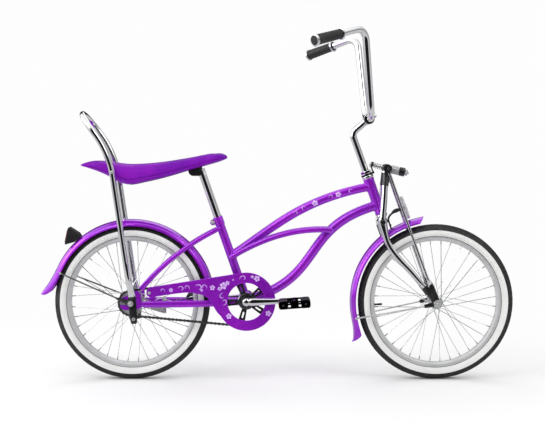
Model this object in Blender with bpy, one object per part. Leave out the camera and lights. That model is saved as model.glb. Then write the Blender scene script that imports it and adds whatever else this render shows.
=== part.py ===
"""Chopper bicycle: high bars, springer fork, banana seat and sissy bar on 20 inch balloon tyres.

Metres, +Z up, +X towards the front wheel, +Y to the rider's left. Places are measured from the floor
under the rear axle; the whole bicycle then hangs from one empty that puts the rider's place on the
seat at the origin. A steered piece is drawn in the steering frame, whose Z is the steering axis and
whose X points forward from it, level with the front axle.
"""
import math

import bmesh
import bpy
from mathutils import Matrix, Vector
from mathutils.geometry import tessellate_polygon

for old in list(bpy.data.objects):
    bpy.data.objects.remove(old, do_unlink=True)

# Clearances
SEATED = 0.0003                 # between two pieces that touch
ROUND_CREASE = math.radians(40) # an edge that turns more than this stays crisp

# Wheels
TYRE_DIAMETER = 0.508
TYRE_WIDTH = 0.054
WHEELBASE = 0.993
TYRE_HEIGHT = 0.040             # tread above the rim's flanges
RIM_WIDTH = 0.036
RIM_DEPTH = 0.0140
WHEEL_SIDES = 48
SPOKES = 36
SPOKE_DIAMETER = 0.0021
SPOKE_CROSSES = 3
AXLE_DIAMETER = 0.0096
HUB_SIDES = 16

# Head and fork, along and across the steering axis
HEAD_LEAN = math.radians(20)
FORK_OFFSET = 0.070
HEAD_CLEARANCE = 0.0785         # head tube beyond a tyre's radius from the front axle's level
HEAD_LENGTH = 0.1215
HEAD_DIAMETER = 0.034
HEAD_WALL = 0.0018
STEERER_DIAMETER = 0.0254
CUP_HEIGHT = 0.010

# Frame
CRANK_FORWARD = 0.374           # bottom bracket from the rear axle
CRANK_RISE = 0.0050             # bottom bracket above the axles
SEAT_TUBE_LEAN = math.radians(19.2)
SEAT_TUBE_LENGTH = 0.289
SEAT_TUBE_DIAMETER = 0.0286
TOP_TUBE_DIAMETER = 0.0286
DOWN_TUBE_DIAMETER = 0.0318
MIDDLE_TUBE_DIAMETER = 0.0175
SEATSTAY_DIAMETER = 0.016
SHELL_DIAMETER = 0.057
SHELL_BORE = 0.0514
SHELL_WIDTH = 0.068
REAR_HUB_WIDTH = 0.110
FRONT_HUB_WIDTH = 0.106
DROPOUT_THICKNESS = 0.0048
TUBE_SIDES = 12

# Drive
CHAIN_LINE = 0.046              # chain from the middle of the bicycle
CHAIN_PITCH = 0.0127
CHAIN_WIDTH = 0.0074
RING_TEETH = 40
COG_TEETH = 20
TOOTH_WIDTH = 0.0024
CRANK_LENGTH = 0.155
CRANK_TILT = math.radians(2)
PEDAL_TREAD = 0.0690            # crank arm's middle from the middle of the bicycle
GUARD_DIAMETER = 0.190
GUARD_OPENING = 0.122
GUARD_FACE = 0.0545             # outer face from the middle of the bicycle
GUARD_THICKNESS = 0.0014
GUARD_LIP = 0.0028

# Seat
POST_DIAMETER = 0.0254
POST_CLEARANCE = 0.0070         # post's top below the seat, along the post
SISSY_DIAMETER = 0.019
SISSY_HALF_WIDTH = 0.078
RIDER_FORWARD = 0.155
RIDER_HEIGHT = 0.7195

# Bar and grips
BAR_DIAMETER = 0.0222
BAR_HALF_WIDTH = 0.320
STEM_HEIGHT = 0.157             # bend of the stem above the head tube
QUILL_LENGTH = 0.054            # stem inside the head tube
STEM_REACH = 0.072
STEM_LIFT = math.radians(21)    # reach above square to the steering axis
GRIP_LENGTH = 0.128
GRIP_DIAMETER = 0.033

# Fenders
FENDER_HALF_WIDTH = 0.0335
FENDER_SHEET = 0.0014
REAR_CROWN_GAP = 0.017          # crown beyond the tread, and skirt beyond or inside it
REAR_SKIRT_GAP = -0.009
FRONT_CROWN_GAP = 0.027
FRONT_SKIRT_GAP = 0.008

# Springs
SPRING_TILT = math.radians(-33) # spring bolt, from square to the steering axis
YOKE_FORWARD = 0.0680
YOKE_ABOVE_HEAD = 0.0115
CROWN_BELOW_HEAD = 0.0245

WHEEL_RADIUS = TYRE_DIAMETER / 2
FORK_LENGTH = WHEEL_RADIUS + HEAD_CLEARANCE
HEAD_TOP = FORK_LENGTH + HEAD_LENGTH
YOKE_RISE = HEAD_TOP + YOKE_ABOVE_HEAD
CROWN_RISE = FORK_LENGTH - CROWN_BELOW_HEAD
STEM_RISE = HEAD_TOP + STEM_HEIGHT
REAR_FENDER_CROWN, REAR_FENDER_SKIRT = WHEEL_RADIUS + REAR_CROWN_GAP, WHEEL_RADIUS + REAR_SKIRT_GAP
FRONT_FENDER_CROWN, FRONT_FENDER_SKIRT = WHEEL_RADIUS + FRONT_CROWN_GAP, WHEEL_RADIUS + FRONT_SKIRT_GAP
UP = Vector((0, 0, 1))
LEFT = Vector((0, 1, 0))
REAR_AXLE = Vector((0, 0, WHEEL_RADIUS))
BRACKET = Vector((CRANK_FORWARD, 0, WHEEL_RADIUS + CRANK_RISE))
STEERING_UP = Vector((-math.sin(HEAD_LEAN), 0, math.cos(HEAD_LEAN)))
STEERING_FORWARD = Vector((math.cos(HEAD_LEAN), 0, math.sin(HEAD_LEAN)))
STEERING_FOOT = Vector((WHEELBASE, 0, WHEEL_RADIUS)) - FORK_OFFSET * STEERING_FORWARD
HEAD_BOTTOM = STEERING_FOOT + FORK_LENGTH * STEERING_UP
SEAT_TUBE_UP = Vector((-math.sin(SEAT_TUBE_LEAN), 0, math.cos(SEAT_TUBE_LEAN)))


# Finishes

def finish(name, colour, roughness, metallic):
    """A painted, plated, moulded or rubber surface."""
    material = bpy.data.materials.new(name)
    material.use_nodes = True
    shader = material.node_tree.nodes["Principled BSDF"]
    shader.inputs["Base Color"].default_value = (*colour, 1)
    shader.inputs["Roughness"].default_value = roughness
    shader.inputs["Metallic"].default_value = metallic
    return material


PURPLE = finish("purple_paint", (0.22, 0.008, 0.42), 0.25, 0.0)
CHROME = finish("chrome_plate", (0.78, 0.79, 0.80), 0.08, 1.0)
STEEL = finish("plated_steel", (0.45, 0.45, 0.46), 0.30, 1.0)
BLACK = finish("black_plastic", (0.015, 0.015, 0.016), 0.45, 0.0)
BLACK_PAINT = finish("black_paint", (0.02, 0.02, 0.02), 0.30, 0.0)
RUBBER = finish("tyre_rubber", (0.02, 0.02, 0.02), 0.70, 0.0)
VINYL = finish("purple_vinyl", (0.17, 0.008, 0.36), 0.35, 0.0)
CHAIN_STEEL = finish("chain_steel", (0.08, 0.08, 0.085), 0.35, 1.0)


# Shapes

def carrier(name, parent=None, location=(0, 0, 0), turn=0.0):
    """An empty that places what hangs on it, turned about Y."""
    empty = bpy.data.objects.new(name, None)
    empty.parent = parent
    empty.location = location
    empty.rotation_euler = (0, turn, 0)
    bpy.context.scene.collection.objects.link(empty)
    return empty


def piece(name, shape, material, parent, location=(0, 0, 0), turn=0.0):
    """A finished solid, named for its sub-part."""
    bmesh.ops.recalc_face_normals(shape, faces=shape.faces)
    mesh = bpy.data.meshes.new(name)
    shape.to_mesh(mesh)
    shape.free()
    mesh.materials.append(material)
    mesh.shade_smooth()
    mesh.set_sharp_from_angle(angle=ROUND_CREASE)
    solid = bpy.data.objects.new(name, mesh)
    solid.parent = parent
    solid.location = location
    solid.rotation_euler = (0, turn, 0)
    bpy.context.scene.collection.objects.link(solid)
    return solid


def tool(name, shape, parent, location=(0, 0, 0), turn=0.0):
    """A shape that only cuts or joins others."""
    helper = piece(name, shape, STEEL, parent, location, turn)
    helper.hide_render = True
    helper.display_type = "WIRE"
    return helper


def combine(solid, helper, operation):
    step = solid.modifiers.new(operation.lower() + "_" + helper.name, "BOOLEAN")
    step.operation = operation
    step.solver = "EXACT"
    step.object = helper


def cut(solid, *helpers):
    for helper in helpers:
        combine(solid, helper, "DIFFERENCE")


def fuse(solid, *helpers):
    for helper in helpers:
        combine(solid, helper, "UNION")


def skin(shape, rings, closed):
    """Quads between rings of vertices; the two ends are capped unless the rings close on themselves."""
    for index in range(len(rings) if closed else len(rings) - 1):
        near, far = rings[index], rings[(index + 1) % len(rings)]
        for k in range(len(near)):
            after = (k + 1) % len(near)
            shape.faces.new((near[k], near[after], far[after], far[k]))
    if not closed:
        shape.faces.new(rings[0][::-1])
        shape.faces.new(rings[-1])


def swept(path, sizes, sides=TUBE_SIDES, across=LEFT):
    """A bar along a path. A size is a radius, or (half width across, half height)."""
    shape = bmesh.new()
    if not isinstance(sizes, list):
        sizes = [sizes] * len(path)
    rings = []
    last = len(path) - 1
    for index, point in enumerate(path):
        ahead = (path[min(index + 1, last)] - path[max(index - 1, 0)]).normalized()
        across = (across - ahead * across.dot(ahead)).normalized()
        over = ahead.cross(across)
        wide, high = sizes[index] if isinstance(sizes[index], tuple) else (sizes[index],) * 2
        ring = []
        for k in range(sides):
            angle = 2 * math.pi * k / sides
            place = point + across * wide * math.cos(angle) + over * high * math.sin(angle)
            ring.append(shape.verts.new(place))
        rings.append(ring)
    skin(shape, rings, False)
    return shape


def turned(profile, sides, axis="Y", ring=False):
    """A profile of (radius, place along the axis) turned about Y or Z. A ring's profile is a loop."""
    shape = bmesh.new()
    rings = []
    for radius, place in profile:
        loop = []
        for k in range(sides):
            angle = 2 * math.pi * k / sides
            first, second = radius * math.cos(angle), radius * math.sin(angle)
            loop.append(shape.verts.new((first, place, second) if axis == "Y" else (first, second, place)))
        rings.append(loop)
    skin(shape, rings, ring)
    return shape


def plate(outline, low, high, holes=()):
    """A flat sheet with its outline (x, z) and holes, between two places along Y."""
    shape = bmesh.new()
    loops = [outline, *holes]
    corners = [Vector((x, z, 0)) for loop in loops for x, z in loop]
    walls = [[shape.verts.new((corner.x, place, corner.y)) for corner in corners] for place in (low, high)]
    for triangle in tessellate_polygon([[Vector((x, z, 0)) for x, z in loop] for loop in loops]):
        for wall in walls:
            shape.faces.new([wall[k] for k in triangle])
    start = 0
    for loop in loops:
        for k in range(len(loop)):
            here, after = start + k, start + (k + 1) % len(loop)
            shape.faces.new((walls[0][here], walls[0][after], walls[1][after], walls[1][here]))
        start += len(loop)
    return shape


def block(low, high):
    """A rectangular block between two corners."""
    shape = bmesh.new()
    made = bmesh.ops.create_cube(shape, size=1)
    low, high = Vector(low), Vector(high)
    size = high - low
    for corner in made["verts"]:
        corner.co = Vector(corner.co[k] * size[k] for k in range(3)) + (low + high) / 2
    return shape


def joined(*shapes):
    """Several separate solids as one shape."""
    whole = bmesh.new()
    for shape in shapes:
        mesh = bpy.data.meshes.new("part of a shape")
        shape.to_mesh(mesh)
        shape.free()
        whole.from_mesh(mesh)
        bpy.data.meshes.remove(mesh)
    return whole


def arc(centre, radius, start, end, steps):
    """Points (x, z) on a circle from one angle in degrees to another."""
    points = []
    for k in range(steps + 1):
        angle = math.radians(start + (end - start) * k / steps)
        points.append((centre[0] + radius * math.cos(angle), centre[1] + radius * math.sin(angle)))
    return points


def curve(a, b, c, d, steps):
    """Points on a cubic curve that leaves a towards b and reaches d from c."""
    points = []
    for k in range(steps + 1):
        t = k / steps
        points.append(a * (1 - t) ** 3 + b * 3 * t * (1 - t) ** 2 + c * 3 * t * t * (1 - t) + d * t ** 3)
    return points


def bent(corners, radii, steps):
    """A path through corners, each rounded to its radius."""
    path = [corners[0]]
    for index, radius in enumerate(radii, 1):
        corner = corners[index]
        back = (corners[index - 1] - corner).normalized()
        ahead = (corners[index + 1] - corner).normalized()
        half = back.angle(ahead) / 2
        reach = radius / math.tan(half)
        centre = corner + (back + ahead).normalized() * radius / math.sin(half)
        first = corner + back * reach - centre
        last = corner + ahead * reach - centre
        for k in range(steps + 1):
            share = k / steps
            turn = math.pi - 2 * half
            spread = math.sin(turn)
            near, far = math.sin((1 - share) * turn), math.sin(share * turn)
            path.append(centre + (first * near + last * far) / spread)
    path.append(corners[-1])
    return path


def mirrored(point, side):
    """A point of the left side, carried to the side asked for: -1 is the rider's right."""
    return Vector((point[0], point[1] * side, point[2]))


SIDES = (("right", -1), ("left", 1))

bicycle = carrier("rider_to_floor", None, (-RIDER_FORWARD, 0, -RIDER_HEIGHT))
rear_wheel_axis = carrier("rear_wheel_axis", bicycle, REAR_AXLE)
crank_axis = carrier("crank_axis", bicycle, BRACKET, -CRANK_TILT)
steering = carrier("steering_axis", bicycle, STEERING_FOOT, -HEAD_LEAN)
front_wheel_axis = carrier("front_wheel_axis", steering, (FORK_OFFSET, 0, 0), HEAD_LEAN)


# Axle bores, shared by everything that sits on an axle

AXLE_BORE = AXLE_DIAMETER / 2 + SEATED
BORE_REACH = 0.09

rear_bore = tool("rear_axle_bore", turned([(AXLE_BORE, -BORE_REACH), (AXLE_BORE, BORE_REACH)], TUBE_SIDES),
                 bicycle, REAR_AXLE)
front_bore = tool("front_axle_bore", turned([(AXLE_BORE, -BORE_REACH), (AXLE_BORE, BORE_REACH)], TUBE_SIDES),
                  steering, (FORK_OFFSET, 0, 0), HEAD_LEAN)


# Wheels: a hub, two flanges of crossed spokes and a rim, as one solid, with a balloon tyre on it

RIM_RADIUS = WHEEL_RADIUS - TYRE_HEIGHT
RIM_INNER = RIM_RADIUS - RIM_DEPTH
RIM_FLOOR = RIM_INNER + RIM_DEPTH * 0.49
FLANGE_THICKNESS = 0.003
SPOKE_SPREAD = 0.0015           # either side of the flange's middle
RIM_HOLE_OFFSET = 0.0036
TURNING_BORE = AXLE_BORE / math.cos(math.pi / HUB_SIDES)


def wheel(name, axis, hub, flange_radius, flange_place):
    """hub is a table of (radius, place along the axle) from one end to the other."""
    half = RIM_WIDTH / 2
    rim = turned([(RIM_RADIUS, -half), (RIM_FLOOR, -half * 0.83), (RIM_FLOOR, half * 0.83), (RIM_RADIUS, half),
                  (RIM_RADIUS - RIM_DEPTH * 0.6, half), (RIM_INNER, half * 0.45), (RIM_INNER, -half * 0.45),
                  (RIM_RADIUS - RIM_DEPTH * 0.6, -half)], WHEEL_SIDES, ring=True)
    barrel = turned([(TURNING_BORE, hub[0][1]), *hub, (TURNING_BORE, hub[-1][1])], HUB_SIDES, ring=True)
    solid = piece(name, joined(rim, barrel), STEEL, axis)
    lean = 360 * SPOKE_CROSSES / (SPOKES / 2)
    spokes = []
    for number in range(SPOKES):
        side = 1 if number % 2 else -1
        trailing = 1 if number // 2 % 2 else -1
        at_rim = math.radians(360 * (number + 0.5) / SPOKES)
        at_hub = at_rim + trailing * math.radians(lean)
        hub_place = side * flange_place + trailing * SPOKE_SPREAD
        rim_place = side * RIM_HOLE_OFFSET + trailing * SPOKE_SPREAD
        hub_reach, rim_reach = flange_radius - 0.0042, RIM_INNER + 0.003
        start = Vector((hub_reach * math.cos(at_hub), hub_place, hub_reach * math.sin(at_hub)))
        end = Vector((rim_reach * math.cos(at_rim), rim_place, rim_reach * math.sin(at_rim)))
        spokes.append(swept([start, end], SPOKE_DIAMETER / 2, 4))
    fuse(solid, tool(name + "_spokes", joined(*spokes), axis))
    return solid


def tyre(name, axis):
    half = TYRE_WIDTH / 2
    base = RIM_FLOOR + SEATED
    side = [(base, 0.52), (RIM_RADIUS + 0.0010, 0.62), (RIM_RADIUS + 0.0090, 0.93), (RIM_RADIUS + 0.0230, 1.0),
            (WHEEL_RADIUS - 0.0065, 0.70)]
    profile = [(radius, -share * half) for radius, share in side]
    profile += [(WHEEL_RADIUS, 0)]
    profile += [(radius, share * half) for radius, share in reversed(side)]
    return piece(name, turned(profile, WHEEL_SIDES, ring=True), RUBBER, axis)


COG_SEAT = 0.0170               # radius of the driver that carries the cog
REAR_FLANGE = 0.033
FRONT_FLANGE = 0.021
REAR_FLANGE_PLACE = 0.0305
FRONT_FLANGE_PLACE = 0.0330
REAR_HUB_END = REAR_HUB_WIDTH / 2 - 0.0058
BRAKE_ARM = 0.0026
BRAKE_HUB_END = REAR_HUB_END - BRAKE_ARM  # the brake arm takes this room on the left
FRONT_HUB_END = FRONT_HUB_WIDTH / 2 - SEATED


def flanges(radius, place, barrel):
    """Both flanges and the barrel between them, as (radius, place) from right to left."""
    near, far = place - FLANGE_THICKNESS / 2, place + FLANGE_THICKNESS / 2
    return [(radius, -far), (radius, -near), (barrel, -near + 0.001), (barrel, near - 0.001), (radius, near),
            (radius, far)]


rear_hub = [(0.0110, -REAR_HUB_END), (COG_SEAT, -REAR_HUB_END), (COG_SEAT, -REAR_FLANGE_PLACE - 0.0030),
            *flanges(REAR_FLANGE, REAR_FLANGE_PLACE, 0.0210), (0.0200, REAR_FLANGE_PLACE + 0.0030),
            (0.0160, BRAKE_HUB_END)]
front_hub = [(0.0090, -FRONT_HUB_END), (0.0110, -FRONT_FLANGE_PLACE - 0.004),
             *flanges(FRONT_FLANGE, FRONT_FLANGE_PLACE, 0.0115), (0.0110, FRONT_FLANGE_PLACE + 0.004),
             (0.0090, FRONT_HUB_END)]

wheel("rear_wheel", rear_wheel_axis, rear_hub, REAR_FLANGE, REAR_FLANGE_PLACE)
wheel("front_wheel", front_wheel_axis, front_hub, FRONT_FLANGE, FRONT_FLANGE_PLACE)
tyre("rear_tyre", rear_wheel_axis)
tyre("front_tyre", front_wheel_axis)


# Sprockets and chain: a belt of links with a groove where the teeth run

RING_RADIUS = CHAIN_PITCH / (2 * math.sin(math.pi / RING_TEETH))
COG_RADIUS = CHAIN_PITCH / (2 * math.sin(math.pi / COG_TEETH))
LINK_HEIGHT = 0.0087
LINK_WAIST = 0.0058
TOOTH_ROOT = 0.0040             # below the pitch circle
TOOTH_TIP = 0.0020              # above it


def toothed(radius, teeth):
    """Outline of a sprocket, four points to a tooth."""
    outline = []
    for tooth in range(teeth):
        for share, height in ((0.14, -TOOTH_ROOT), (0.42, TOOTH_TIP), (0.58, TOOTH_TIP), (0.86, -TOOTH_ROOT)):
            angle = 2 * math.pi * (tooth + share) / teeth
            outline.append(((radius + height) * math.cos(angle), (radius + height) * math.sin(angle)))
    return outline


def circle(radius, steps, centre=(0, 0)):
    return arc(centre, radius, 0, 360 * (steps - 1) / steps, steps - 1)


tooth_near, tooth_far = -CHAIN_LINE - TOOTH_WIDTH / 2, -CHAIN_LINE + TOOTH_WIDTH / 2
piece("rear_cog", plate(toothed(COG_RADIUS, COG_TEETH), tooth_near, tooth_far,
                        [circle(COG_SEAT + SEATED, HUB_SIDES)]), STEEL, rear_wheel_axis)

SPIDER_ARMS = 5
WINDOW_INNER = 0.0275
WINDOW_OUTER = 0.0600
WINDOW_SPAN = 50                # degrees


def windows():
    """Openings between the spider's arms."""
    pitch = 360 / SPIDER_ARMS
    shapes = []
    for arm in range(SPIDER_ARMS):
        middle = arm * pitch + pitch / 2
        outer = arc((0, 0), WINDOW_OUTER, middle - WINDOW_SPAN / 2, middle + WINDOW_SPAN / 2, 4)
        inner = arc((0, 0), WINDOW_INNER, middle + WINDOW_SPAN / 3, middle - WINDOW_SPAN / 3, 2)
        shapes.append(outer + inner)
    return shapes


CRANK_AXLE_DIAMETER = 0.0220
axle_hole = circle(CRANK_AXLE_DIAMETER / 2 + SEATED, TUBE_SIDES)
piece("chainring", plate(toothed(RING_RADIUS, RING_TEETH), tooth_near, tooth_far, [axle_hole, *windows()]),
      BLACK_PAINT, crank_axis)


def chain_loop():
    """Points of the chain's middle line with their outward directions, one to a link."""
    centres = BRACKET - REAR_AXLE
    reach = centres.length
    slope = math.atan2(centres.z, centres.x)
    splay = math.asin((RING_RADIUS - COG_RADIUS) / reach)
    straight = reach * math.cos(splay)
    around_ring = RING_RADIUS * (math.pi + 2 * splay)
    around_cog = COG_RADIUS * (math.pi - 2 * splay)
    length = around_ring + around_cog + 2 * straight
    links = 2 * round(length / CHAIN_PITCH / 2)
    upper, lower = slope + math.pi / 2 + splay, slope - math.pi / 2 - splay
    points = []
    for step in range(links):
        place = length * step / links
        if place < around_ring:
            angle, centre, radius, slide = upper - place / RING_RADIUS, BRACKET, RING_RADIUS, 0
        elif place < around_ring + straight:
            angle, centre, radius, slide = lower, BRACKET, RING_RADIUS, place - around_ring
        elif place < around_ring + straight + around_cog:
            angle = lower - (place - around_ring - straight) / COG_RADIUS
            centre, radius, slide = REAR_AXLE, COG_RADIUS, 0
        else:
            angle, centre, radius = upper, REAR_AXLE, COG_RADIUS
            slide = place - around_ring - straight - around_cog
        out = Vector((math.cos(angle), 0, math.sin(angle)))
        along = Vector((math.sin(angle), 0, -math.cos(angle)))
        points.append((centre + out * radius + along * slide, out))
    return points


def chain_belt():
    shape = bmesh.new()
    rings = []
    for number, (point, out) in enumerate(chain_loop()):
        half = (LINK_WAIST if number % 2 else LINK_HEIGHT) / 2
        ring = []
        for across, rise in ((-1, -1), (1, -1), (1, 1), (-1, 1)):
            place = point + out * half * rise
            ring.append(shape.verts.new((place.x, -CHAIN_LINE + across * CHAIN_WIDTH / 2, place.z)))
        rings.append(ring)
    skin(shape, rings, True)
    return shape


TOOTH_GROOVE = 0.0036
GROOVE_CLEARANCE = 0.0009
GROOVE_RISE = TOOTH_TIP + GROOVE_CLEARANCE
chain = piece("chain", chain_belt(), CHAIN_STEEL, bicycle)
for groove, radius, centre in (("ring_groove", RING_RADIUS, BRACKET), ("cog_groove", COG_RADIUS, REAR_AXLE)):
    shape = turned([(radius + GROOVE_RISE, -CHAIN_LINE - TOOTH_GROOVE / 2),
                    (radius + GROOVE_RISE, -CHAIN_LINE + TOOTH_GROOVE / 2)], WHEEL_SIDES)
    cut(chain, tool(groove, shape, bicycle, centre))


# Frame tubes, each mitred to the one that carries it

def seat_tube_point(rise):
    return BRACKET + SEAT_TUBE_UP * rise


head_outer = HEAD_DIAMETER / 2
head_inner = head_outer - HEAD_WALL
piece("head_tube", turned([(head_inner, FORK_LENGTH), (head_outer, FORK_LENGTH), (head_outer, HEAD_TOP),
                           (head_inner, HEAD_TOP)], HUB_SIDES, "Z", ring=True), PURPLE, steering)
head_room = tool("head_tube_room", turned([(head_outer + SEATED, FORK_LENGTH - HEAD_DIAMETER),
                                           (head_outer + SEATED, HEAD_TOP + HEAD_DIAMETER)],
                                          HUB_SIDES, "Z"), steering)

BRACKET_CUP = 0.0032            # each bearing cup past the shell's end
CUP_BORE = CRANK_AXLE_DIAMETER / 2 + 0.0006
shell_end = SHELL_WIDTH / 2
cup_end = shell_end + BRACKET_CUP
cup_radius = SHELL_DIAMETER / 2 - 0.001
# columns: radius, place along the axle, from the left cup's bore out and round to the right one's
shell_profile = [(CUP_BORE, cup_end), (cup_radius, cup_end), (cup_radius, shell_end),
                 (SHELL_DIAMETER / 2, shell_end), (SHELL_DIAMETER / 2, -shell_end),
                 (cup_radius, -shell_end), (cup_radius, -cup_end),
                 (CUP_BORE, -cup_end), (CUP_BORE, -shell_end), (SHELL_BORE / 2, -shell_end),
                 (SHELL_BORE / 2, shell_end), (CUP_BORE, shell_end)]
piece("bottom_bracket_shell", turned(shell_profile, HUB_SIDES, ring=True), PURPLE, bicycle, BRACKET)
shell_room = tool("shell_room", turned([(SHELL_DIAMETER / 2 + SEATED, -SHELL_WIDTH),
                                        (SHELL_DIAMETER / 2 + SEATED, SHELL_WIDTH)], HUB_SIDES),
                  bicycle, BRACKET)

seat_tube = piece("seat_tube", swept([BRACKET, seat_tube_point(SEAT_TUBE_LENGTH)], SEAT_TUBE_DIAMETER / 2),
                  PURPLE, bicycle)
LUG_RISE = SEAT_TUBE_LENGTH - 0.014
BINDER_OFFSET = Vector((-0.0190, 0, -0.0050))
BINDER_RADIUS = 0.0095
BINDER_HALF_WIDTH = 0.0110
lug_centre = seat_tube_point(LUG_RISE)
binder_middle = lug_centre + BINDER_OFFSET
binder = swept([binder_middle - LEFT * BINDER_HALF_WIDTH, binder_middle + LEFT * BINDER_HALF_WIDTH],
               BINDER_RADIUS, TUBE_SIDES, UP)
fuse(seat_tube, tool("binder_lug", binder, bicycle))
cut(seat_tube, shell_room)
POST_DEPTH = 0.085
post_room = tool("post_room", swept([seat_tube_point(SEAT_TUBE_LENGTH - POST_DEPTH - SEATED),
                                     seat_tube_point(SEAT_TUBE_LENGTH + 0.02)],
                                    POST_DIAMETER / 2 + SEATED), bicycle)
cut(seat_tube, post_room)
seat_tube_room = tool("seat_tube_room", swept([BRACKET, seat_tube_point(SEAT_TUBE_LENGTH + 0.02)],
                                              SEAT_TUBE_DIAMETER / 2 + SEATED), bicycle)

TOP_TUBE_BELOW_HEAD = 0.0265    # on the head tube, below its upper end
TOP_TUBE_SEAT_RISE = 0.1530     # on the seat tube, above the bottom bracket
DOWN_TUBE_HEAD_RISE = 0.0300
MIDDLE_TUBE_SEAT_RISE = 0.1505


def slope(degrees):
    """Direction in the bicycle's plane, rising towards the front wheel."""
    return Vector((math.cos(math.radians(degrees)), 0, math.sin(math.radians(degrees))))


def between(start, leave, end, arrive, steps):
    """A curve from start to end; leave and arrive are (direction, share of the distance between them)."""
    span = (end - start).length
    return curve(start, start + leave[0] * leave[1] * span, end - arrive[0] * arrive[1] * span, end, steps)


top_front = HEAD_BOTTOM + STEERING_UP * (HEAD_LENGTH - TOP_TUBE_BELOW_HEAD)
top_rear = seat_tube_point(TOP_TUBE_SEAT_RISE)
top_course = between(top_front, (-slope(10.5), 0.454), top_rear, (-slope(33.7), 0.344), 10)
top_tube = piece("top_tube", swept(top_course, TOP_TUBE_DIAMETER / 2), PURPLE, bicycle)
cut(top_tube, head_room, seat_tube_room)

down_front = HEAD_BOTTOM + STEERING_UP * DOWN_TUBE_HEAD_RISE
down_course = between(down_front, (-slope(15.6), 0.509), BRACKET, (-slope(15.4), 0.516), 14)
down_tube = piece("down_tube", swept(down_course, DOWN_TUBE_DIAMETER / 2), PURPLE, bicycle)
cut(down_tube, head_room, shell_room)

middle_rear = seat_tube_point(MIDDLE_TUBE_SEAT_RISE)
middle_front = down_course[4]
MIDDLE_REAR_SPREAD = SEAT_TUBE_DIAMETER / 2 + MIDDLE_TUBE_DIAMETER / 2 + SEATED
MIDDLE_FRONT_SPREAD = DOWN_TUBE_DIAMETER / 2 + MIDDLE_TUBE_DIAMETER / 2 + SEATED
NOSE = 0.0050                   # closed end of a tube that is welded on by its flank
for label, side in SIDES:
    rear = middle_rear + LEFT * side * MIDDLE_REAR_SPREAD
    front = middle_front + LEFT * side * MIDDLE_FRONT_SPREAD
    course = between(rear, (slope(31), 0.334), front, (slope(-3.7), 0.372), 8)
    course = [rear - slope(31) * NOSE, *course, front + slope(-3.7) * NOSE]
    radius = MIDDLE_TUBE_DIAMETER / 2
    sizes = [radius * 0.6] + [radius] * (len(course) - 2) + [radius * 0.6]
    piece("middle_tube_" + label, swept(course, sizes), PURPLE, bicycle)


# Rear triangle: oval chainstays, bowed seatstays and slotted plates that hold the axle

DROPOUT_PLACE = REAR_HUB_WIDTH / 2 + SEATED
DROPOUT_MIDDLE = DROPOUT_PLACE + DROPOUT_THICKNESS / 2
SLOT_HEIGHT = AXLE_DIAMETER + 2 * SEATED
SLOT_REACH = 0.006              # ahead of the axle
STAY_END = (0.0330, 0.0460)     # seatstay's end ahead of and above the axle
CHAINSTAY_END = (0.0345, -0.0030)

plate_front = CHAINSTAY_END[0] - 0.0008
dropout_outline = (arc((-0.0140, 0), 0.0225, 108, 252, 8)
                   + [(0.0180, -0.0200), (plate_front, -0.0125), (plate_front, 0.0090),
                      (STAY_END[0] + 0.0010, STAY_END[1] - 0.0160), (STAY_END[0] - 0.0120, STAY_END[1] - 0.0040)])
slot_outline = ([(-0.060, -SLOT_HEIGHT / 2)] + arc((SLOT_REACH, 0), SLOT_HEIGHT / 2, -90, 90, 6)
                + [(-0.060, SLOT_HEIGHT / 2)])
slot = tool("dropout_slot", plate(slot_outline, -BORE_REACH, BORE_REACH), bicycle, REAR_AXLE)
for label, side in SIDES:
    near = side * DROPOUT_PLACE
    far = side * (DROPOUT_PLACE + DROPOUT_THICKNESS)
    cut(piece("dropout_" + label, plate(dropout_outline, min(near, far), max(near, far)), PURPLE, bicycle,
              REAR_AXLE), slot)

SEATSTAY_RISE = 0.2525          # seatstay's top on the seat tube
SEATSTAY_TOP_SPREAD = SEAT_TUBE_DIAMETER / 2 + SEATSTAY_DIAMETER / 2 + SEATED
stay_top = seat_tube_point(SEATSTAY_RISE)
stay_foot = REAR_AXLE + Vector((STAY_END[0], 0, STAY_END[1]))
stay_span = (stay_top - stay_foot).length
seatstay_courses = {}
for label, side in SIDES:
    top = stay_top + LEFT * side * SEATSTAY_TOP_SPREAD
    foot = stay_foot + LEFT * side * DROPOUT_MIDDLE
    course = curve(top, stay_top - slope(25.3) * stay_span * 0.366 + LEFT * side * DROPOUT_MIDDLE * 0.69,
                   stay_foot + slope(49.2) * stay_span * 0.360 + LEFT * side * DROPOUT_MIDDLE * 1.04, foot, 9)
    radius = SEATSTAY_DIAMETER / 2
    sizes = [radius * 0.6] + [radius] * (len(course) - 3) + [(0.0055, 0.0088), (0.0038, 0.0085)]
    seatstay_courses[label] = (course, sizes)
    piece("seatstay_" + label, swept(course, sizes), PURPLE, bicycle)

CHAINSTAY_DEPTH = 0.0215
CHAINSTAY_WIDTH = 0.0130
chainstay_courses = {}
for label, side in SIDES:
    foot = REAR_AXLE + Vector((CHAINSTAY_END[0], side * DROPOUT_MIDDLE, CHAINSTAY_END[1]))
    head = BRACKET + Vector((-0.0220, side * 0.0180, -0.0045))
    span = head.x - foot.x
    course = curve(foot, Vector((foot.x + span * 0.334, side * DROPOUT_MIDDLE * 0.98, foot.z)),
                   Vector((head.x - span * 0.274, side * DROPOUT_MIDDLE * 0.77, foot.z)), head, 9)
    oval = (CHAINSTAY_WIDTH / 2, CHAINSTAY_DEPTH / 2)
    sizes = [(0.0038, 0.0095), (0.0055, 0.0103)] + [oval] * (len(course) - 2)
    chainstay_courses[label] = (course, sizes)
    cut(piece("chainstay_" + label, swept(course, sizes), PURPLE, bicycle), shell_room)


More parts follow.
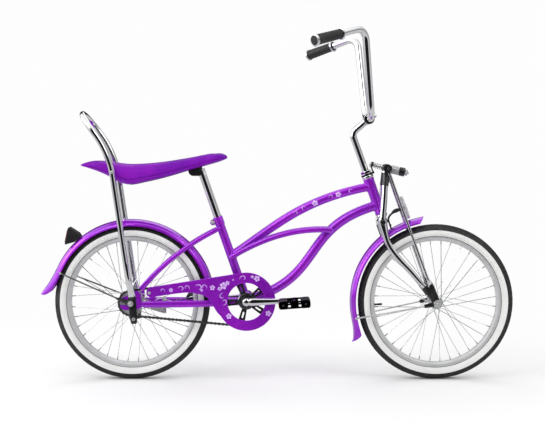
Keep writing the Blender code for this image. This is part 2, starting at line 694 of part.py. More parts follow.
def stay_rooms(name, courses):
    """Room for both stays of a pair, a seating gap bigger all round."""
    rooms = []
    for course, sizes in courses.values():
        bigger = []
        for size in sizes:
            wide, high = size if isinstance(size, tuple) else (size, size)
            bigger.append((wide + SEATED, high + SEATED))
        rooms.append(swept(course, bigger))
    return tool(name, joined(*rooms), bicycle)


seatstay_room = stay_rooms("seatstay_room", seatstay_courses)
chainstay_room = stay_rooms("chainstay_room", chainstay_courses)

# Two bridges join the stays, and the rear fender is bolted to both

def at_forward(course, forward):
    """Where a path that runs forward passes a place."""
    for here, after in zip(course, course[1:]):
        if here.x <= forward <= after.x:
            return here.lerp(after, (forward - here.x) / (after.x - here.x))


BRIDGE_RADIUS = 0.0050
BOSS_HEIGHT = 0.0030


def at_reach(course, reach):
    """Where a stay that runs down from the seat tube comes within reach of the rear axle, in side view."""
    for here, after in zip(course, course[1:]):
        near, far = [math.hypot(point.x - REAR_AXLE.x, point.z - REAR_AXLE.z) for point in (here, after)]
        if near >= reach >= far:
            return here.lerp(after, (near - reach) / (near - far))


bridge_spot = at_reach(seatstay_courses["left"][0], REAR_FENDER_CROWN + SEATED + BOSS_HEIGHT + BRIDGE_RADIUS)
fender_bridge = piece("fender_bridge", swept([mirrored(bridge_spot, -1), mirrored(bridge_spot, 1)],
                                             BRIDGE_RADIUS, TUBE_SIDES, UP), PURPLE, bicycle)
bridge_out = Vector((bridge_spot.x, 0, bridge_spot.z)) - REAR_AXLE
boss_foot = REAR_AXLE + bridge_out.normalized() * (REAR_FENDER_CROWN + SEATED)
boss = swept([boss_foot, Vector((bridge_spot.x, 0, bridge_spot.z))], 0.0048, 8)
fuse(fender_bridge, tool("fender_boss", boss, bicycle))
cut(fender_bridge, seatstay_room)

bridge_level = WHEEL_RADIUS + CHAINSTAY_END[1]
stay_spot = at_forward(chainstay_courses["left"][0], REAR_FENDER_CROWN + SEATED + BRIDGE_RADIUS)
stay_spot.z = bridge_level
chainstay_bridge = piece("chainstay_bridge", swept([mirrored(stay_spot, -1), stay_spot], BRIDGE_RADIUS, 8, UP),
                         PURPLE, bicycle)
cut(chainstay_bridge, chainstay_room)


# Headset cups

def cup(name, axis_letter, low, high, inner, outer, parent, location=(0, 0, 0), sides=HUB_SIDES):
    profile = [(inner, low), (outer, low), (outer, high), (inner, high)]
    return piece(name, turned(profile, sides, axis_letter, ring=True), CHROME, parent, location)


HEAD_CUP_RADIUS = HEAD_DIAMETER / 2 + 0.0025
STEERER_ROOM = STEERER_DIAMETER / 2 + 0.0010
cup("headset_cup_lower", "Z", FORK_LENGTH - SEATED - CUP_HEIGHT, FORK_LENGTH - SEATED, STEERER_ROOM,
    HEAD_CUP_RADIUS, steering)
upper_cup = HEAD_TOP + SEATED
cup("headset_cup_upper", "Z", upper_cup, upper_cup + CUP_HEIGHT, STEERER_ROOM, HEAD_CUP_RADIUS, steering)

# One-piece crank, pedal spindles and pedals

ARM_BEND = 0.020
EYE_REACH = 0.0120              # arm's end past the pedal's axis
EYE_NECK = 0.0220               # arm's waist before it


def crank_shape():
    arm_end = CRANK_LENGTH + EYE_REACH
    corners = [Vector((arm_end, -PEDAL_TREAD, 0)), Vector((0, -PEDAL_TREAD, 0)), Vector((0, PEDAL_TREAD, 0)),
               Vector((-arm_end, PEDAL_TREAD, 0))]
    path = bent(corners, [ARM_BEND, ARM_BEND], 4)
    path[1:1] = [Vector((CRANK_LENGTH, -PEDAL_TREAD, 0)), Vector((CRANK_LENGTH - EYE_NECK, -PEDAL_TREAD, 0))]
    path[-1:-1] = [-path[2], -path[1]]
    half = [(0.0090, 0.0062), (0.0120, 0.0065), (0.0082, 0.0060), (0.0118, 0.0070), (0.0125, 0.0080),
            (0.0120, 0.0092), (0.0113, 0.0102)]
    axle = CRANK_AXLE_DIAMETER / 2
    sizes = half + [(axle, axle), (axle, axle)] + half[::-1]
    return swept(path, sizes, TUBE_SIDES, UP)


crank = piece("crank", crank_shape(), CHROME, crank_axis)

SPINDLE_DIAMETER = 0.0120
PEDAL_WIDTH = 0.094
PEDAL_LENGTH = 0.102
PEDAL_HEIGHT = 0.027
PEDAL_GAP = 0.0065
ARM_FACE = PEDAL_TREAD + 0.0065
SPINDLE_FLANGE = 0.0095


def pedal_shape():
    """A cage with two openings either side of the spindle's barrel."""
    half_length, half_width = PEDAL_LENGTH / 2, PEDAL_WIDTH / 2
    bar, barrel, wall, bevel = 0.010, 0.016, 0.009, 0.006
    outline = [(-half_length + bevel, -half_width), (half_length - bevel, -half_width),
               (half_length, -half_width + bevel), (half_length, half_width - bevel),
               (half_length - bevel, half_width), (-half_length + bevel, half_width),
               (-half_length, half_width - bevel), (-half_length, -half_width + bevel)]
    holes = []
    for way in (-1, 1):
        near, far = way * barrel, way * (half_length - bar)
        low, high = -half_width + wall, half_width - wall
        holes.append([(near, low), (far, low), (far, high), (near, high)])
    shape = plate(outline, -PEDAL_HEIGHT / 2, PEDAL_HEIGHT / 2, holes)
    bmesh.ops.rotate(shape, verts=shape.verts, matrix=Matrix.Rotation(math.radians(90), 3, "X"))
    return shape


for label, side in SIDES:
    pedal_x = CRANK_LENGTH * (1 if side < 0 else -1)
    inner = ARM_FACE + SEATED
    thin = SPINDLE_DIAMETER / 2
    profile = [(SPINDLE_FLANGE, inner - 0.004), (SPINDLE_FLANGE, inner + 0.003), (thin, inner + 0.003),
               (thin, inner + PEDAL_GAP + PEDAL_WIDTH - 0.006)]
    spindle = turned([(radius, side * place) for radius, place in profile], TUBE_SIDES)
    fuse(crank, tool("pedal_spindle_" + label, spindle, crank_axis, (pedal_x, 0, 0)))
    middle = side * (inner + PEDAL_GAP + PEDAL_WIDTH / 2)
    axis = carrier("pedal_axis_" + label, crank_axis, (pedal_x, middle, 0), CRANK_TILT)
    pedal = piece("pedal_" + label, pedal_shape(), BLACK, axis)
    bore = (thin + SEATED) / math.cos(math.pi / TUBE_SIDES)
    bore_end = -side * (PEDAL_WIDTH / 2 + 0.01)
    blind_end = side * (PEDAL_WIDTH / 2 - 0.005)
    cut(pedal, tool("pedal_bore_" + label, turned([(bore, bore_end), (bore, blind_end)], TUBE_SIDES), axis))


# Chain guard: a pressed pan around the ring with an arm back to the axle

GUARD_ARM_END = (-0.2980, 0.0310)   # middle of the arm's round end, from the bottom bracket
GUARD_ARM_RADIUS = 0.0170
# columns: forward of and above the bottom bracket
GUARD_THROAT = [(-0.205, 0.0290), (-0.160, 0.0262), (-0.125, 0.0130), (-0.1065, -0.0140), (-0.0945, -0.0335)]


def guard_outline(inset):
    ring = GUARD_DIAMETER / 2 - inset
    end = GUARD_ARM_RADIUS - inset
    outline = arc((0, 0), ring, 210, 458, 30)
    outline += arc(GUARD_ARM_END, end, 98, 262, 7)
    for forward, rise in GUARD_THROAT:
        reach = math.hypot(forward, rise)
        outline.append((forward + inset * 0.3 * -forward / reach, rise + inset))
    return outline


guard_back = -GUARD_FACE + GUARD_THICKNESS
chain_guard = piece("chain_guard", plate(guard_outline(0), -GUARD_FACE, guard_back + GUARD_LIP,
                                         [circle(GUARD_OPENING / 2, 24)]), PURPLE, bicycle, BRACKET)
GUARD_RIM = 0.0016
pan = plate(guard_outline(GUARD_RIM), guard_back, guard_back + GUARD_LIP + 0.01,
            [circle(GUARD_OPENING / 2 + GUARD_RIM, 24)])
cut(chain_guard, tool("guard_pan", pan, bicycle, BRACKET))

# The guard is held by a post from the down tube and a tab on the chainstay

post_direction = slope(27)
guard_post_place = BRACKET + post_direction * (GUARD_DIAMETER / 2 - 0.0056)
post_start = -(DOWN_TUBE_DIAMETER / 2 - 0.004)
post_ends = []
for place in (post_start, -GUARD_FACE + GUARD_THICKNESS / 3):
    post_ends.append(Vector((guard_post_place.x, place, guard_post_place.z)))
guard_post = tool("guard_post", swept(post_ends, 0.0030, 8, UP), bicycle)
down_room = tool("down_tube_room", swept(down_course, DOWN_TUBE_DIAMETER / 2 + SEATED), bicycle)

tab_x = BRACKET.x + GUARD_ARM_END[0] + 0.004
tab_top = BRACKET.z + GUARD_ARM_END[1]
guard_tab = tool("guard_tab", block((tab_x - 0.008, guard_back - 0.0005, bridge_level),
                                    (tab_x + 0.008, guard_back + 0.0022, tab_top)), bicycle)
fuse(chain_guard, guard_post, guard_tab)
cut(chain_guard, down_room, chainstay_room)


# Rear axle with its nuts, and the coaster brake's arm and strap

NUT_RADIUS = 0.0090
NUT_HEIGHT = 0.0080
SISSY_TAB = 0.0040
EYELET = 0.0020
rear_stack = DROPOUT_PLACE + DROPOUT_THICKNESS + SEATED
sissy_place = rear_stack + SISSY_TAB / 2
eyelet_place = rear_stack + SISSY_TAB + SEATED + EYELET / 2
rear_nut = rear_stack + SISSY_TAB + EYELET + 2 * SEATED


def axle(name, nut_place, parent, location, inner_rows=()):
    """A threaded rod with a nut at each end, the thread standing past it, and rows for a lock nut inside."""
    radius = AXLE_DIAMETER / 2
    half = [(radius, nut_place + NUT_HEIGHT + 0.007), (radius, nut_place + NUT_HEIGHT),
            (NUT_RADIUS, nut_place + NUT_HEIGHT), (NUT_RADIUS, nut_place), (radius, nut_place), *inner_rows]
    profile = [(size, -place) for size, place in half] + [(size, place) for size, place in reversed(half)]
    return piece(name, turned(profile, TUBE_SIDES), STEEL, parent, location)


lock_face = REAR_HUB_END + 2 * SEATED
lock_back = DROPOUT_PLACE - SEATED
LOCK_RADIUS = 0.0085
axle("rear_axle", rear_nut, bicycle, REAR_AXLE, [(AXLE_DIAMETER / 2, lock_back), (LOCK_RADIUS, lock_back),
                                                 (LOCK_RADIUS, lock_face), (AXLE_DIAMETER / 2, lock_face)])

brake_near = BRAKE_HUB_END + SEATED
brake_far = brake_near + BRAKE_ARM
ARM_TIP = (0.1000, -0.0395)     # from the axle
arm_slope = math.degrees(math.atan2(ARM_TIP[1], ARM_TIP[0]))
brake_outline = (arc((0, 0), 0.0170, arm_slope + 70, arm_slope + 290, 12)
                 + arc(ARM_TIP, 0.0065, arm_slope - 90, arm_slope + 90, 6))
brake_arm = piece("brake_arm", plate(brake_outline, brake_near, brake_far), STEEL, bicycle, REAR_AXLE)
cut(brake_arm, rear_bore)

STRAP_WIDTH = 0.0120
STRAP_SHEET = 0.0014


def strap_shape():
    """A band around the left chainstay whose two ends meet below and hold the brake arm's tip."""
    reach = REAR_AXLE.x + ARM_TIP[0]
    centre = at_forward(chainstay_courses["left"][0], reach)
    wide, high = CHAINSTAY_WIDTH / 2 + 0.0008, CHAINSTAY_DEPTH / 2 + 0.0008
    tail = REAR_AXLE.z + ARM_TIP[1] - centre.z - 0.006
    tail_near = brake_far + SEATED - centre.y
    turns = [math.radians(angle) for angle in range(-150, 151, 25)]
    inner = [(wide * math.sin(turn), high * math.cos(turn)) for turn in turns]
    outer = []
    for y, z in inner:
        length = math.hypot(y, z)
        outer.append((y * (1 + STRAP_SHEET / length), z * (1 + STRAP_SHEET / length)))
    tail_loop = [(tail_near + STRAP_SHEET, tail), (tail_near, tail)]
    loop = outer + tail_loop
    solid_ring = plate(loop, reach - STRAP_WIDTH / 2, reach + STRAP_WIDTH / 2)
    hole = [(wide * across, high * rise) for across, rise in circle(1, TUBE_SIDES)]
    opening = plate(hole, reach - STRAP_WIDTH, reach + STRAP_WIDTH)
    swapped = Matrix(((0, 1, 0, 0), (1, 0, 0, 0), (0, 0, 1, 0), (0, 0, 0, 1)))
    placed = Matrix.Translation((0, centre.y, centre.z)) @ swapped
    for shape in (solid_ring, opening):
        bmesh.ops.transform(shape, matrix=placed, verts=shape.verts)
    return solid_ring, opening


strap_solid, strap_opening = strap_shape()
brake_strap = piece("brake_strap", strap_solid, STEEL, bicycle)
cut(brake_strap, tool("brake_strap_opening", strap_opening, bicycle))


# Seat post, clamp, pan and banana seat

# columns: forward of the rear axle, underside, top, half width
SEAT_SECTIONS = [
    (-0.1650, 0.7000, 0.7045, 0.0420), (-0.1500, 0.6965, 0.7120, 0.0580), (-0.1150, 0.6850, 0.7150, 0.0655),
    (-0.0768, 0.6685, 0.7130, 0.0650), (-0.0395, 0.6469, 0.7075, 0.0640), (0.0000, 0.6384, 0.7040, 0.0630),
    (0.0500, 0.6480, 0.7060, 0.0610), (0.1094, 0.6619, 0.7119, 0.0570), (0.1879, 0.6850, 0.7245, 0.0480),
    (0.2336, 0.6985, 0.7335, 0.0420), (0.2840, 0.7130, 0.7430, 0.0370), (0.3060, 0.7215, 0.7370, 0.0280),
    (0.3120, 0.7240, 0.7300, 0.0160)]
SEAT_AROUND = 16


def seat_shape():
    """Pillow sections with a crowned top and a flatter underside."""
    shape = bmesh.new()
    rings = []
    for forward, low, high, half in SEAT_SECTIONS:
        middle = low + (high - low) * 0.45
        ring = []
        for k in range(SEAT_AROUND):
            angle = 2 * math.pi * k / SEAT_AROUND
            across, rise = math.cos(angle), math.sin(angle)
            y = half * math.copysign(abs(across) ** 0.75, across)
            reach = high - middle if rise > 0 else middle - low
            ring.append(shape.verts.new((forward, y, middle + reach * math.copysign(abs(rise) ** 0.8, rise))))
        rings.append(ring)
    skin(shape, rings, False)
    return shape


piece("banana_seat", seat_shape(), VINYL, bicycle)

PAN_SHEET = 0.0016
PAN_SHARE = 0.5                 # of the seat's width


def seat_section(forward):
    """Underside, top and half width of the seat at a place along it."""
    after = next(k for k, row in enumerate(SEAT_SECTIONS) if row[0] > forward)
    here, there = SEAT_SECTIONS[after - 1], SEAT_SECTIONS[after]
    share = (forward - here[0]) / (there[0] - here[0])
    return [near + (far - near) * share for near, far in zip(here[1:], there[1:])]


def underside(forward):
    return seat_section(forward)[0]


def pan_shape():
    shape = bmesh.new()
    rings = []
    for forward, low, _, half in SEAT_SECTIONS[5:11]:
        top, wide = low - SEATED, half * PAN_SHARE
        corners = [(-wide, top), (wide, top), (wide, top - PAN_SHEET), (-wide, top - PAN_SHEET)]
        rings.append([shape.verts.new((forward, y, z)) for y, z in corners])
    skin(shape, rings, False)
    return shape


seat_pan = piece("seat_pan", pan_shape(), BLACK_PAINT, bicycle)
POST_STEP = 0.0005


def post_rise():
    """Length of the seat tube and the post's visible part together, up to just under the seat."""
    rise = SEAT_TUBE_LENGTH
    while seat_tube_point(rise + POST_CLEARANCE).z < underside(seat_tube_point(rise + POST_CLEARANCE).x):
        rise += POST_STEP
    return rise


post_top = seat_tube_point(post_rise())
post_ends = [seat_tube_point(SEAT_TUBE_LENGTH - POST_DEPTH), post_top]
piece("seat_post", swept(post_ends, POST_DIAMETER / 2), CHROME, bicycle)

CLAMP_LENGTH = 0.046
CLAMP_DEPTH = 0.026
CLAMP_HALF_WIDTH = 0.0210
clamp_middle = post_top.x - 0.0190
clamp_rear, clamp_front = clamp_middle - CLAMP_LENGTH / 2, clamp_middle + CLAMP_LENGTH / 2
clamp_low = underside(clamp_middle) - PAN_SHEET - CLAMP_DEPTH
seat_drop = PAN_SHEET / 2 + SEATED
clamp_outline = (arc((clamp_rear + 0.011, clamp_low + 0.011), 0.011, 190, 270, 4)
                 + arc((clamp_front - 0.009, clamp_low + 0.009), 0.009, 270, 350, 4)
                 + [(clamp_front, underside(clamp_front) - seat_drop),
                    (clamp_rear, underside(clamp_rear) - seat_drop)])
fuse(seat_pan, tool("seat_clamp", plate(clamp_outline, -CLAMP_HALF_WIDTH, CLAMP_HALF_WIDTH), bicycle))
clamp_bore = tool("clamp_bore", swept([seat_tube_point(SEAT_TUBE_LENGTH), post_top + SEAT_TUBE_UP * SEATED],
                                      POST_DIAMETER / 2 + SEATED), bicycle)
cut(seat_pan, clamp_bore)


# Sissy bar: a hoop behind the seat whose flattened ends sit on the rear axle

# columns: forward of the rear axle, above the floor
FLARE = (-0.0070, WHEEL_RADIUS + 0.0880)
SISSY_FOOT = (0.0105, WHEEL_RADIUS - 0.0650)
SISSY_HIP = (-0.0640, 0.7370)
SISSY_TOP = (-0.1640, 0.8750)


def sissy_path():
    hip = Vector((SISSY_HIP[0], SISSY_HALF_WIDTH, SISSY_HIP[1]))
    lean = Vector((SISSY_TOP[0] - SISSY_HIP[0], 0, SISSY_TOP[1] - SISSY_HIP[1])).normalized()
    hoop_centre = Vector((SISSY_TOP[0], 0, SISSY_TOP[1])) - lean * (SISSY_HALF_WIDTH + SISSY_DIAMETER / 2)
    foot = Vector((SISSY_FOOT[0], sissy_place, SISSY_FOOT[1]))
    axle_level = Vector((0.0040, sissy_place, REAR_AXLE.z + 0.022))
    flare = Vector((FLARE[0], SISSY_HALF_WIDTH, FLARE[1]))
    shoulder = Vector((hoop_centre.x, SISSY_HALF_WIDTH, hoop_centre.z))
    half = bent([flare, hip, shoulder], [0.070], 4)
    half = [foot, Vector((0.0068, sissy_place, REAR_AXLE.z - 0.020)), axle_level, *half]
    hoop = []
    for k in range(1, 9):
        angle = math.pi * k / 9
        hoop.append(hoop_centre + (LEFT * math.cos(angle) + lean * math.sin(angle)) * SISSY_HALF_WIDTH)
    return half + hoop + [mirrored(point, -1) for point in reversed(half)]


sissy_course = sissy_path()
sissy_round = SISSY_DIAMETER / 2
sissy_flat = (SISSY_TAB / 2, 0.0125)
sissy_sizes = [sissy_flat] * 3 + [sissy_round] * (len(sissy_course) - 6) + [sissy_flat] * 3
sissy_bar = piece("sissy_bar", swept(sissy_course, sissy_sizes, TUBE_SIDES), CHROME, bicycle)
cut(sissy_bar, rear_bore)

# A bolted spacer on each side joins the leg to the seat

SPACER_RADIUS = 0.0065
SPACER_SHARE = 0.855            # of the leg's straight length
SPACER_CLEARANCE = 0.0006
spacer_x = FLARE[0] + (SISSY_HIP[0] - FLARE[0]) * SPACER_SHARE
spacer_z = FLARE[1] + (SISSY_HIP[1] - FLARE[1]) * SPACER_SHARE
spacer_near = seat_section(spacer_x)[2] + SPACER_CLEARANCE
for label, side in SIDES:
    spacer = turned([(SPACER_RADIUS, side * spacer_near), (SPACER_RADIUS, side * SISSY_HALF_WIDTH)], 8)
    fuse(sissy_bar, tool("seat_spacer_" + label, spacer, bicycle, (spacer_x, 0, spacer_z)))


# Fenders: pressed sheet, half an oval in section, each with a flared tail

FENDER_AROUND = 7


def fender_shape(course):
    """course is a list of (crown radius, skirt radius, angle in degrees, half width) around the wheel."""
    shape = bmesh.new()
    rings = []
    for crown, skirt, angle, half in course:
        out = Vector((math.cos(math.radians(angle)), 0, math.sin(math.radians(angle))))
        ring = []
        for inset, order in ((0, range(FENDER_AROUND)), (FENDER_SHEET, reversed(range(FENDER_AROUND)))):
            for k in order:
                lean = math.pi * (k / (FENDER_AROUND - 1) - 0.5)
                reach = skirt + (crown - skirt - inset) * math.cos(lean)
                ring.append(shape.verts.new(out * reach + LEFT * (half - inset) * math.sin(lean)))
        rings.append(ring)
    skin(shape, rings, False)
    return shape


def fender_course(crown, skirt, start, end, steps, tip, tail):
    """Even steps from start to end, between a tip's and a flared tail's own rows."""
    even = []
    for k in range(steps + 1):
        even.append((0, 0, start + (end - start) * k / steps, FENDER_HALF_WIDTH))
    return [(crown + out, skirt + edge, angle, half) for out, edge, angle, half in tip + even + tail]


# columns: crown and skirt beyond the even part's, angle around the wheel in degrees, half width
REAR_TAIL = [(0.0035, 0.0015, 162.0, 0.0330), (0.0120, 0.0080, 168.0, 0.0300),
             (0.0250, 0.0200, 173.0, 0.0240), (0.0320, 0.0380, 175.5, 0.0150)]
FRONT_TAIL = [(0.0020, 0.0010, 197.0, 0.0330), (0.0070, 0.0020, 201.0, 0.0310),
              (0.0150, 0.0060, 204.5, 0.0260), (0.0230, 0.0240, 206.0, 0.0150)]
FRONT_TIP = [(-0.0020, 0.0060, 98, 0.0200)]

rear_course = fender_course(REAR_FENDER_CROWN, REAR_FENDER_SKIRT, -3, 156, 20, [], REAR_TAIL)
front_course = fender_course(FRONT_FENDER_CROWN, FRONT_FENDER_SKIRT, 102, 192, 12, FRONT_TIP, FRONT_TAIL)
piece("rear_fender", fender_shape(rear_course), PURPLE, bicycle, REAR_AXLE)
piece("front_fender", fender_shape(front_course), PURPLE, steering, (FORK_OFFSET, 0, 0), HEAD_LEAN)

WIRE = 0.0052


def fender_stay(name, skirt, angle, eyelet, side, parent, location, turn=0.0):
    """A wire from the fender's skirt to a flattened eyelet on the axle."""
    out = slope(angle)
    top = out * (skirt + 0.004) + LEFT * side * (FENDER_HALF_WIDTH + WIRE / 2 + SEATED)
    bend = out * 0.030 + LEFT * side * eyelet
    end = out * -0.008 + LEFT * side * eyelet
    flat = (EYELET / 2, 0.0085)
    waist = out * 0.050 + LEFT * side * (eyelet + 0.0008)
    course = [top, waist, bend, out * 0.008 + LEFT * side * eyelet, end]
    sizes = [WIRE / 2, WIRE / 2, (EYELET / 2, 0.0060), flat, flat]
    return piece(name, swept(course, sizes, 8), STEEL, parent, location, turn)


REAR_STAY_ANGLE = 157.5
FRONT_STAY_ANGLE = 191.3
for label, side in SIDES:
    stay = fender_stay("rear_fender_stay_" + label, REAR_FENDER_SKIRT, REAR_STAY_ANGLE, eyelet_place, side,
                       bicycle, REAR_AXLE)
    cut(stay, rear_bore)


# Rear reflector: a wedge housing on the fender's crown, its lens facing back

REFLECTOR_ANGLE = 130
reflector_out = slope(REFLECTOR_ANGLE)
reflector_back = slope(REFLECTOR_ANGLE + 90)
reflector_base = REAR_AXLE + reflector_out * (REAR_FENDER_CROWN + SEATED)


def crown_point(out, back):
    """A point above the fender's crown at the reflector, as (x, z) from the rear axle."""
    place = reflector_base - REAR_AXLE + reflector_out * out + reflector_back * back
    return place.x, place.z


reflector_outline = [crown_point(0.0005, -0.020), crown_point(0.0420, 0.018), crown_point(0.0400, 0.026),
                     crown_point(-0.0010, 0.024)]
rear_reflector = piece("rear_reflector", plate(reflector_outline, -0.024, 0.024), BLACK, bicycle, REAR_AXLE)
fender_room = tool("rear_fender_room", turned([(REAR_FENDER_CROWN + SEATED, -0.05),
                                               (REAR_FENDER_CROWN + SEATED, 0.05)], 96), bicycle, REAR_AXLE)
cut(rear_reflector, fender_room)


# Springer fork: steerer and lower crown, legs that carry the axle, a yoke, two struts and the springs

CROWN_BACK = -0.007
CROWN_RADIUS = 0.0130
CROWN_HALF_WIDTH = 0.0370
PIVOT_RADIUS = 0.0045
LEG_RADIUS = 0.0110
LEG_SPREAD = CROWN_HALF_WIDTH + SEATED + LEG_RADIUS
YOKE_HALF_WIDTH = 0.0200
YOKE_EYE = 0.0110               # thickness of a leg's eye at the yoke
YOKE_STUD = 0.0042
yoke_leg_place = YOKE_HALF_WIDTH + SEATED + YOKE_EYE / 2
LEG_TAB = 0.0060
LEG_TAB_PLACE = FRONT_HUB_WIDTH / 2 + SEATED + LEG_TAB / 2
STRUT_TAB = 0.0040
strut_tab_place = LEG_TAB_PLACE + LEG_TAB / 2 + SEATED + STRUT_TAB / 2
front_eyelet = strut_tab_place + STRUT_TAB / 2 + SEATED + EYELET / 2
front_nut = front_eyelet + EYELET / 2 + SEATED
LOWER_RACE = FORK_LENGTH - SEATED - CUP_HEIGHT - 0.0006
UPPER_RACE = HEAD_TOP + SEATED + CUP_HEIGHT + 0.0006
PLATE_THICKNESS = 0.0050
NUT_RISE = 0.0110

steerer_outer, steerer_inner = STEERER_DIAMETER / 2, STEERER_DIAMETER / 2 - 0.0013
STEERER_TOP = UPPER_RACE + PLATE_THICKNESS + NUT_RISE + 2 * SEATED
RACE_RADIUS = 0.0165
race_start = LOWER_RACE - 0.003
steerer_profile = [(steerer_outer, CROWN_RISE - 0.010), (steerer_outer, race_start), (RACE_RADIUS, race_start),
                   (RACE_RADIUS, LOWER_RACE), (steerer_outer, LOWER_RACE), (steerer_outer, STEERER_TOP)]
steerer = piece("steerer", turned(steerer_profile, TUBE_SIDES, "Z"), CHROME, steering)
bore_profile = [(steerer_inner, CROWN_RISE + 0.030), (steerer_inner, STEERER_TOP + 0.01)]
steerer_bore = tool("steerer_bore", turned(bore_profile, TUBE_SIDES, "Z"), steering)
crown_bar = tool("crown_bar", turned([(CROWN_RADIUS, -CROWN_HALF_WIDTH), (CROWN_RADIUS, CROWN_HALF_WIDTH)],
                                     HUB_SIDES), steering, (CROWN_BACK, 0, CROWN_RISE))
pivot_bore = tool("pivot_bore", turned([(PIVOT_RADIUS + SEATED, -0.09), (PIVOT_RADIUS + SEATED, 0.09)], 10),
                  steering, (CROWN_BACK, 0, CROWN_RISE))
fuse(steerer, crown_bar)
cut(steerer, steerer_bore)

head_out = LEG_SPREAD + LEG_RADIUS + 2 * SEATED
pivot_bolt = tool("fork_pivot_bolt", turned([
    (0.0085, -head_out - 0.006), (0.0085, -head_out), (PIVOT_RADIUS, -head_out), (PIVOT_RADIUS, head_out),
    (0.0085, head_out), (0.0085, head_out + 0.006)], 10), steering, (CROWN_BACK, 0, CROWN_RISE))
fuse(steerer, pivot_bolt)

yoke_strut_place = YOKE_HALF_WIDTH + YOKE_EYE + 2 * SEATED + STRUT_TAB / 2
# columns: forward of the steering axis, half spread, above the axle's level, half thickness, half depth
FORK_LEG = [
    (YOKE_FORWARD + 0.0020, yoke_leg_place, YOKE_RISE + 0.0100, YOKE_EYE / 2, 0.0090),
    (YOKE_FORWARD - 0.0010, yoke_leg_place, YOKE_RISE, YOKE_EYE / 2, 0.0120),
    (YOKE_FORWARD - 0.0070, yoke_leg_place, YOKE_RISE - 0.0135, YOKE_EYE / 2, 0.0125),
    (YOKE_FORWARD - 0.0190, yoke_leg_place + 0.0042, YOKE_RISE - 0.0355, 0.0085, 0.0120),
    (YOKE_FORWARD - 0.0270, yoke_leg_place + 0.0072, YOKE_RISE - 0.0505, 0.0098, 0.0105),
    (CROWN_BACK + 0.0270, LEG_SPREAD - 0.0063, CROWN_RISE + 0.0600, 0.0105, 0.0105),
    (-0.0005, LEG_SPREAD, CROWN_RISE + 0.0170, LEG_RADIUS, 0.0110),
    (CROWN_BACK, LEG_SPREAD, CROWN_RISE, LEG_RADIUS, 0.0150),
    (-0.0121, LEG_SPREAD, CROWN_RISE * 0.859, 0.0108, 0.0110),
    (-0.0133, LEG_SPREAD, CROWN_RISE * 0.772, 0.0108, 0.0108),
    (-0.0089, LEG_SPREAD + 0.0005, CROWN_RISE * 0.688, 0.0106, 0.0106),
    (0.0043, LEG_SPREAD + 0.0010, CROWN_RISE * 0.561, 0.0102, 0.0102),
    (0.0231, LEG_SPREAD + 0.0030, CROWN_RISE * 0.422, 0.0096, 0.0096),
    (0.0407, LEG_TAB_PLACE - 0.0015, CROWN_RISE * 0.273, 0.0085, 0.0085),
    (0.0531, LEG_TAB_PLACE, CROWN_RISE * 0.169, LEG_TAB / 2, 0.0100),
    (0.0670, LEG_TAB_PLACE, 0.0120, LEG_TAB / 2, 0.0120),
    (FORK_OFFSET + 0.002, LEG_TAB_PLACE, -0.0110, LEG_TAB / 2, 0.0100)]
FRONT_STRUT = [
    (YOKE_FORWARD, yoke_strut_place, YOKE_RISE + 0.0090, STRUT_TAB / 2, 0.0085),
    (YOKE_FORWARD, yoke_strut_place, YOKE_RISE - 0.0080, STRUT_TAB / 2, 0.0085),
    (YOKE_FORWARD, yoke_strut_place + 0.0030, YOKE_RISE - 0.0260, 0.0045, 0.0045),
    (FORK_OFFSET - 0.003, strut_tab_place + 0.0030, 0.0850, 0.0045, 0.0045),
    (FORK_OFFSET, strut_tab_place, 0.0620, STRUT_TAB / 2, 0.0090),
    (FORK_OFFSET, strut_tab_place, -0.0105, STRUT_TAB / 2, 0.0100)]


def steered_bar(name, rows, side, material):
    course = [Vector((forward, side * spread, rise)) for forward, spread, rise, _, _ in rows]
    sizes = [(thick, deep) for _, _, _, thick, deep in rows]
    return piece(name, swept(course, sizes, TUBE_SIDES), material, steering)


yoke_bore = tool("yoke_cross_bore", turned([(YOKE_STUD + SEATED, -0.06), (YOKE_STUD + SEATED, 0.06)], 10),
                 steering, (YOKE_FORWARD, 0, YOKE_RISE))
for label, side in SIDES:
    cut(steered_bar("fork_leg_" + label, FORK_LEG, side, CHROME), front_bore, pivot_bore, yoke_bore)
    cut(steered_bar("fork_strut_" + label, FRONT_STRUT, side, CHROME), front_bore, yoke_bore)

# The yoke's studs carry the legs' eyes and the struts, and the spring bolt passes through its middle

spring_axis = carrier("spring_axis", steering, (YOKE_FORWARD, 0, YOKE_RISE), -SPRING_TILT)
YOKE_HALF_LENGTH = 0.0135
YOKE_DROP = 0.0100
SPRING_BOLT = 0.0040
bore_ends = [Vector((-0.08, 0, 0)), Vector((0.09, 0, 0))]
spring_bore = tool("spring_bore", swept(bore_ends, SPRING_BOLT + SEATED, 10), spring_axis)
yoke = piece("fork_yoke", plate(
    [(-YOKE_HALF_LENGTH, -YOKE_DROP), (YOKE_HALF_LENGTH, -YOKE_DROP), (YOKE_HALF_LENGTH, 0.0090),
     (0.0070, 0.0125), (-0.0070, 0.0125), (-YOKE_HALF_LENGTH, 0.0090)], -YOKE_HALF_WIDTH, YOKE_HALF_WIDTH),
    BLACK_PAINT, spring_axis)
stud_out = yoke_strut_place + STRUT_TAB / 2 + SEATED
stud_half = [(0.0080, stud_out + 0.005), (0.0080, stud_out), (YOKE_STUD, stud_out)]
studs = turned([(radius, -place) for radius, place in stud_half]
               + [(radius, place) for radius, place in reversed(stud_half)], 10)
fuse(yoke, tool("yoke_studs", studs, spring_axis))
cut(yoke, spring_bore)


LUG_BACK = -0.0530              # rear face of the bracket's lug along the spring bolt
LUG_THICKNESS = 0.0060
BOLT_END = 0.0740
NUT_START = 0.0600
COLLAR_START = 0.0425
COLLAR_RADIUS = 0.0145
STEP = 0.0001                   # run of a square shoulder
head_face = LUG_BACK - SEATED
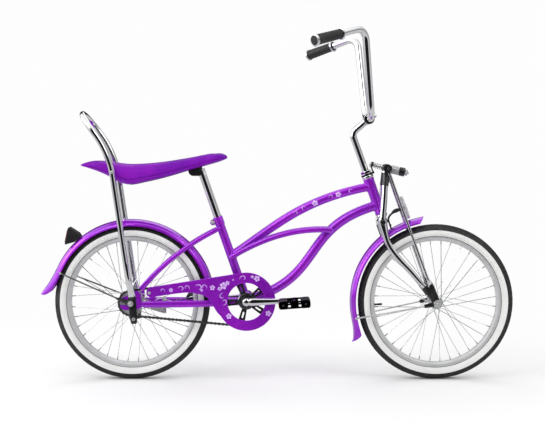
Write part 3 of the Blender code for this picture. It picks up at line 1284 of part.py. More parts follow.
# columns: place along the bolt, radius
BOLT_ROWS = [(head_face - 0.004, 0.0070), (head_face, 0.0070), (head_face + STEP, SPRING_BOLT),
             (COLLAR_START, SPRING_BOLT), (COLLAR_START + STEP, COLLAR_RADIUS), (NUT_START, COLLAR_RADIUS),
             (NUT_START + STEP, 0.0100), (NUT_START + 0.009, 0.0100), (NUT_START + 0.009 + STEP, SPRING_BOLT),
             (BOLT_END, SPRING_BOLT)]
bolt_course = [Vector((place, 0, 0)) for place, _ in BOLT_ROWS]
piece("spring_bolt", swept(bolt_course, [radius for _, radius in BOLT_ROWS]), STEEL, spring_axis)


def coil(start, end, radius, wire, turns):
    """An open coil around the spring bolt."""
    steps = turns * 8
    path = []
    for k in range(steps + 1):
        angle = 2 * math.pi * k / 8
        place = start + wire + (end - start - 2 * wire) * k / steps
        path.append(Vector((place, radius * math.cos(angle), radius * math.sin(angle))))
    return swept(path, wire, 5, Vector((1, 0, 0)))


rear_spring_start = LUG_BACK + LUG_THICKNESS + SEATED
front_spring_end = COLLAR_START - SEATED
yoke_face = YOKE_HALF_LENGTH + SEATED
piece("rear_spring", coil(rear_spring_start, -yoke_face, 0.0082, 0.0017, 5), CHROME, spring_axis)
piece("front_spring", coil(yoke_face, front_spring_end, 0.0118, 0.0026, 4), CHROME, spring_axis)


def beside_bolt(along, rise):
    """A point by the spring bolt, as (forward, above) in the steering frame."""
    return (YOKE_FORWARD + along * math.cos(SPRING_TILT) - rise * math.sin(SPRING_TILT),
            YOKE_RISE + along * math.sin(SPRING_TILT) + rise * math.cos(SPRING_TILT))


lug_front = LUG_BACK + LUG_THICKNESS
bracket_outline = [(-0.0190, UPPER_RACE), (0.0250, UPPER_RACE), beside_bolt(lug_front, -0.0100),
                   beside_bolt(lug_front, 0.0100), beside_bolt(LUG_BACK, 0.0100), beside_bolt(LUG_BACK, -0.0070),
                   (0.0195, UPPER_RACE + PLATE_THICKNESS), (-0.0190, UPPER_RACE + PLATE_THICKNESS)]
spring_bracket = piece("spring_bracket", plate(bracket_outline, -0.0150, 0.0150), CHROME, steering)
room_profile = [(steerer_outer + SEATED, UPPER_RACE - 0.01), (steerer_outer + SEATED, STEERER_TOP + 0.01)]
steerer_room = tool("steerer_room", turned(room_profile, TUBE_SIDES, "Z"), steering)
cut(spring_bracket, steerer_room, spring_bore)
nut_start = UPPER_RACE + PLATE_THICKNESS + SEATED
NUT_RADIUS_ABOVE = 0.0165
cup("headset_nut", "Z", nut_start, nut_start + NUT_RISE, steerer_outer + SEATED, NUT_RADIUS_ABOVE, steering,
    sides=TUBE_SIDES)


# Front axle, fender stays, fender mount and reflector

axle("front_axle", front_nut, steering, (FORK_OFFSET, 0, 0))
for label, side in SIDES:
    stay = fender_stay("front_fender_stay_" + label, FRONT_FENDER_SKIRT, FRONT_STAY_ANGLE, front_eyelet, side,
                       steering, (FORK_OFFSET, 0, 0), HEAD_LEAN)
    cut(stay, front_bore)

crown_room = tool("crown_room", turned([(CROWN_RADIUS + SEATED, -0.06), (CROWN_RADIUS + SEATED, 0.06)],
                                       HUB_SIDES), steering, (CROWN_BACK, 0, CROWN_RISE))
front_fender_room = tool("front_fender_room", turned([(FRONT_FENDER_CROWN + SEATED, -0.03),
                                                      (FRONT_FENDER_CROWN + SEATED, 0.03)], 96), steering,
                         (FORK_OFFSET, 0, 0), HEAD_LEAN)
MOUNT_SPAN = (-0.0270, -0.0150)
mount_low = FRONT_FENDER_CROWN - 0.0210
mount_high = CROWN_RISE - 0.006
mount_back, mount_front = MOUNT_SPAN
mount_shape = plate([(mount_back, mount_low), (mount_front, mount_low), (mount_front, mount_high),
                     (mount_back, mount_high)], -0.0090, 0.0090)
fender_mount = piece("front_fender_mount", mount_shape, CHROME, steering)
cut(fender_mount, front_fender_room, crown_room)

# columns: forward of the steering axis, above the fork's crown
REFLECTOR_HOOK = [(0.0148, -0.0360), (0.0158, -0.0090), (0.0175, 0.0), (0.0235, 0.0070), (0.0340, 0.0125),
                  (0.0485, 0.0182)]
REFLECTOR_MIDDLE = (0.0800, CROWN_RISE + 0.0165)
REFLECTOR_STEM = 0.0060
REFLECTOR_RADIUS = 0.0385
REFLECTOR_THICKNESS = 0.0090
hook = [Vector((forward, 0, CROWN_RISE + rise)) for forward, rise in REFLECTOR_HOOK]
hook_bar = tool("reflector_hook", swept(hook, [(0.0065, 0.0028)] * len(hook), 8), steering)
back_face = REFLECTOR_MIDDLE[0] - REFLECTOR_THICKNESS / 2
reflector = swept([Vector((place, 0, REFLECTOR_MIDDLE[1])) for place in
                   (back_face, back_face + 0.002, back_face + REFLECTOR_THICKNESS)],
                  [REFLECTOR_RADIUS - 0.003, REFLECTOR_RADIUS, REFLECTOR_RADIUS], 20)
front_reflector = piece("front_reflector", reflector, BLACK, steering)
reflector_stem = swept([hook[-2].lerp(hook[-1], 0.4), Vector((back_face + 0.003, 0, REFLECTOR_MIDDLE[1]))],
                       REFLECTOR_STEM, 8)
fuse(front_reflector, tool("reflector_stem", reflector_stem, steering), hook_bar)
cut(front_reflector, front_fender_room)


# Stem, handlebar and grips

clamp_forward = STEM_REACH * math.cos(STEM_LIFT)
clamp_rise = STEM_RISE + STEM_REACH * math.sin(STEM_LIFT)
stem_corners = [Vector((0, 0, HEAD_TOP - QUILL_LENGTH)), Vector((0, 0, STEM_RISE)),
                Vector((clamp_forward, 0, clamp_rise))]
stem = piece("stem", swept(bent(stem_corners, [0.016], 5), BAR_DIAMETER / 2), CHROME, steering)
bar_axis = carrier("bar_axis", steering, (clamp_forward, 0, clamp_rise), HEAD_LEAN)
STEM_CLAMP_RADIUS = 0.0180
STEM_CLAMP_HALF = 0.0240
stem_clamp = turned([(STEM_CLAMP_RADIUS, -STEM_CLAMP_HALF), (STEM_CLAMP_RADIUS, STEM_CLAMP_HALF)], TUBE_SIDES)
fuse(stem, tool("stem_clamp", stem_clamp, bar_axis))
bar_room = (BAR_DIAMETER / 2 + SEATED) / math.cos(math.pi / TUBE_SIDES)
cut(stem, tool("stem_bore", turned([(bar_room, -0.05), (bar_room, 0.05)], TUBE_SIDES), bar_axis))

# columns: forward of, beside and above the stem's clamp
BAR_CORNERS = [(0.0000, BAR_HALF_WIDTH * 0.381, 0.000), (-0.0260, BAR_HALF_WIDTH * 0.581, 0.280),
               (-0.1860, BAR_HALF_WIDTH, 0.229)]
BAR_BENDS = [0.045, 0.042]
left_corners = [Vector(corner) for corner in BAR_CORNERS]
bar_corners = [mirrored(corner, -1) for corner in reversed(left_corners)] + left_corners
bar_course = bent(bar_corners, BAR_BENDS[::-1] + BAR_BENDS, 5)
bar_start = Vector((0, 0, 1))
piece("handlebar", swept(bar_course, BAR_DIAMETER / 2, TUBE_SIDES, bar_start), CHROME, bar_axis)
grip_along = (left_corners[2] - left_corners[1]).normalized()
GRIP_FLANGE = 0.0190
# columns: place along the grip, radius
GRIP_ROWS = [(0.0, GRIP_FLANGE), (0.004, GRIP_FLANGE), (0.007, GRIP_DIAMETER / 2 - 0.0015),
             (GRIP_LENGTH - 0.009, GRIP_DIAMETER / 2), (GRIP_LENGTH - 0.006, GRIP_FLANGE),
             (GRIP_LENGTH - 0.001, GRIP_FLANGE - 0.001), (GRIP_LENGTH, GRIP_FLANGE - 0.004)]
GRIP_END = 0.0030               # rubber past the bar's end
for label, side in SIDES:
    along = mirrored(grip_along, side)
    tip = mirrored(left_corners[2], side)
    start = tip + along * (GRIP_END - GRIP_LENGTH)
    grip = piece("grip_" + label, swept([start + along * place for place, _ in GRIP_ROWS],
                                        [radius for _, radius in GRIP_ROWS], TUBE_SIDES, UP), BLACK, bar_axis)
    room = swept([start - along * 0.02, tip + along * SEATED], bar_room, TUBE_SIDES, UP)
    cut(grip, tool("grip_bore_" + label, room, bar_axis))
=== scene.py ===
"""Looks for a chopper bicycle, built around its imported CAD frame.

Metres in the row frame: the rider's place on the seat is the origin, +X is forward, +Y the rider's left.
"""

import math

import bmesh
import bpy
from mathutils import Matrix, Vector
from mathutils.geometry import tessellate_polygon


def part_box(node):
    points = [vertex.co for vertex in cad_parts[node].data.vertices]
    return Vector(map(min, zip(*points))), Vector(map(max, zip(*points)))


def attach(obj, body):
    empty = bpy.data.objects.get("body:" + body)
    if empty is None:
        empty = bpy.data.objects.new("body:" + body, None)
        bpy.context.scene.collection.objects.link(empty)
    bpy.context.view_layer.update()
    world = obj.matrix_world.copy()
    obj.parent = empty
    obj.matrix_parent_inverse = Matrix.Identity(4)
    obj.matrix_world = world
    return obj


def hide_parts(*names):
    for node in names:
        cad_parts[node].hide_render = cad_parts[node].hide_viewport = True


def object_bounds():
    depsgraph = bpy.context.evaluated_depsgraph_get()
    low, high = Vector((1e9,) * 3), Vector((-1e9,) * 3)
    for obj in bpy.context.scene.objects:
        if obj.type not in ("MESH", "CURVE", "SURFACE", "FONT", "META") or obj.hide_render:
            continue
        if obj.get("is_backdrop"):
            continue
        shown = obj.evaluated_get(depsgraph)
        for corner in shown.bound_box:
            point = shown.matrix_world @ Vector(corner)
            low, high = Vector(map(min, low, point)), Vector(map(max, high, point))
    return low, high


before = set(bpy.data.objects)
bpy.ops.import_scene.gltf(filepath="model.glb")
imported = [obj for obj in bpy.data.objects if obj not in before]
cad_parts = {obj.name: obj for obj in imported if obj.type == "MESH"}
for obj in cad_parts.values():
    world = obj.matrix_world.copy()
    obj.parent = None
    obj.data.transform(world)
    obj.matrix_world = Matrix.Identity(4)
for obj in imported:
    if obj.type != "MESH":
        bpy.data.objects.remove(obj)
cad_low, cad_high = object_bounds()


# Photographer's table: a white sweep under soft white light. What mirrors see of the studio is a white
# ceiling, grey walls, a bright window past the rear wheel, and dark flags on both sides of the bicycle,
# which draw the dark lines down the chrome.

FLOOR_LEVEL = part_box("rear_tyre")[0].z
CAMERA_PLACE = Vector((0.304, -4.15, 0.049))
CAMERA_DROP = math.radians(3.0)
LENS = 83.9
STUDIO_WHITE = (0.985, 0.985, 0.985, 1)
PAPER_WHITE = (0.93, 0.93, 0.93, 1)
FLOOR_FLAG_EDGE = (0.45, 0.85)
FLAG_GREY = (0.01, 0.01, 0.012, 1)
SIDE_FLAG_GREY = (0.22, 0.22, 0.23, 1)
WALL_GREY = (0.58, 0.58, 0.59, 1)
WINDOW_LIGHT = (1.45, 1.45, 1.48, 1)
SKY_STRENGTH = 0.86


def node_tree(owner):
    """A cleared shader tree and its output's surface."""
    owner.use_nodes = True
    tree = owner.node_tree
    tree.nodes.clear()
    kind = "World" if isinstance(owner, bpy.types.World) else "Material"
    return tree, tree.nodes.new("ShaderNodeOutput" + kind).inputs["Surface"]


def node(tree, kind, inputs=(), output=0, **settings):
    """A new node's output. Its inputs, by name or number, take values or the outputs of other nodes."""
    made = tree.nodes.new(kind)
    for name, value in settings.items():
        setattr(made, name, value)
    for slot, value in dict(inputs).items():
        if isinstance(value, bpy.types.NodeSocket):
            tree.links.new(value, made.inputs[slot])
        else:
            made.inputs[slot].default_value = value
    return made.outputs[output]


def math_step(tree, operation, *values):
    return node(tree, "ShaderNodeMath", enumerate(values), operation=operation)


def smooth_range(tree, value, low, high, start=0.0, end=1.0):
    """value eased from start at low to end at high."""
    names = ("Value", "From Min", "From Max", "To Min", "To Max")
    return node(tree, "ShaderNodeMapRange", zip(names, (value, low, high, start, end)),
        interpolation_type="SMOOTHSTEP")


def mix_colour(tree, share, first, second):
    """Two colours, or colour sockets, mixed by a share."""
    return node(tree, "ShaderNodeMix", {0: share, 6: first, 7: second}, 2, data_type="RGBA")


def studio_sky():
    sky = bpy.data.worlds.new("studio")
    tree, output = node_tree(sky)
    direction = node(tree, "ShaderNodeTexCoord", output="Generated")
    x, y, z = node(tree, "ShaderNodeSeparateXYZ", {0: direction}).node.outputs
    beside = math_step(tree, "MULTIPLY_ADD", z, 0.25, math_step(tree, "ABSOLUTE", y))
    mirrored = WALL_GREY
    for place, low, high, colour in ((x, 0.88, 0.98, SIDE_FLAG_GREY), (z, 0.35, 0.75, STUDIO_WHITE), (x, -0.4,
            -0.72, WINDOW_LIGHT), (beside, 0.74, 0.88, FLAG_GREY)):
        mirrored = mix_colour(tree, smooth_range(tree, place, low, high), mirrored, colour)
    rays = node(tree, "ShaderNodeLightPath").node.outputs
    seen = math_step(tree, "MAXIMUM", rays["Is Camera Ray"], rays["Is Glossy Ray"])
    seen = math_step(tree, "MAXIMUM", seen, rays["Is Transmission Ray"])
    light = node(tree, "ShaderNodeBackground", {"Color": mix_colour(tree, rays["Is Glossy Ray"], STUDIO_WHITE,
        mirrored), "Strength": smooth_range(tree, seen, 0, 1, SKY_STRENGTH, 1.0)})
    tree.links.new(light, output)
    return sky


def floor_finish():
    """Matt white paper that keeps the shadow near the wheels and fades into the backdrop."""
    paper = bpy.data.materials.new("white_paper")
    tree, output = node_tree(paper)
    own_place = node(tree, "ShaderNodeTexCoord", output="Object")
    place = node(tree, "ShaderNodeMapping", {0: own_place, "Location": (-0.34, 0, 0)})
    x, y, _ = node(tree, "ShaderNodeSeparateXYZ", {0: place}).node.outputs
    beside = math_step(tree, "MULTIPLY", math_step(tree, "ABSOLUTE", x), -0.55)
    ahead = math_step(tree, "MULTIPLY_ADD", y, -1.0, beside)
    # To glossy rays the paper shows a painted reflection: grey wall, turning to a dark flag on the floor
    # between the bicycle and the camera.
    painted_flag_reflection = mix_colour(tree, smooth_range(tree, ahead, *FLOOR_FLAG_EDGE), WALL_GREY, FLAG_GREY)
    mirrored = node(tree, "ShaderNodeLightPath", output="Is Glossy Ray")
    away = node(tree, "ShaderNodeVectorMath", {0: place}, "Value", operation="LENGTH")
    blend = node(tree, "ShaderNodeMixShader", {0: smooth_range(tree, away, 0.85, 1.9), 1: node(tree,
        "ShaderNodeBsdfDiffuse", {"Color": mix_colour(tree, mirrored, PAPER_WHITE, painted_flag_reflection)}), 2: node(tree,
        "ShaderNodeEmission", {"Color": mix_colour(tree, mirrored, STUDIO_WHITE, painted_flag_reflection)})})
    tree.links.new(blend, output)
    return paper


def linked(name, data):
    """A new object in the scene."""
    made = bpy.data.objects.new(name, data)
    bpy.context.scene.collection.objects.link(made)
    return made


bpy.context.scene.world = studio_sky()
bpy.context.scene.view_settings.view_transform = "Standard"
bpy.ops.mesh.primitive_plane_add(size=60, location=(0, 0, FLOOR_LEVEL))
table_top = bpy.context.object
table_top.name = "paper_floor"
table_top.data.materials.append(floor_finish())
table_top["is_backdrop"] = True

camera = linked("camera", bpy.data.cameras.new("camera"))
camera.data.lens = LENS
camera.location = CAMERA_PLACE
camera.rotation_euler = (math.pi / 2 - CAMERA_DROP, 0, 0)
bpy.context.scene.camera = camera

# columns: place, aim, size, power
SOFT_LAMPS = [((-1.4, -2.6, 2.4), (0.2, 0, -0.1), 2.0, 22), ((2.2, -2.0, 1.9), (0.4, 0, -0.1), 1.6, 13),
    ((0.4, 2.6, 2.2), (0.3, 0, -0.1), 2.4, 16), ((-2.7, -0.7, 1.1), (0.1, 0, -0.3), 1.5, 20)]
for number, (place, aim, size, power) in enumerate(SOFT_LAMPS):
    lamp = linked(f"soft_lamp_{number}", bpy.data.lights.new(f"soft_lamp_{number}", "AREA"))
    lamp.data.shape = "DISK"
    lamp.data.size = size
    lamp.data.energy = power
    lamp.location = place
    lamp.rotation_euler = (Vector(aim) - Vector(place)).to_track_quat("-Z", "Y").to_euler()


# Head tube: a seamless steel barrel, pressed with a headset cup at each end. It sets the paint for
# the whole frame: a deep violet base with fine flake under a thick clear coat.

VIOLET = (0.4, 0.004, 0.72, 1)
VIOLET_DEEP = (0.31, 0.003, 0.62, 1)
VIOLET_BRIGHT = (0.56, 0.09, 0.86, 1)
HEAD_LEAN = math.radians(20)
STEERING_UP = Vector((-math.sin(HEAD_LEAN), 0, math.cos(HEAD_LEAN)))
STEERING_FORWARD = Vector((math.cos(HEAD_LEAN), 0, math.sin(HEAD_LEAN)))
FORK_OFFSET = 0.07
REAR_AXLE = sum(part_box("rear_tyre"), Vector()) / 2
FRONT_AXLE = sum(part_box("front_tyre"), Vector()) / 2
STEERING_FOOT = FRONT_AXLE - STEERING_FORWARD * FORK_OFFSET
FORK_LENGTH = 0.3325
HEAD_LENGTH = 0.1215
HEAD_DIAMETER = 0.034
LEFT = Vector((0, 1, 0))
SIDES = (("right", -1), ("left", 1))


def steered(forward, across, rise):
    """A place in the steering frame, whose Z is the steering axis, as a place in the row frame."""
    return STEERING_FOOT + STEERING_FORWARD * forward + LEFT * across + STEERING_UP * rise


def noise_texture(tree, scale, detail=3.0):
    """Noise over the piece's own place."""
    own_place = node(tree, "ShaderNodeTexCoord", output="Object")
    return node(tree, "ShaderNodeTexNoise", {"Vector": own_place, "Scale": scale, "Detail": detail}, "Fac")


def cell_texture(tree, scale, output="Color"):
    own_place = node(tree, "ShaderNodeTexCoord", output="Object")
    return node(tree, "ShaderNodeTexVoronoi", {"Vector": own_place, "Scale": scale}, output)


def relief(tree, shader, height, strength, distance):
    bump = node(tree, "ShaderNodeBump", {"Height": height, "Strength": strength, "Distance": distance})
    tree.links.new(bump, shader.inputs["Normal"])


def coloured(tree, shader, share, first, second):
    """The shader's base colour, mixed from two by a share."""
    tree.links.new(mix_colour(tree, share, first, second), shader.inputs["Base Color"])


def uneven(tree, shader, scale, smooth, rough, detail=2):
    """Roughness that drifts between two values over patches of a scale."""
    patches = smooth_range(tree, noise_texture(tree, scale, detail), 0.3, 0.7, smooth, rough)
    tree.links.new(patches, shader.inputs["Roughness"])


def shaded(name, **settings):
    """A material with one Principled shader, its plain values set on its own sockets."""
    material = bpy.data.materials.new(name)
    tree, output = node_tree(material)
    values = {socket.replace("_", " "): value for socket, value in settings.items()}
    shader = node(tree, "ShaderNodeBsdfPrincipled", values)
    tree.links.new(shader, output)
    return material, tree, shader.node


def violet_enamel():
    material, tree, shader = shaded("violet_enamel", Metallic=0.48, Coat_Weight=0.9, Coat_Roughness=0.04,
        Coat_IOR=1.5)
    flake = node(tree, "ShaderNodeSeparateColor", {0: cell_texture(tree, 1500)})
    depth = smooth_range(tree, noise_texture(tree, 7, 2), 0.35, 0.65)
    base = mix_colour(tree, depth, VIOLET, VIOLET_DEEP)
    coloured(tree, shader, smooth_range(tree, flake, 0.7, 1.0, 0.0, 0.45), base, VIOLET_BRIGHT)
    uneven(tree, shader, 30, 0.26, 0.38, 3)
    relief(tree, shader, noise_texture(tree, 260, 1), 0.05, 0.0004)
    return material


def around(count):
    """Cosine and sine at even steps round a circle."""
    return [(math.cos(2 * math.pi * k / count), math.sin(2 * math.pi * k / count)) for k in range(count)]


def skin(rings, closed=False, finish_of=None):
    """Quads between rings of points; two ends are capped unless the rings close on themselves."""
    shape = bmesh.new()
    rings = [[shape.verts.new(point) for point in ring] for ring in rings]
    for index in range(len(rings) if closed else len(rings) - 1):
        near, far = rings[index], rings[(index + 1) % len(rings)]
        for k in range(len(near)):
            after = (k + 1) % len(near)
            face = shape.faces.new((near[k], near[after], far[after], far[k]))
            face.material_index = finish_of[index] if finish_of else 0
    if not closed:
        shape.faces.new(rings[0][::-1])
        shape.faces.new(rings[-1])
    return shape


def lathe(profile, sides, centre, axis=LEFT, ring=False, finish_of=None):
    """A profile of (radius, place along the axis) turned about a line. A ring's profile is a loop."""
    axis = axis.normalized()
    across = axis.orthogonal().normalized() if abs(axis.y) < 0.99 else Vector((1, 0, 0))
    over = axis.cross(across)
    spokes = [across * c + over * s for c, s in around(sides)]
    rings = [[centre + axis * place + spoke * radius for spoke in spokes] for radius, place in profile]
    return skin(rings, ring, finish_of)


def mesh_of(name, shape, crease):
    """A shape as a mesh with smooth faces, where edges sharper than crease are kept."""
    bmesh.ops.recalc_face_normals(shape, faces=shape.faces)
    mesh = bpy.data.meshes.new(name)
    shape.to_mesh(mesh)
    shape.free()
    mesh.shade_smooth()
    mesh.set_sharp_from_angle(angle=math.radians(crease))
    return mesh


def mount_piece(made, body, stands_for=()):
    """The piece rides on its body and stands for its CAD nodes."""
    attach(made, body)
    if stands_for:
        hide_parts(*stands_for)
    return made


def add_piece(name, shape, finishes, body, stands_for=(), crease=40, soften=0.0):
    """A mesh piece whose sharp edges may be softened by a small bevel."""
    mesh = mesh_of(name, shape, crease)
    for finish in finishes:
        mesh.materials.append(finish)
    made = linked(name, mesh)
    if soften:
        bevel = made.modifiers.new("softened", "BEVEL")
        bevel.width = soften
        bevel.segments = 2
        bevel.limit_method = "ANGLE"
        bevel.angle_limit = math.radians(crease)
    return mount_piece(made, body, stands_for)


ENAMEL = violet_enamel()
HEAD_TOP = FORK_LENGTH + HEAD_LENGTH
HEAD_RING = 0.0011              # turned ring at each end of the barrel
head_outer = HEAD_DIAMETER / 2
head_profile = [(head_outer - 0.0018, FORK_LENGTH), (head_outer + HEAD_RING * 0.6, FORK_LENGTH), (head_outer
    + HEAD_RING, FORK_LENGTH + 0.0012), (head_outer + HEAD_RING, FORK_LENGTH + 0.0062), (head_outer,
    FORK_LENGTH + 0.0084), (head_outer, HEAD_TOP - 0.0084), (head_outer + HEAD_RING, HEAD_TOP - 0.0062),
    (head_outer + HEAD_RING, HEAD_TOP - 0.0012), (head_outer + HEAD_RING * 0.6, HEAD_TOP), (head_outer
    - 0.0018, HEAD_TOP)]
add_piece("head_barrel", lathe(head_profile, 48, STEERING_FOOT, STEERING_UP, ring=True), [ENAMEL], "frame",
    ["head_tube"])


# Frame tubes: a curved top tube, an S-shaped down tube, twin slim tubes between them and the seat tube.
# Each is one bent steel tube, welded where it meets the next with a smooth painted fillet.

BRACKET = sum(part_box("bottom_bracket_shell"), Vector()) / 2
SEAT_TUBE_LEAN = math.radians(19.2)
SEAT_TUBE_UP = Vector((-math.sin(SEAT_TUBE_LEAN), 0, math.cos(SEAT_TUBE_LEAN)))
SEAT_TUBE_LENGTH = 0.289
SEAT_TUBE_DIAMETER = 0.0286
TOP_TUBE_DIAMETER = 0.0286
DOWN_TUBE_DIAMETER = 0.0318
MIDDLE_TUBE_DIAMETER = 0.0175
SHELL_DIAMETER = 0.057
SHELL_WIDTH = 0.068
SEATED = 0.0003
TUBE_SIDES = 32
FILLET = 0.0034                 # radius of a weld


def seat_tube_point(rise):
    return BRACKET + SEAT_TUBE_UP * rise


def slope(degrees):
    """Direction in the bicycle's plane, rising towards the front wheel."""
    return Vector((math.cos(math.radians(degrees)), 0, math.sin(math.radians(degrees))))


def curve(a, b, c, d, steps):
    """Points on a cubic curve that leaves a towards b and reaches d from c."""
    return [a * (1 - t) ** 3 + b * 3 * t * (1 - t) ** 2 + c * 3 * t * t * (1 - t) + d * t ** 3 for t in (k
        / steps for k in range(steps + 1))]


def between(start, leave, end, arrive, steps):
    """A curve from start to end; leave and arrive are (direction, share of the distance between them)."""
    span = (end - start).length
    return curve(start, start + leave[0] * leave[1] * span, end - arrive[0] * arrive[1] * span, end, steps)


def swept(path, sizes, sides=TUBE_SIDES, across=LEFT, finish_of=None):
    """A bar along a path. A size is a radius, or (half width across, half height)."""
    if not isinstance(sizes, list):
        sizes = [sizes] * len(path)
    rings = []
    last = len(path) - 1
    for index, point in enumerate(path):
        ahead = (path[min(index + 1, last)] - path[max(index - 1, 0)]).normalized()
        across = (across - ahead * across.dot(ahead)).normalized()
        over = ahead.cross(across)
        wide, high = sizes[index] if isinstance(sizes[index], tuple) else (sizes[index],) * 2
        rings.append([point + across * wide * c + over * high * s for c, s in around(sides)])
    return skin(rings, False, finish_of)


def joined(*shapes):
    """Several separate solids as one shape, each keeping its faces' finish."""
    whole = bmesh.new()
    for shape in shapes:
        mesh = bpy.data.meshes.new("part of a shape")
        shape.to_mesh(mesh)
        shape.free()
        whole.from_mesh(mesh)
        bpy.data.meshes.remove(mesh)
    return whole


def weld_fillet(foot, along, tube_radius, host_axis, host_radius, sides=40):
    """A weld where a round tube meets a round host: a bead that follows the line between them.
    foot is on the host's axis, along points out through the tube and host_axis runs along the host."""
    across = host_axis.cross(along).normalized()
    over = along.cross(across).normalized()
    host_axis = host_axis.normalized()
    path = []
    for c, s in around(sides):
        spot = (across * c + over * s) * tube_radius
        beside = spot - host_axis * spot.dot(host_axis)
        ray = along - host_axis * along.dot(host_axis)
        # distance along the tube at which this line leaves the host's round
        a, b, c = ray.dot(ray), 2 * beside.dot(ray), beside.dot(beside) - host_radius ** 2
        reach = (-b + math.sqrt(max(b * b - 4 * a * c, 0))) / (2 * a)
        path.append((foot + spot + along * reach, spot.normalized()))
    rings = []
    for index, (point, out) in enumerate(path):
        ahead = (path[(index + 1) % sides][0] - path[index - 1][0]).normalized()
        side = ahead.cross(out).normalized()
        bead = FILLET * 0.72 * (1 + 0.05 * math.sin(index * 2.4))
        rings.append([point + (out * c + side * s) * bead for c, s in around(8)])
    return skin(rings, True)


top_front = steered(0, 0, HEAD_TOP - 0.0265)
top_rear = seat_tube_point(0.153)
top_course = between(top_front, (-slope(10.5), 0.454), top_rear, (-slope(33.7), 0.344), 40)
down_front = steered(0, 0, FORK_LENGTH + 0.03)
down_course = between(down_front, (-slope(15.6), 0.509), BRACKET, (-slope(15.4), 0.516), 56)
add_piece("top_tube_bend", joined(swept(top_course, TOP_TUBE_DIAMETER / 2), weld_fillet(top_front,
    (top_course[3] - top_front).normalized(), TOP_TUBE_DIAMETER / 2, STEERING_UP, head_outer),
    weld_fillet(top_rear, (top_course[-4] - top_rear).normalized(), TOP_TUBE_DIAMETER / 2, SEAT_TUBE_UP,
    SEAT_TUBE_DIAMETER / 2)), [ENAMEL], "frame", ["top_tube"])
add_piece("down_tube_bend", joined(swept(down_course, DOWN_TUBE_DIAMETER / 2), weld_fillet(down_front,
    (down_course[3] - down_front).normalized(), DOWN_TUBE_DIAMETER / 2, STEERING_UP, head_outer)), [ENAMEL],
    "frame", ["down_tube"])

middle_rear = seat_tube_point(0.1505)
middle_front = down_course[16]
for label, side in SIDES:
    rear = middle_rear + LEFT * side * (SEAT_TUBE_DIAMETER + MIDDLE_TUBE_DIAMETER + 2 * SEATED) / 2
    front = middle_front + LEFT * side * (DOWN_TUBE_DIAMETER + MIDDLE_TUBE_DIAMETER + 2 * SEATED) / 2
    course = between(rear, (slope(31), 0.334), front, (slope(-3.7), 0.372), 36)
    nose = [0.005, 0.0042, 0.0022]
    course = ([rear - slope(31) * reach for reach in nose] + course + [front + slope(-3.7) * reach
        for reach in reversed(nose)])
    radius = MIDDLE_TUBE_DIAMETER / 2
    ends = [radius * 0.45, radius * 0.75, radius * 0.95]
    add_piece("middle_tube_bend_" + label, swept(course, ends + [radius] * 37 + ends[::-1], 28), [ENAMEL],
        "frame", ["middle_tube_" + label])

binder_middle = seat_tube_point(SEAT_TUBE_LENGTH - 0.014) + Vector((-0.019, 0, -0.005))
LUG_SLOT = 0.0009
lug_half = 0.011
lug = [swept([binder_middle + LEFT * side * LUG_SLOT, binder_middle + LEFT * side * lug_half], 0.0092, 28,
    Vector((0, 0, 1))) for _, side in SIDES]
seat_collar = lathe([(0.0131, SEAT_TUBE_LENGTH - 0.028), (0.0156, SEAT_TUBE_LENGTH - 0.028), (0.016,
    SEAT_TUBE_LENGTH - 0.026), (0.016, SEAT_TUBE_LENGTH - 0.002), (0.0155, SEAT_TUBE_LENGTH), (0.0131,
    SEAT_TUBE_LENGTH)], 40, BRACKET, SEAT_TUBE_UP, ring=True)
seat_stem = lathe([(0.0131, 0.02), (SEAT_TUBE_DIAMETER / 2, 0.02), (SEAT_TUBE_DIAMETER / 2, SEAT_TUBE_LENGTH
    - 0.001), (0.0131, SEAT_TUBE_LENGTH - 0.001)], 40, BRACKET, SEAT_TUBE_UP, ring=True)
add_piece("seat_tube_and_lug", joined(seat_stem, seat_collar, *lug, weld_fillet(BRACKET, SEAT_TUBE_UP,
    SEAT_TUBE_DIAMETER / 2, LEFT, SHELL_DIAMETER / 2)), [ENAMEL], "frame", ["seat_tube"])


# Rear triangle: bowed round seatstays and oval chainstays, pinched flat at the ends and welded to the
# plates that hold the axle. The bottom bracket shell carries two pressed bearing cups.

REAR_HUB_WIDTH = 0.11
DROPOUT_THICKNESS = 0.0048
DROPOUT_MIDDLE = REAR_HUB_WIDTH / 2 + SEATED + DROPOUT_THICKNESS / 2
SEATSTAY_DIAMETER = 0.016
CHAINSTAY_HALF = (0.0065, 0.01075)
STAY_END = (0.033, 0.046)
CHAINSTAY_END = (0.0345, -0.003)
stay_top = seat_tube_point(0.2525)
stay_foot = REAR_AXLE + Vector((STAY_END[0], 0, STAY_END[1]))
stay_span = (stay_top - stay_foot).length


def eased(rows, steps):
    """Rows of numbers passed through by a smooth curve, steps to each stretch."""
    made = []
    last = len(rows) - 1
    for index in range(last):
        a, b, c, d = (rows[max(index - 1, 0)], rows[index], rows[index + 1], rows[min(index + 2, last)])
        for k in range(steps):
            t = k / steps
            made.append([q + 0.5 * t * (r - p + t * (2 * p - 5 * q + 4 * r - s + t * (3 * (q - r) + s
                - p))) for p, q, r, s in zip(a, b, c, d)])
    return made + [list(rows[-1])]


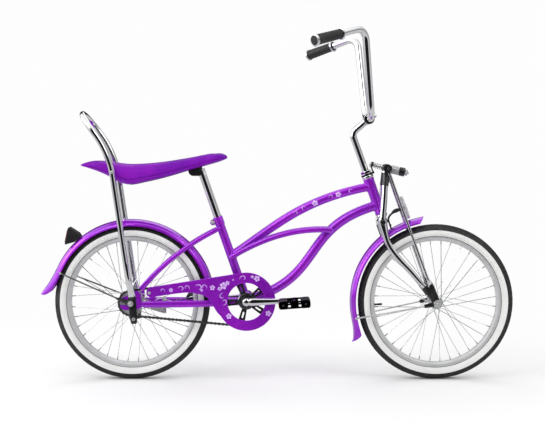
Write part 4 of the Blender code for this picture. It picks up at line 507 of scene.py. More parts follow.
for label, side in SIDES:
    top = stay_top + LEFT * side * ((SEAT_TUBE_DIAMETER + SEATSTAY_DIAMETER) / 2 + SEATED)
    foot = stay_foot + LEFT * side * DROPOUT_MIDDLE
    course = curve(top, stay_top - slope(25.3) * stay_span * 0.366 + LEFT * side * DROPOUT_MIDDLE * 0.69,
        stay_foot + slope(49.2) * stay_span * 0.36 + LEFT * side * DROPOUT_MIDDLE * 1.04, foot, 36)
    radius = SEATSTAY_DIAMETER / 2
    sizes = eased([(radius * 0.55, radius * 0.55), (radius * 0.96, radius * 0.96)], 2)
    sizes += [(radius, radius)] * 26 + eased([(radius, radius), (0.0055, 0.0088), (0.0036, 0.0085)], 4)[1:]
    sizes = [tuple(size) for size in sizes][:len(course)]
    add_piece("seatstay_bend_" + label, swept(course, sizes, 28), [ENAMEL], "frame",
        ["seatstay_" + label])
    foot = REAR_AXLE + Vector((CHAINSTAY_END[0], side * DROPOUT_MIDDLE, CHAINSTAY_END[1]))
    head = BRACKET + Vector((-0.022, side * 0.018, -0.0045))
    span = head.x - foot.x
    course = curve(foot, Vector((foot.x + span * 0.334, side * DROPOUT_MIDDLE * 0.98, foot.z)), Vector((head.x
        - span * 0.274, side * DROPOUT_MIDDLE * 0.77, foot.z)), head, 36)
    flat = eased([(0.0036, 0.009), (0.0052, 0.0103), CHAINSTAY_HALF], 3)
    sizes = [tuple(size) for size in flat] + [CHAINSTAY_HALF] * (len(course) - len(flat))
    add_piece("chainstay_bend_" + label, swept(course, sizes, 28), [ENAMEL], "frame",
        ["chainstay_" + label])

shell_half = SHELL_WIDTH / 2
shell_outer = SHELL_DIAMETER / 2
add_piece("bracket_shell", lathe([(0.0262, -shell_half + 0.0002), (shell_outer - 0.0008, -shell_half
    + 0.0002), (shell_outer, -shell_half + 0.0012), (shell_outer, shell_half - 0.0012), (shell_outer - 0.0008,
    shell_half - 0.0002), (0.0262, shell_half - 0.0002)], 56, BRACKET, ring=True), [ENAMEL], "frame",
    ["bottom_bracket_shell"])


def plated(name, colour, rough, smudge, metal=1.0):
    """Bright plating with faint handling marks."""
    material, tree, shader = shaded(name, Metallic=metal)
    cloud = smooth_range(tree, noise_texture(tree, 14, 4), 0.42, 0.72)
    coloured(tree, shader, cloud, colour, tuple(channel * 0.86 for channel in colour[:3]) + (1,))
    streak = smooth_range(tree, noise_texture(tree, 90, 2), 0.35, 0.65, rough, rough + smudge)
    marks = math_step(tree, "ADD", streak, math_step(tree, "MULTIPLY", cloud, smudge))
    tree.links.new(marks, shader.inputs["Roughness"])
    relief(tree, shader, noise_texture(tree, 420, 2), 0.04, 0.0002)
    return material


def kept(finish, *names):
    """CAD nodes that keep their own mesh, with a finish."""
    for name in names:
        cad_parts[name].material_slots[0].material = finish


CHROME = plated("bright_chrome", (0.9, 0.905, 0.915, 1), 0.03, 0.035)
ZINC = plated("zinc_plate", (0.64, 0.645, 0.65, 1), 0.28, 0.12, metal=0.65)
BEARING_CUP = 0.0032
for label, side in SIDES:
    cup_rows = [(0.0116, side * (shell_half - 0.001)), (shell_outer - 0.0016, side * (shell_half - 0.001)),
        (shell_outer - 0.001, side * (shell_half + 0.0006)), (shell_outer - 0.001, side * (shell_half
        + 0.0022)), (shell_outer - 0.003, side * (shell_half + BEARING_CUP)), (0.015, side * (shell_half
        + BEARING_CUP)), (0.0138, side * (shell_half + 0.0024)), (0.0116, side * (shell_half + 0.0024))]
    add_piece("bearing_cup_" + label, lathe(cup_rows, 48, BRACKET, ring=True), [CHROME], "frame")

kept(ENAMEL, "dropout_right", "dropout_left", "fender_bridge", "chainstay_bridge")


# Chain guard: a pan pressed from sheet steel around the chainring, with a long arm back to the axle.
# Its edges are rolled, a post and a tab hold it on the frame, and it is painted like the frame.

GUARD_DIAMETER = 0.19
GUARD_OPENING = 0.122
GUARD_FACE = 0.0545
GUARD_THICKNESS = 0.0014
GUARD_LIP = 0.0028
GUARD_ARM_END = (-0.307, 0.031)
GUARD_ARM_RADIUS = 0.017
GUARD_ROLL = 0.0016             # radius of the rolled edge
GUARD_THROAT = [(-0.205, 0.029), (-0.16, 0.0262), (-0.125, 0.013), (-0.1065, -0.014), (-0.0945, -0.0335)]


def arc(centre, radius, start, end, steps):
    """Points (x, z) on a circle from one angle in degrees to another."""
    angles = [math.radians(start + (end - start) * k / steps) for k in range(steps + 1)]
    return [(centre[0] + radius * math.cos(angle), centre[1] + radius * math.sin(angle)) for angle in angles]


def guard_outline(inset):
    ring = GUARD_DIAMETER / 2 - inset
    end = GUARD_ARM_RADIUS - inset
    outline = arc((0, 0), ring, 210, 458, 110)
    outline += arc(GUARD_ARM_END, end, 98, 262, 30)
    throat = [outline[-1], *[(x, z + inset) for x, z in GUARD_THROAT], outline[0]]
    outline += [tuple(point) for point in eased(throat, 6)[1:-1]]
    return outline


def slab(outline, low, high, holes=(), centre=Vector()):
    """A flat sheet with its outline (x, z) and holes, between two places along Y."""
    shape = bmesh.new()
    loops = [outline, *holes]
    corners = [(x, z) for loop in loops for x, z in loop]
    walls = [[shape.verts.new(centre + Vector((x, place, z))) for x, z in corners] for place in (low, high)]
    for triangle in tessellate_polygon([[Vector((x, z, 0)) for x, z in loop] for loop in loops]):
        for wall in walls:
            shape.faces.new([wall[k] for k in triangle])
    start = 0
    for loop in loops:
        for k in range(len(loop)):
            here, after = start + k, start + (k + 1) % len(loop)
            shape.faces.new((walls[0][here], walls[0][after], walls[1][after], walls[1][here]))
        start += len(loop)
    return shape


def closed_bead(points, radius):
    """A round bead along a closed line."""
    rings = []
    for index, point in enumerate(points):
        ahead = (points[(index + 1) % len(points)] - points[index - 1]).normalized()
        out = ahead.cross(LEFT).normalized()
        rings.append([point + (out * c + LEFT * s) * radius for c, s in around(10)])
    return skin(rings, True)


def on_guard(outline, depth):
    return [BRACKET + Vector((x, -GUARD_FACE + depth, z)) for x, z in outline]


guard_sheet = slab(guard_outline(GUARD_ROLL * 0.8), -GUARD_FACE + 0.0002, -GUARD_FACE + 0.0002
    + GUARD_THICKNESS, [arc((0, 0), GUARD_OPENING / 2 + GUARD_ROLL, 0, 357.5, 143)], BRACKET)
guard_lip = slab(guard_outline(0.0), -GUARD_FACE + GUARD_ROLL, -GUARD_FACE + GUARD_THICKNESS + GUARD_LIP,
    [guard_outline(GUARD_ROLL * 0.9)], BRACKET)
guard_back = -GUARD_FACE + GUARD_THICKNESS
post_place = BRACKET + slope(27) * (GUARD_DIAMETER / 2 - 0.0056)
guard_post = swept([Vector((post_place.x, place, post_place.z)) for place in (-DOWN_TUBE_DIAMETER / 2 + 0.002,
    guard_back)], 0.003, 20)
tab_middle = BRACKET + Vector((GUARD_ARM_END[0] + 0.004, 0, 0))
tab_foot = REAR_AXLE.z + CHAINSTAY_END[1] - BRACKET.z
guard_tab = slab([(-0.008, tab_foot), (0.008, tab_foot), (0.008, GUARD_ARM_END[1]), (-0.008,
    GUARD_ARM_END[1])], guard_back - 0.0002, guard_back + 0.0022, (), tab_middle)
add_piece("guard_pan", joined(guard_sheet, guard_lip, guard_post, guard_tab,
    closed_bead(on_guard(guard_outline(GUARD_ROLL), GUARD_ROLL), GUARD_ROLL), closed_bead(on_guard(arc((0, 0),
    GUARD_OPENING / 2 + GUARD_ROLL, 0, 357.5, 143), GUARD_ROLL), GUARD_ROLL)), [ENAMEL], "frame",
    ["chain_guard"])


# Screws: domed heads with a cross slot, on washers, that hold the guard, the stays and the reflector.

def screw_head(place, out, radius, height, sides=24):
    """A washer and a domed head that face along out."""
    rows = [(radius * 1.45, 0.0), (radius * 1.45, 0.0007), (radius, 0.0008), (radius, height * 0.45), (radius
        * 0.86, height * 0.78), (radius * 0.52, height * 0.97), (radius * 0.42, height), (radius * 0.4, height
        * 0.55)]
    return lathe([*rows, (0.0002, height * 0.55)], sides, place, out)


def hex_nut(place, out, across_flats, height, bore, chamfer=0.12):
    """A chamfered hexagon nut around a bore; its foot is at place."""
    out = out.normalized()
    across = out.orthogonal().normalized()
    over = out.cross(across)
    half, steps = across_flats / 2, 48
    columns = []
    for k, (c, s) in enumerate(around(steps)):
        flat = half / math.cos((2 * math.pi * k / steps + math.pi / 6) % (math.pi / 3) - math.pi / 6)
        drop = max(flat - half, 0) * chamfer * 3.2 + height * 0.02
        rim = min(flat, half * 0.97)
        section = ((rim, 0), (flat, drop), (flat, height - drop), (rim, height), (bore, height), (bore, 0))
        columns.append([place + out * rise + (across * c + over * s) * reach for reach, rise in section])
    return skin([list(ring) for ring in zip(*columns)], True)


guard_bolt = BRACKET + Vector((GUARD_ARM_END[0] - 0.0075, -GUARD_FACE + 0.0001, GUARD_ARM_END[1] - 0.002))
add_piece("guard_screws", screw_head(guard_bolt, -LEFT, 0.0036, 0.0026), [ZINC], "frame")


# Flowers and curls: pale violet transfers on the guard and the top tube, cut from thin film and laid
# under the lacquer. Their five-petalled flowers and tendrils are this bicycle's own design.

FILM = 0.00012


def transfer_film():
    material, tree, shader = shaded("transfer_film", Roughness=0.32, Coat_Weight=0.9, Coat_Roughness=0.05)
    fade = smooth_range(tree, noise_texture(tree, 60, 2), 0.3, 0.7)
    coloured(tree, shader, fade, (0.74, 0.5, 0.93, 1), (0.6, 0.33, 0.86, 1))
    return material


def flower(size, turn):
    """Five petal outlines around an open heart, as loops of (x, z)."""
    loops = []
    for petal in range(5):
        middle = turn + 2 * math.pi * petal / 5
        loop = []
        for c, s in around(14):
            reach = size * (0.62 + 0.36 * c)
            swing = 0.3 * size * s * (1.15 - 0.25 * c)
            loop.append((reach * math.cos(middle) - swing * math.sin(middle), reach * math.sin(middle) + swing
                * math.cos(middle)))
        loops.append(loop)
    return [*loops, [(size * 0.17 * c, size * 0.17 * s) for c, s in around(10)]]


def curl(size, turn, way):
    """A tendril that winds in to its end, widest in the middle, as one loop of (x, z)."""
    near, far = [], []
    for k in range(25):
        share = k / 24
        angle = turn + way * share * 4.6
        reach = size * (1.0 - 0.78 * share)
        width = size * 0.115 * math.sin(math.pi * (0.06 + 0.88 * share))
        offset = (size * 0.5 * math.cos(turn), size * 0.5 * math.sin(turn))
        for side, line in ((-1, near), (1, far)):
            line.append(((reach + side * width) * math.cos(angle) - offset[0], (reach + side * width)
                * math.sin(angle) - offset[1]))
    return [near + far[::-1]]


def transfers(rows, place_on):
    """Film cut to flowers and curls; place_on carries (x, z) to the painted face and its way out."""
    shape = bmesh.new()
    for x, z, size, turn, way in rows:
        for loop in curl(size, math.radians(turn), way) if way else flower(size, math.radians(turn)):
            spots = [place_on(x + along, z + up) for along, up in loop]
            under, over = ([shape.verts.new(spot + out * lift) for spot, out in spots] for lift in (-FILM,
                FILM))
            for triangle in tessellate_polygon([[Vector((*point, 0)) for point in loop]]):
                shape.faces.new([over[k] for k in triangle])
                shape.faces.new([under[k] for k in reversed(triangle)])
            for k in range(len(loop)):
                after = (k + 1) % len(loop)
                shape.faces.new((under[k], under[after], over[after], over[k]))
    return shape


def guard_face(x, z):
    return BRACKET + Vector((x, -GUARD_FACE + 0.0002, z)), -LEFT


FILM_INK = transfer_film()
# columns: forward of and above the bottom bracket, size, turn in degrees, curl's way or 0 for a flower
GUARD_ART = [(-0.0743, 0.052, 0.0125, 10, 0), (-0.0865, 0.0425, 0.0072, 50, 0), (-0.061, 0.061, 0.0075, 30,
    0), (-0.1098, 0.046, 0.0092, 15, 0), (0.0346, 0.0753, 0.0105, 40, 0), (0.0195, 0.0815, 0.0055, 5, 0),
    (-0.0565, -0.047, 0.01, 25, 0), (0.0715, -0.0378, 0.01, 0, 0), (-0.015, 0.0735, 0.0125, 200, -1),
    (-0.0755, 0.0235, 0.012, 75, 1), (-0.0745, -0.005, 0.012, 255, 1), (-0.0425, 0.0715, 0.0032, 0, 0),
    (-0.083, 0.0245, 0.003, 20, 0), (-0.133, 0.0455, 0.0105, 330, 1), (-0.159, 0.048, 0.013, 150, -1),
    (-0.189, 0.043, 0.0105, 330, 1), (-0.216, 0.0425, 0.011, 170, -1), (-0.244, 0.038, 0.0075, 15, 0),
    (-0.1445, 0.0375, 0.0048, 50, 0), (-0.269, 0.034, 0.009, 330, 1)]
add_piece("guard_flowers", transfers(GUARD_ART, guard_face), [FILM_INK], "frame")


def tube_face(x, z):
    """The nearest place on the top tube's right-hand side, seen from the side, and its out."""
    spot = min(range(len(top_course) - 1), key=lambda k: math.hypot(top_course[k].x - x, top_course[k].z - z))
    centre = top_course[spot]
    ahead = (top_course[spot + 1] - top_course[max(spot - 1, 0)]).normalized()
    beside = Vector((x, 0, z)) - Vector((centre.x, 0, centre.z))
    over = Vector((-ahead.z, 0, ahead.x))
    height = max(-0.95, min(0.95, beside.dot(over) / (TOP_TUBE_DIAMETER / 2)))
    out = (over * height - LEFT * math.sqrt(1 - height * height)).normalized()
    return centre + ahead * beside.dot(ahead) + out * TOP_TUBE_DIAMETER / 2, out


# columns: point of the tube's course, size, turn in degrees, way as above
TUBE_ART = [(4, 0.0085, 30, 1), (7, 0.01, 12, 0), (9, 0.0085, 200, -1), (13, 0.0105, 44, 0), (16, 0.0085, 20,
    1), (19, 0.008, 190, -1)]
add_piece("tube_flowers", transfers([(top_course[k].x, top_course[k].z, *row) for k, *row in TUBE_ART],
    tube_face), [FILM_INK], "frame")


# Fenders: balloon mudguards pressed from thin sheet, half an oval in section with a rolled edge, each
# ending in a flared tail. Two shallow pressed lines run along the crown.

FENDER_HALF_WIDTH = 0.0335
FENDER_SHEET = 0.0014
TYRE_RADIUS = 0.254
FENDER_AROUND = 21
HEM = 0.0006
# columns: crown and skirt beyond the even part's, angle around the wheel in degrees, half width
REAR_TAIL = [(0.0035, 0.0015, 162.0, 0.033), (0.012, 0.008, 168.0, 0.03), (0.025, 0.02, 173.0, 0.024), (0.032,
    0.038, 175.5, 0.015)]
FRONT_TAIL = [(0.002, 0.001, 197.0, 0.033), (0.007, 0.002, 201.0, 0.031), (0.015, 0.006, 204.5, 0.026),
    (0.023, 0.024, 206.0, 0.015)]
FRONT_TIP = [(0.0012, 0.0, 98.25, 0.031)]
FRONT_RAKE = 3.6                # how much further round its crown the front fender begins, in degrees
REAR_STAY_ANGLE = 157.5
FRONT_STAY_ANGLE = 191.3


def fender_skin(course, axle, rake=0.0):
    """A sheet bent over the wheel: its outer face and back along the inner one, with a rolled hem."""
    rings = []
    for row, (crown, skirt, angle, half) in enumerate(course):
        raked = rake * max(0.0, 1 - row / 3)
        ring = []
        for inset, order in ((0, 1), (FENDER_SHEET, -1)):
            for k in range(FENDER_AROUND)[::order]:
                lean = math.pi * (k / (FENDER_AROUND - 1) - 0.5)
                line = 0.0009 * math.exp(-((abs(lean) - 0.42) / 0.07) ** 2)
                reach = skirt + (crown - skirt - inset) * math.cos(lean) - line
                roll = HEM * math.exp(-((math.pi / 2 - abs(lean)) / 0.13) ** 2)
                wide = (half - inset) * math.sin(lean)
                wide += math.copysign(roll, wide) * (-1 if inset else 0.35)
                ring.append(axle + slope(angle + raked * (1 - math.cos(lean))) * reach + LEFT * wide)
        rings.append(ring)
    return skin(rings)


def even_course(crown, skirt, start, end, steps, tip, tail):
    even = [(0, 0, start + (end - start) * k / steps, FENDER_HALF_WIDTH) for k in range(steps + 1)]
    rows = ([list(row) for row in (eased(tip + even[:1], 3)[:-1] if tip else [])] + even[:-1]
        + eased(even[-1:] + tail, 4))
    return [(crown + out, skirt + edge, angle, half) for out, edge, angle, half in rows]


rear_course = even_course(TYRE_RADIUS + 0.017, TYRE_RADIUS - 0.0048, -3, 156, 96, [], REAR_TAIL)
add_piece("rear_mudguard", fender_skin(rear_course, REAR_AXLE), [ENAMEL], "frame",
    ["rear_fender"], crease=60)
front_course = even_course(TYRE_RADIUS + 0.027, TYRE_RADIUS + 0.008, 102, 192, 60, FRONT_TIP, FRONT_TAIL)
add_piece("front_mudguard", fender_skin(front_course, FRONT_AXLE, FRONT_RAKE), [ENAMEL], "steering",
    ["front_fender"], crease=60)

for body, axle, reach, angle in (("frame", REAR_AXLE, TYRE_RADIUS - 0.0035, REAR_STAY_ANGLE), ("steering",
        FRONT_AXLE, TYRE_RADIUS + 0.012, FRONT_STAY_ANGLE)):
    heads = [screw_head(axle + slope(angle) * reach + LEFT * side * (FENDER_HALF_WIDTH + 0.0056), LEFT * side,
        0.003, 0.0024) for _, side in SIDES]
    add_piece("stay_screws_" + body, joined(*heads), [ZINC], body)


# Tyres: black balloon tyres with a white sidewall band and a road tread of ribs and chevron blocks.
# The wall and the tread base are one casing, and the blocks are set round it.

BLACK_RUBBER = (0.014, 0.014, 0.014, 1)
RIM_RADIUS = 0.214
TREAD_COUNT = 84


def rubber(name, colour, rough, grain, strength, dust):
    """Moulded rubber: fine grain, with a little dust in patches."""
    material, tree, shader = shaded(name)
    coloured(tree, shader, smooth_range(tree, noise_texture(tree, 24, 4), 0.45, 0.75), colour, dust)
    uneven(tree, shader, 60, rough - 0.08, rough + 0.08)
    relief(tree, shader, noise_texture(tree, grain, 3), strength, 0.0004)
    return material


TREAD_RUBBER = rubber("tread_rubber", BLACK_RUBBER, 0.62, 700, 0.25, (0.028, 0.027, 0.026, 1))
WHITE_WALL = rubber("white_wall", (0.8, 0.8, 0.79, 1), 0.48, 500, 0.08, (0.74, 0.74, 0.73, 1))

# columns: radius, half width, and the finish outward from there (0 black, 1 white)
WALL_ROWS = [(0.2072, 0.0138, 0), (0.2098, 0.015, 0), (0.2135, 0.0158, 0), (0.215, 0.0166, 0), (0.2158, 0.018,
    1), (0.2176, 0.0207, 1), (0.2192, 0.0221, 1), (0.2206, 0.0233, 1), (0.2232, 0.0252, 1), (0.2262, 0.0264,
    1), (0.2296, 0.02695, 1), (0.233, 0.0269, 1), (0.2352, 0.0266, 0), (0.236, 0.0268, 0), (0.2372, 0.0266,
    0), (0.2382, 0.0258, 0), (0.2412, 0.0244, 0), (0.244, 0.0224, 0), (0.2462, 0.02, 0), (0.2482, 0.0168, 0),
    (0.25, 0.0126, 0), (0.2512, 0.008, 0), (0.2518, 0.003, 0)]
casing = [(radius, -half) for radius, half, _ in WALL_ROWS] + [(radius, half) for radius, half,
    _ in WALL_ROWS[::-1]]
wall_finish = [finish for _, _, finish in WALL_ROWS]
casing_finish = wall_finish[:-1] + [0] + wall_finish[:-1][::-1] + [0]


def group_tree(name, **sockets):
    """A Geometry Nodes tree with its inputs typed by name, and those inputs inside it."""
    tree = bpy.data.node_groups.new(name, "GeometryNodeTree")
    for label, kind in sockets.items():
        tree.interface.new_socket(label.replace("_", " "), in_out="INPUT", socket_type="NodeSocket" + kind)
    tree.interface.new_socket("Made", in_out="OUTPUT", socket_type="NodeSocketGeometry")
    return tree, tree.nodes.new("NodeGroupInput").outputs


def realised(tree, copies, finish):
    """The tree's end: copies made real, in one finish."""
    real = node(tree, "GeometryNodeRealizeInstances", {0: copies})
    painted = node(tree, "GeometryNodeSetMaterial", {"Geometry": real, "Material": finish})
    tree.links.new(painted, tree.nodes.new("NodeGroupOutput").inputs[0])
    return tree


def repeat_tree():
    """Copies of the piece's own mesh, each turned and slid on from the one before."""
    tree, given = group_tree("repeat_about_axis", Unit="Geometry", Count="Int", Turn="Vector", Start="Vector",
        Axis_place="Vector", Slide="Vector", Finish="Material")
    order = node(tree, "GeometryNodeInputIndex")
    slid, turned = (node(tree, "ShaderNodeVectorMath", {0: order, 1: given[step], 2: given[start]},
        operation="MULTIPLY_ADD") for step, start in (("Slide", "Axis place"), ("Turn", "Start")))
    spots = node(tree, "GeometryNodePoints", {"Count": given["Count"], "Position": slid})
    copies = node(tree, "GeometryNodeInstanceOnPoints", {"Points": spots, "Instance": given["Unit"],
        "Rotation": turned})
    return realised(tree, copies, given["Finish"])


REPEAT = repeat_tree()


def baked(made):
    """The object as its modifiers leave it, as a plain mesh."""
    bpy.context.view_layer.update()
    return bpy.data.meshes.new_from_object(made.evaluated_get(bpy.context.evaluated_depsgraph_get()))


def made_by(tree, name, unit, finish, **inputs):
    """unit run through a tree whose inputs are set by their sockets' identifiers, as one plain mesh."""
    holder = linked(name + "_unit", mesh_of(name + "_unit", unit, 35))
    steps = holder.modifiers.new("made", "NODES")
    steps.node_group = tree
    sockets = {item.name: item.identifier for item in tree.interface.items_tree if item.in_out == "INPUT"}
    for label, value in {"Finish": finish, **inputs}.items():
        steps[sockets[label.replace("_", " ")]] = value
    plain = baked(holder)
    plain.name = name
    bpy.data.objects.remove(holder)
    return plain


def repeated(name, unit, finish, count, centre, turn=(0, 0, 0), start=(0, 0, 0), slide=(0, 0, 0)):
    return made_by(REPEAT, name, unit, finish, Count=count, Turn=turn, Start=start, Axis_place=centre,
        Slide=slide)


def add_mesh(name, meshes, body, stands_for=()):
    """Plain meshes of one finish, made by a tree, put together as one piece."""
    if len(meshes) > 1:
        whole = bmesh.new()
        for mesh in meshes:
            whole.from_mesh(mesh)
        whole.to_mesh(meshes[0])
        whole.free()
    meshes[0].name = name
    return mount_piece(linked(name, meshes[0]), body, stands_for)


def tread_block(start_angle, end_angle, low, high, radius_low, radius_high, top):
    """One tread block: a patch of the tyre's round between two angles and two places across."""
    rings = []
    for lift, trim in ((-0.0012, 0.0), (top * 0.75, 0.0), (top, 0.1)):
        ring = []
        for corner in ((0, 0), (1, 0), (1, 1), (0, 1)):
            along, across = (share + (0.5 - share) * trim for share in corner)
            angle = start_angle + (end_angle - start_angle) * (along + (across - 0.5) * 0.55)
            radius = radius_low + (radius_high - radius_low) * across + lift
            ring.append((radius * math.cos(angle), low + (high - low) * across, radius * math.sin(angle)))
        rings.append(ring)
    return skin(rings)


pitch = 2 * math.pi / TREAD_COUNT
# columns: start and end of the block in pitches, from and to across, radius at both, height
TREAD_BLOCKS = [(0.02, 0.62, 0.001, 0.006, 0.2519, 0.2516, 0.0021), (0.4, 0.98, 0.0078, 0.0128, 0.2513, 0.25,
    0.002), (0.02, 0.56, 0.0142, 0.0186, 0.2494, 0.2472, 0.0019), (0.3, 0.74, 0.0198, 0.0226, 0.2464, 0.2441,
    0.0017)]
for label, centre, body in (("rear", REAR_AXLE, "rear_wheel"), ("front", FRONT_AXLE, "front_wheel")):
    add_piece(label + "_casing", lathe(casing, 160, centre, ring=True, finish_of=casing_finish),
        [TREAD_RUBBER, WHITE_WALL], body, [label + "_tyre"])
    blocks = []
    for first, last, low, high, inner, outer, top in TREAD_BLOCKS:
        for way in (-1, 1):
            shift = 0.5 if way > 0 else 0.0
            blocks.append(tread_block((first + shift) * pitch, (last + shift) * pitch, way * low, way * high,
                inner, outer, top))
    add_mesh(label + "_tread", [repeated(label + "_tread", joined(*blocks), TREAD_RUBBER, TREAD_COUNT, centre,
        (0, pitch, 0))], body)


# Wheels: a rolled alloy rim, 36 plated spokes crossed three times and a turned steel hub. Each spoke
# hooks through the flange by its head and ends in a brass-cored nipple at the rim.

RIM_DEPTH = 0.014
RIM_INNER = RIM_RADIUS - RIM_DEPTH
SPOKE_LEAN = math.radians(60)
SPOKE_RADIUS = 0.00105
RIM_ALLOY = plated("rim_alloy", (0.72, 0.725, 0.73, 1), 0.36, 0.1, metal=0.55)
SPOKE_STEEL = plated("spoke_steel", (0.7, 0.71, 0.72, 1), 0.16, 0.08)
RIM_ROWS = [(RIM_RADIUS, 0.0168), (RIM_RADIUS + 0.0004, 0.0174), (RIM_RADIUS, 0.018), (RIM_RADIUS - 0.003,
    0.01795), (RIM_RADIUS - 0.006, 0.0176), (RIM_RADIUS - 0.0086, 0.0166), (RIM_RADIUS - 0.0094, 0.015),
    (RIM_RADIUS - 0.0104, 0.0132), (RIM_RADIUS - 0.0124, 0.0104), (RIM_INNER - 0.0002, 0.0074), (RIM_INNER
    - 0.0004, 0.003)]
rim_profile = ([(0.207, -0.015)] + [(radius, -half) for radius, half in RIM_ROWS] + [(radius,
    half) for radius, half in reversed(RIM_ROWS)] + [(0.207, 0.015), (0.2062, 0.01), (0.2062, -0.01)])
REAR_HUB = [(0.0085, -0.0491), (0.011, -0.0491), (0.0128, -0.047), (0.017, -0.0468), (0.017, -0.0335), (0.033,
    -0.0321), (0.0336, -0.0312), (0.0336, -0.0298), (0.033, -0.029), (0.0235, -0.0284), (0.0212, -0.0262),
    (0.021, -0.02), (0.0216, -0.016), (0.0216, 0.016), (0.021, 0.02), (0.0212, 0.0262), (0.0235, 0.0284),
    (0.033, 0.029), (0.0336, 0.0298), (0.0336, 0.0312), (0.033, 0.0321), (0.0225, 0.033), (0.0205, 0.0345),
    (0.02, 0.042), (0.0172, 0.0458), (0.0085, 0.0462)]
FRONT_HUB = [(0.0053, -0.0526), (0.0088, -0.0526), (0.0092, -0.05), (0.011, -0.0462), (0.0114, -0.0372),
    (0.0206, -0.0346), (0.0213, -0.0339), (0.0213, -0.0323), (0.0206, -0.0316), (0.0132, -0.0308), (0.0116,
    -0.028), (0.0104, -0.02), (0.01, 0.0), (0.0104, 0.02), (0.0116, 0.028), (0.0132, 0.0308), (0.0206,
    0.0316), (0.0213, 0.0323), (0.0213, 0.0339), (0.0206, 0.0346), (0.0114, 0.0372), (0.011, 0.0462), (0.0092,
    0.05), (0.0088, 0.0526), (0.0053, 0.0526)]


def spoke_unit(flange_radius, flange_place, number):
    """One spoke with its head, bend, shank and nipple, about the wheel's axle."""
    side = 1 if number % 2 else -1
    trailing = 1 if number // 2 % 2 else -1
    at_rim = 2 * math.pi * (number + 0.5) / 36
    at_hub = at_rim + trailing * SPOKE_LEAN
    reach = flange_radius - 0.0038
    hole = Vector((reach * math.cos(at_hub), side * flange_place, reach * math.sin(at_hub)))
    inside, outside = hole - LEFT * trailing * 0.0023, hole + LEFT * trailing * 0.0023
    rim_end = Vector((RIM_INNER * math.cos(at_rim), side * 0.0036 + trailing * 0.0006, RIM_INNER
        * math.sin(at_rim)))
    ahead = (rim_end - outside).normalized()
    head = lathe([(0.0002, -0.0006), (0.0019, -0.0004), (0.0021, 0.0001), (0.0014, 0.0009), (0.0002, 0.001)],
        10, inside, LEFT * trailing)
    bend = [inside, hole, outside - LEFT * trailing * 0.0006, outside + ahead * 0.0012, outside + ahead
        * 0.004]
    shank = swept(bend + [rim_end - ahead * 0.01, rim_end], SPOKE_RADIUS, 6, Vector((0.3, 0.2, 0.9)))
    nipple = swept([rim_end - ahead * 0.0125, rim_end - ahead * 0.0118, rim_end - ahead * 0.002, rim_end
        + ahead * 0.0015], [0.0012, 0.0017, 0.0018, 0.0023], 8, Vector((0.3, 0.2, 0.9)))
    return joined(head, shank, nipple)


for label, centre, body, hub, flange, place in (("rear", REAR_AXLE, "rear_wheel", REAR_HUB, 0.033, 0.0305),
        ("front", FRONT_AXLE, "front_wheel", FRONT_HUB, 0.021, 0.033)):
    add_piece(label + "_rim", lathe(rim_profile, 160, centre, ring=True), [RIM_ALLOY], body,
        [label + "_wheel"])
    add_mesh(label + "_spokes", [repeated(f"{label}_spokes_{number}", spoke_unit(flange, place, number),
        SPOKE_STEEL, 9, centre, (0, math.radians(40), 0)) for number in range(4)], body)
    add_piece(label + "_hub", lathe(hub, 64, centre, ring=True), [ZINC], body)
    up = Vector((math.cos(math.radians(183)), 0,
        math.sin(math.radians(183)))) if label == "front" else slope(3)
    valve_foot = centre + up * (RIM_INNER + 0.001)
    valve = [(0.0042, 0.0), (0.0042, 0.003), (0.0031, 0.004), (0.0031, 0.012), (0.0036, 0.0126), (0.0036,
        0.025), (0.003, 0.0262), (0.001, 0.0266)]
    add_piece(label + "_valve", lathe(valve, 20, valve_foot, -up), [TREAD_RUBBER], body)


# Chain and sprockets: a half-inch roller chain round a 40-tooth ring and a 20-tooth cog. The ring's
# black spider has five slotted arms. The chain's links are pressed plates on riveted pins.

CHAIN_LINE = 0.046
CHAIN_PITCH = 0.0127
RING_TEETH = 40
COG_TEETH = 20
RING_RADIUS = CHAIN_PITCH / (2 * math.sin(math.pi / RING_TEETH))
COG_RADIUS = CHAIN_PITCH / (2 * math.sin(math.pi / COG_TEETH))
ROLLER_RADIUS = 0.0039
TOOTH_TIP = 0.0022
TOOTH_HALF = 0.0011
SPIDER_TURN = 4                 # degrees from an arm to the crank's own direction, a tenth of a turn apart


def black_paint(name, colour, rough, wear):
    """Satin black stoving enamel, a shade lighter where hands and dust have been."""
    material, tree, shader = shaded(name, Coat_Weight=0.35, Coat_Roughness=0.18)
    cloud = smooth_range(tree, noise_texture(tree, 18, 4), 0.45, 0.75, 0, wear)
    coloured(tree, shader, cloud, colour, (0.075, 0.075, 0.077, 1))
    uneven(tree, shader, 40, rough - 0.06, rough + 0.08)
    relief(tree, shader, noise_texture(tree, 600, 2), 0.12, 0.0003)
    return material


# Black enamel for many parts. On the flattened chrome ends of the fork's legs and struts, the front fender
# stays and the sissy bar, and on the fork's sleeves and tabs, the same black is a painted reflection of dark
# surroundings.
GLOSS_BLACK_AND_REFLECTION = black_paint("gloss_black_and_reflection", (0.01, 0.01, 0.011, 1), 0.26, 0.25)
OILED_STEEL_AND_REFLECTION = plated("oiled_steel_and_reflection", (0.15, 0.15, 0.148, 1), 0.28, 0.15)
centres = BRACKET - REAR_AXLE
chain_slope = math.atan2(centres.z, centres.x)
splay = math.asin((RING_RADIUS - COG_RADIUS) / centres.length)
straight = centres.length * math.cos(splay)
around_ring = RING_RADIUS * (math.pi + 2 * splay)
around_cog = COG_RADIUS * (math.pi - 2 * splay)
chain_length = around_ring + around_cog + 2 * straight
links = 2 * round(chain_length / CHAIN_PITCH / 2)
upper_angle, lower_angle = chain_slope + math.pi / 2 + splay, chain_slope - math.pi / 2 - splay


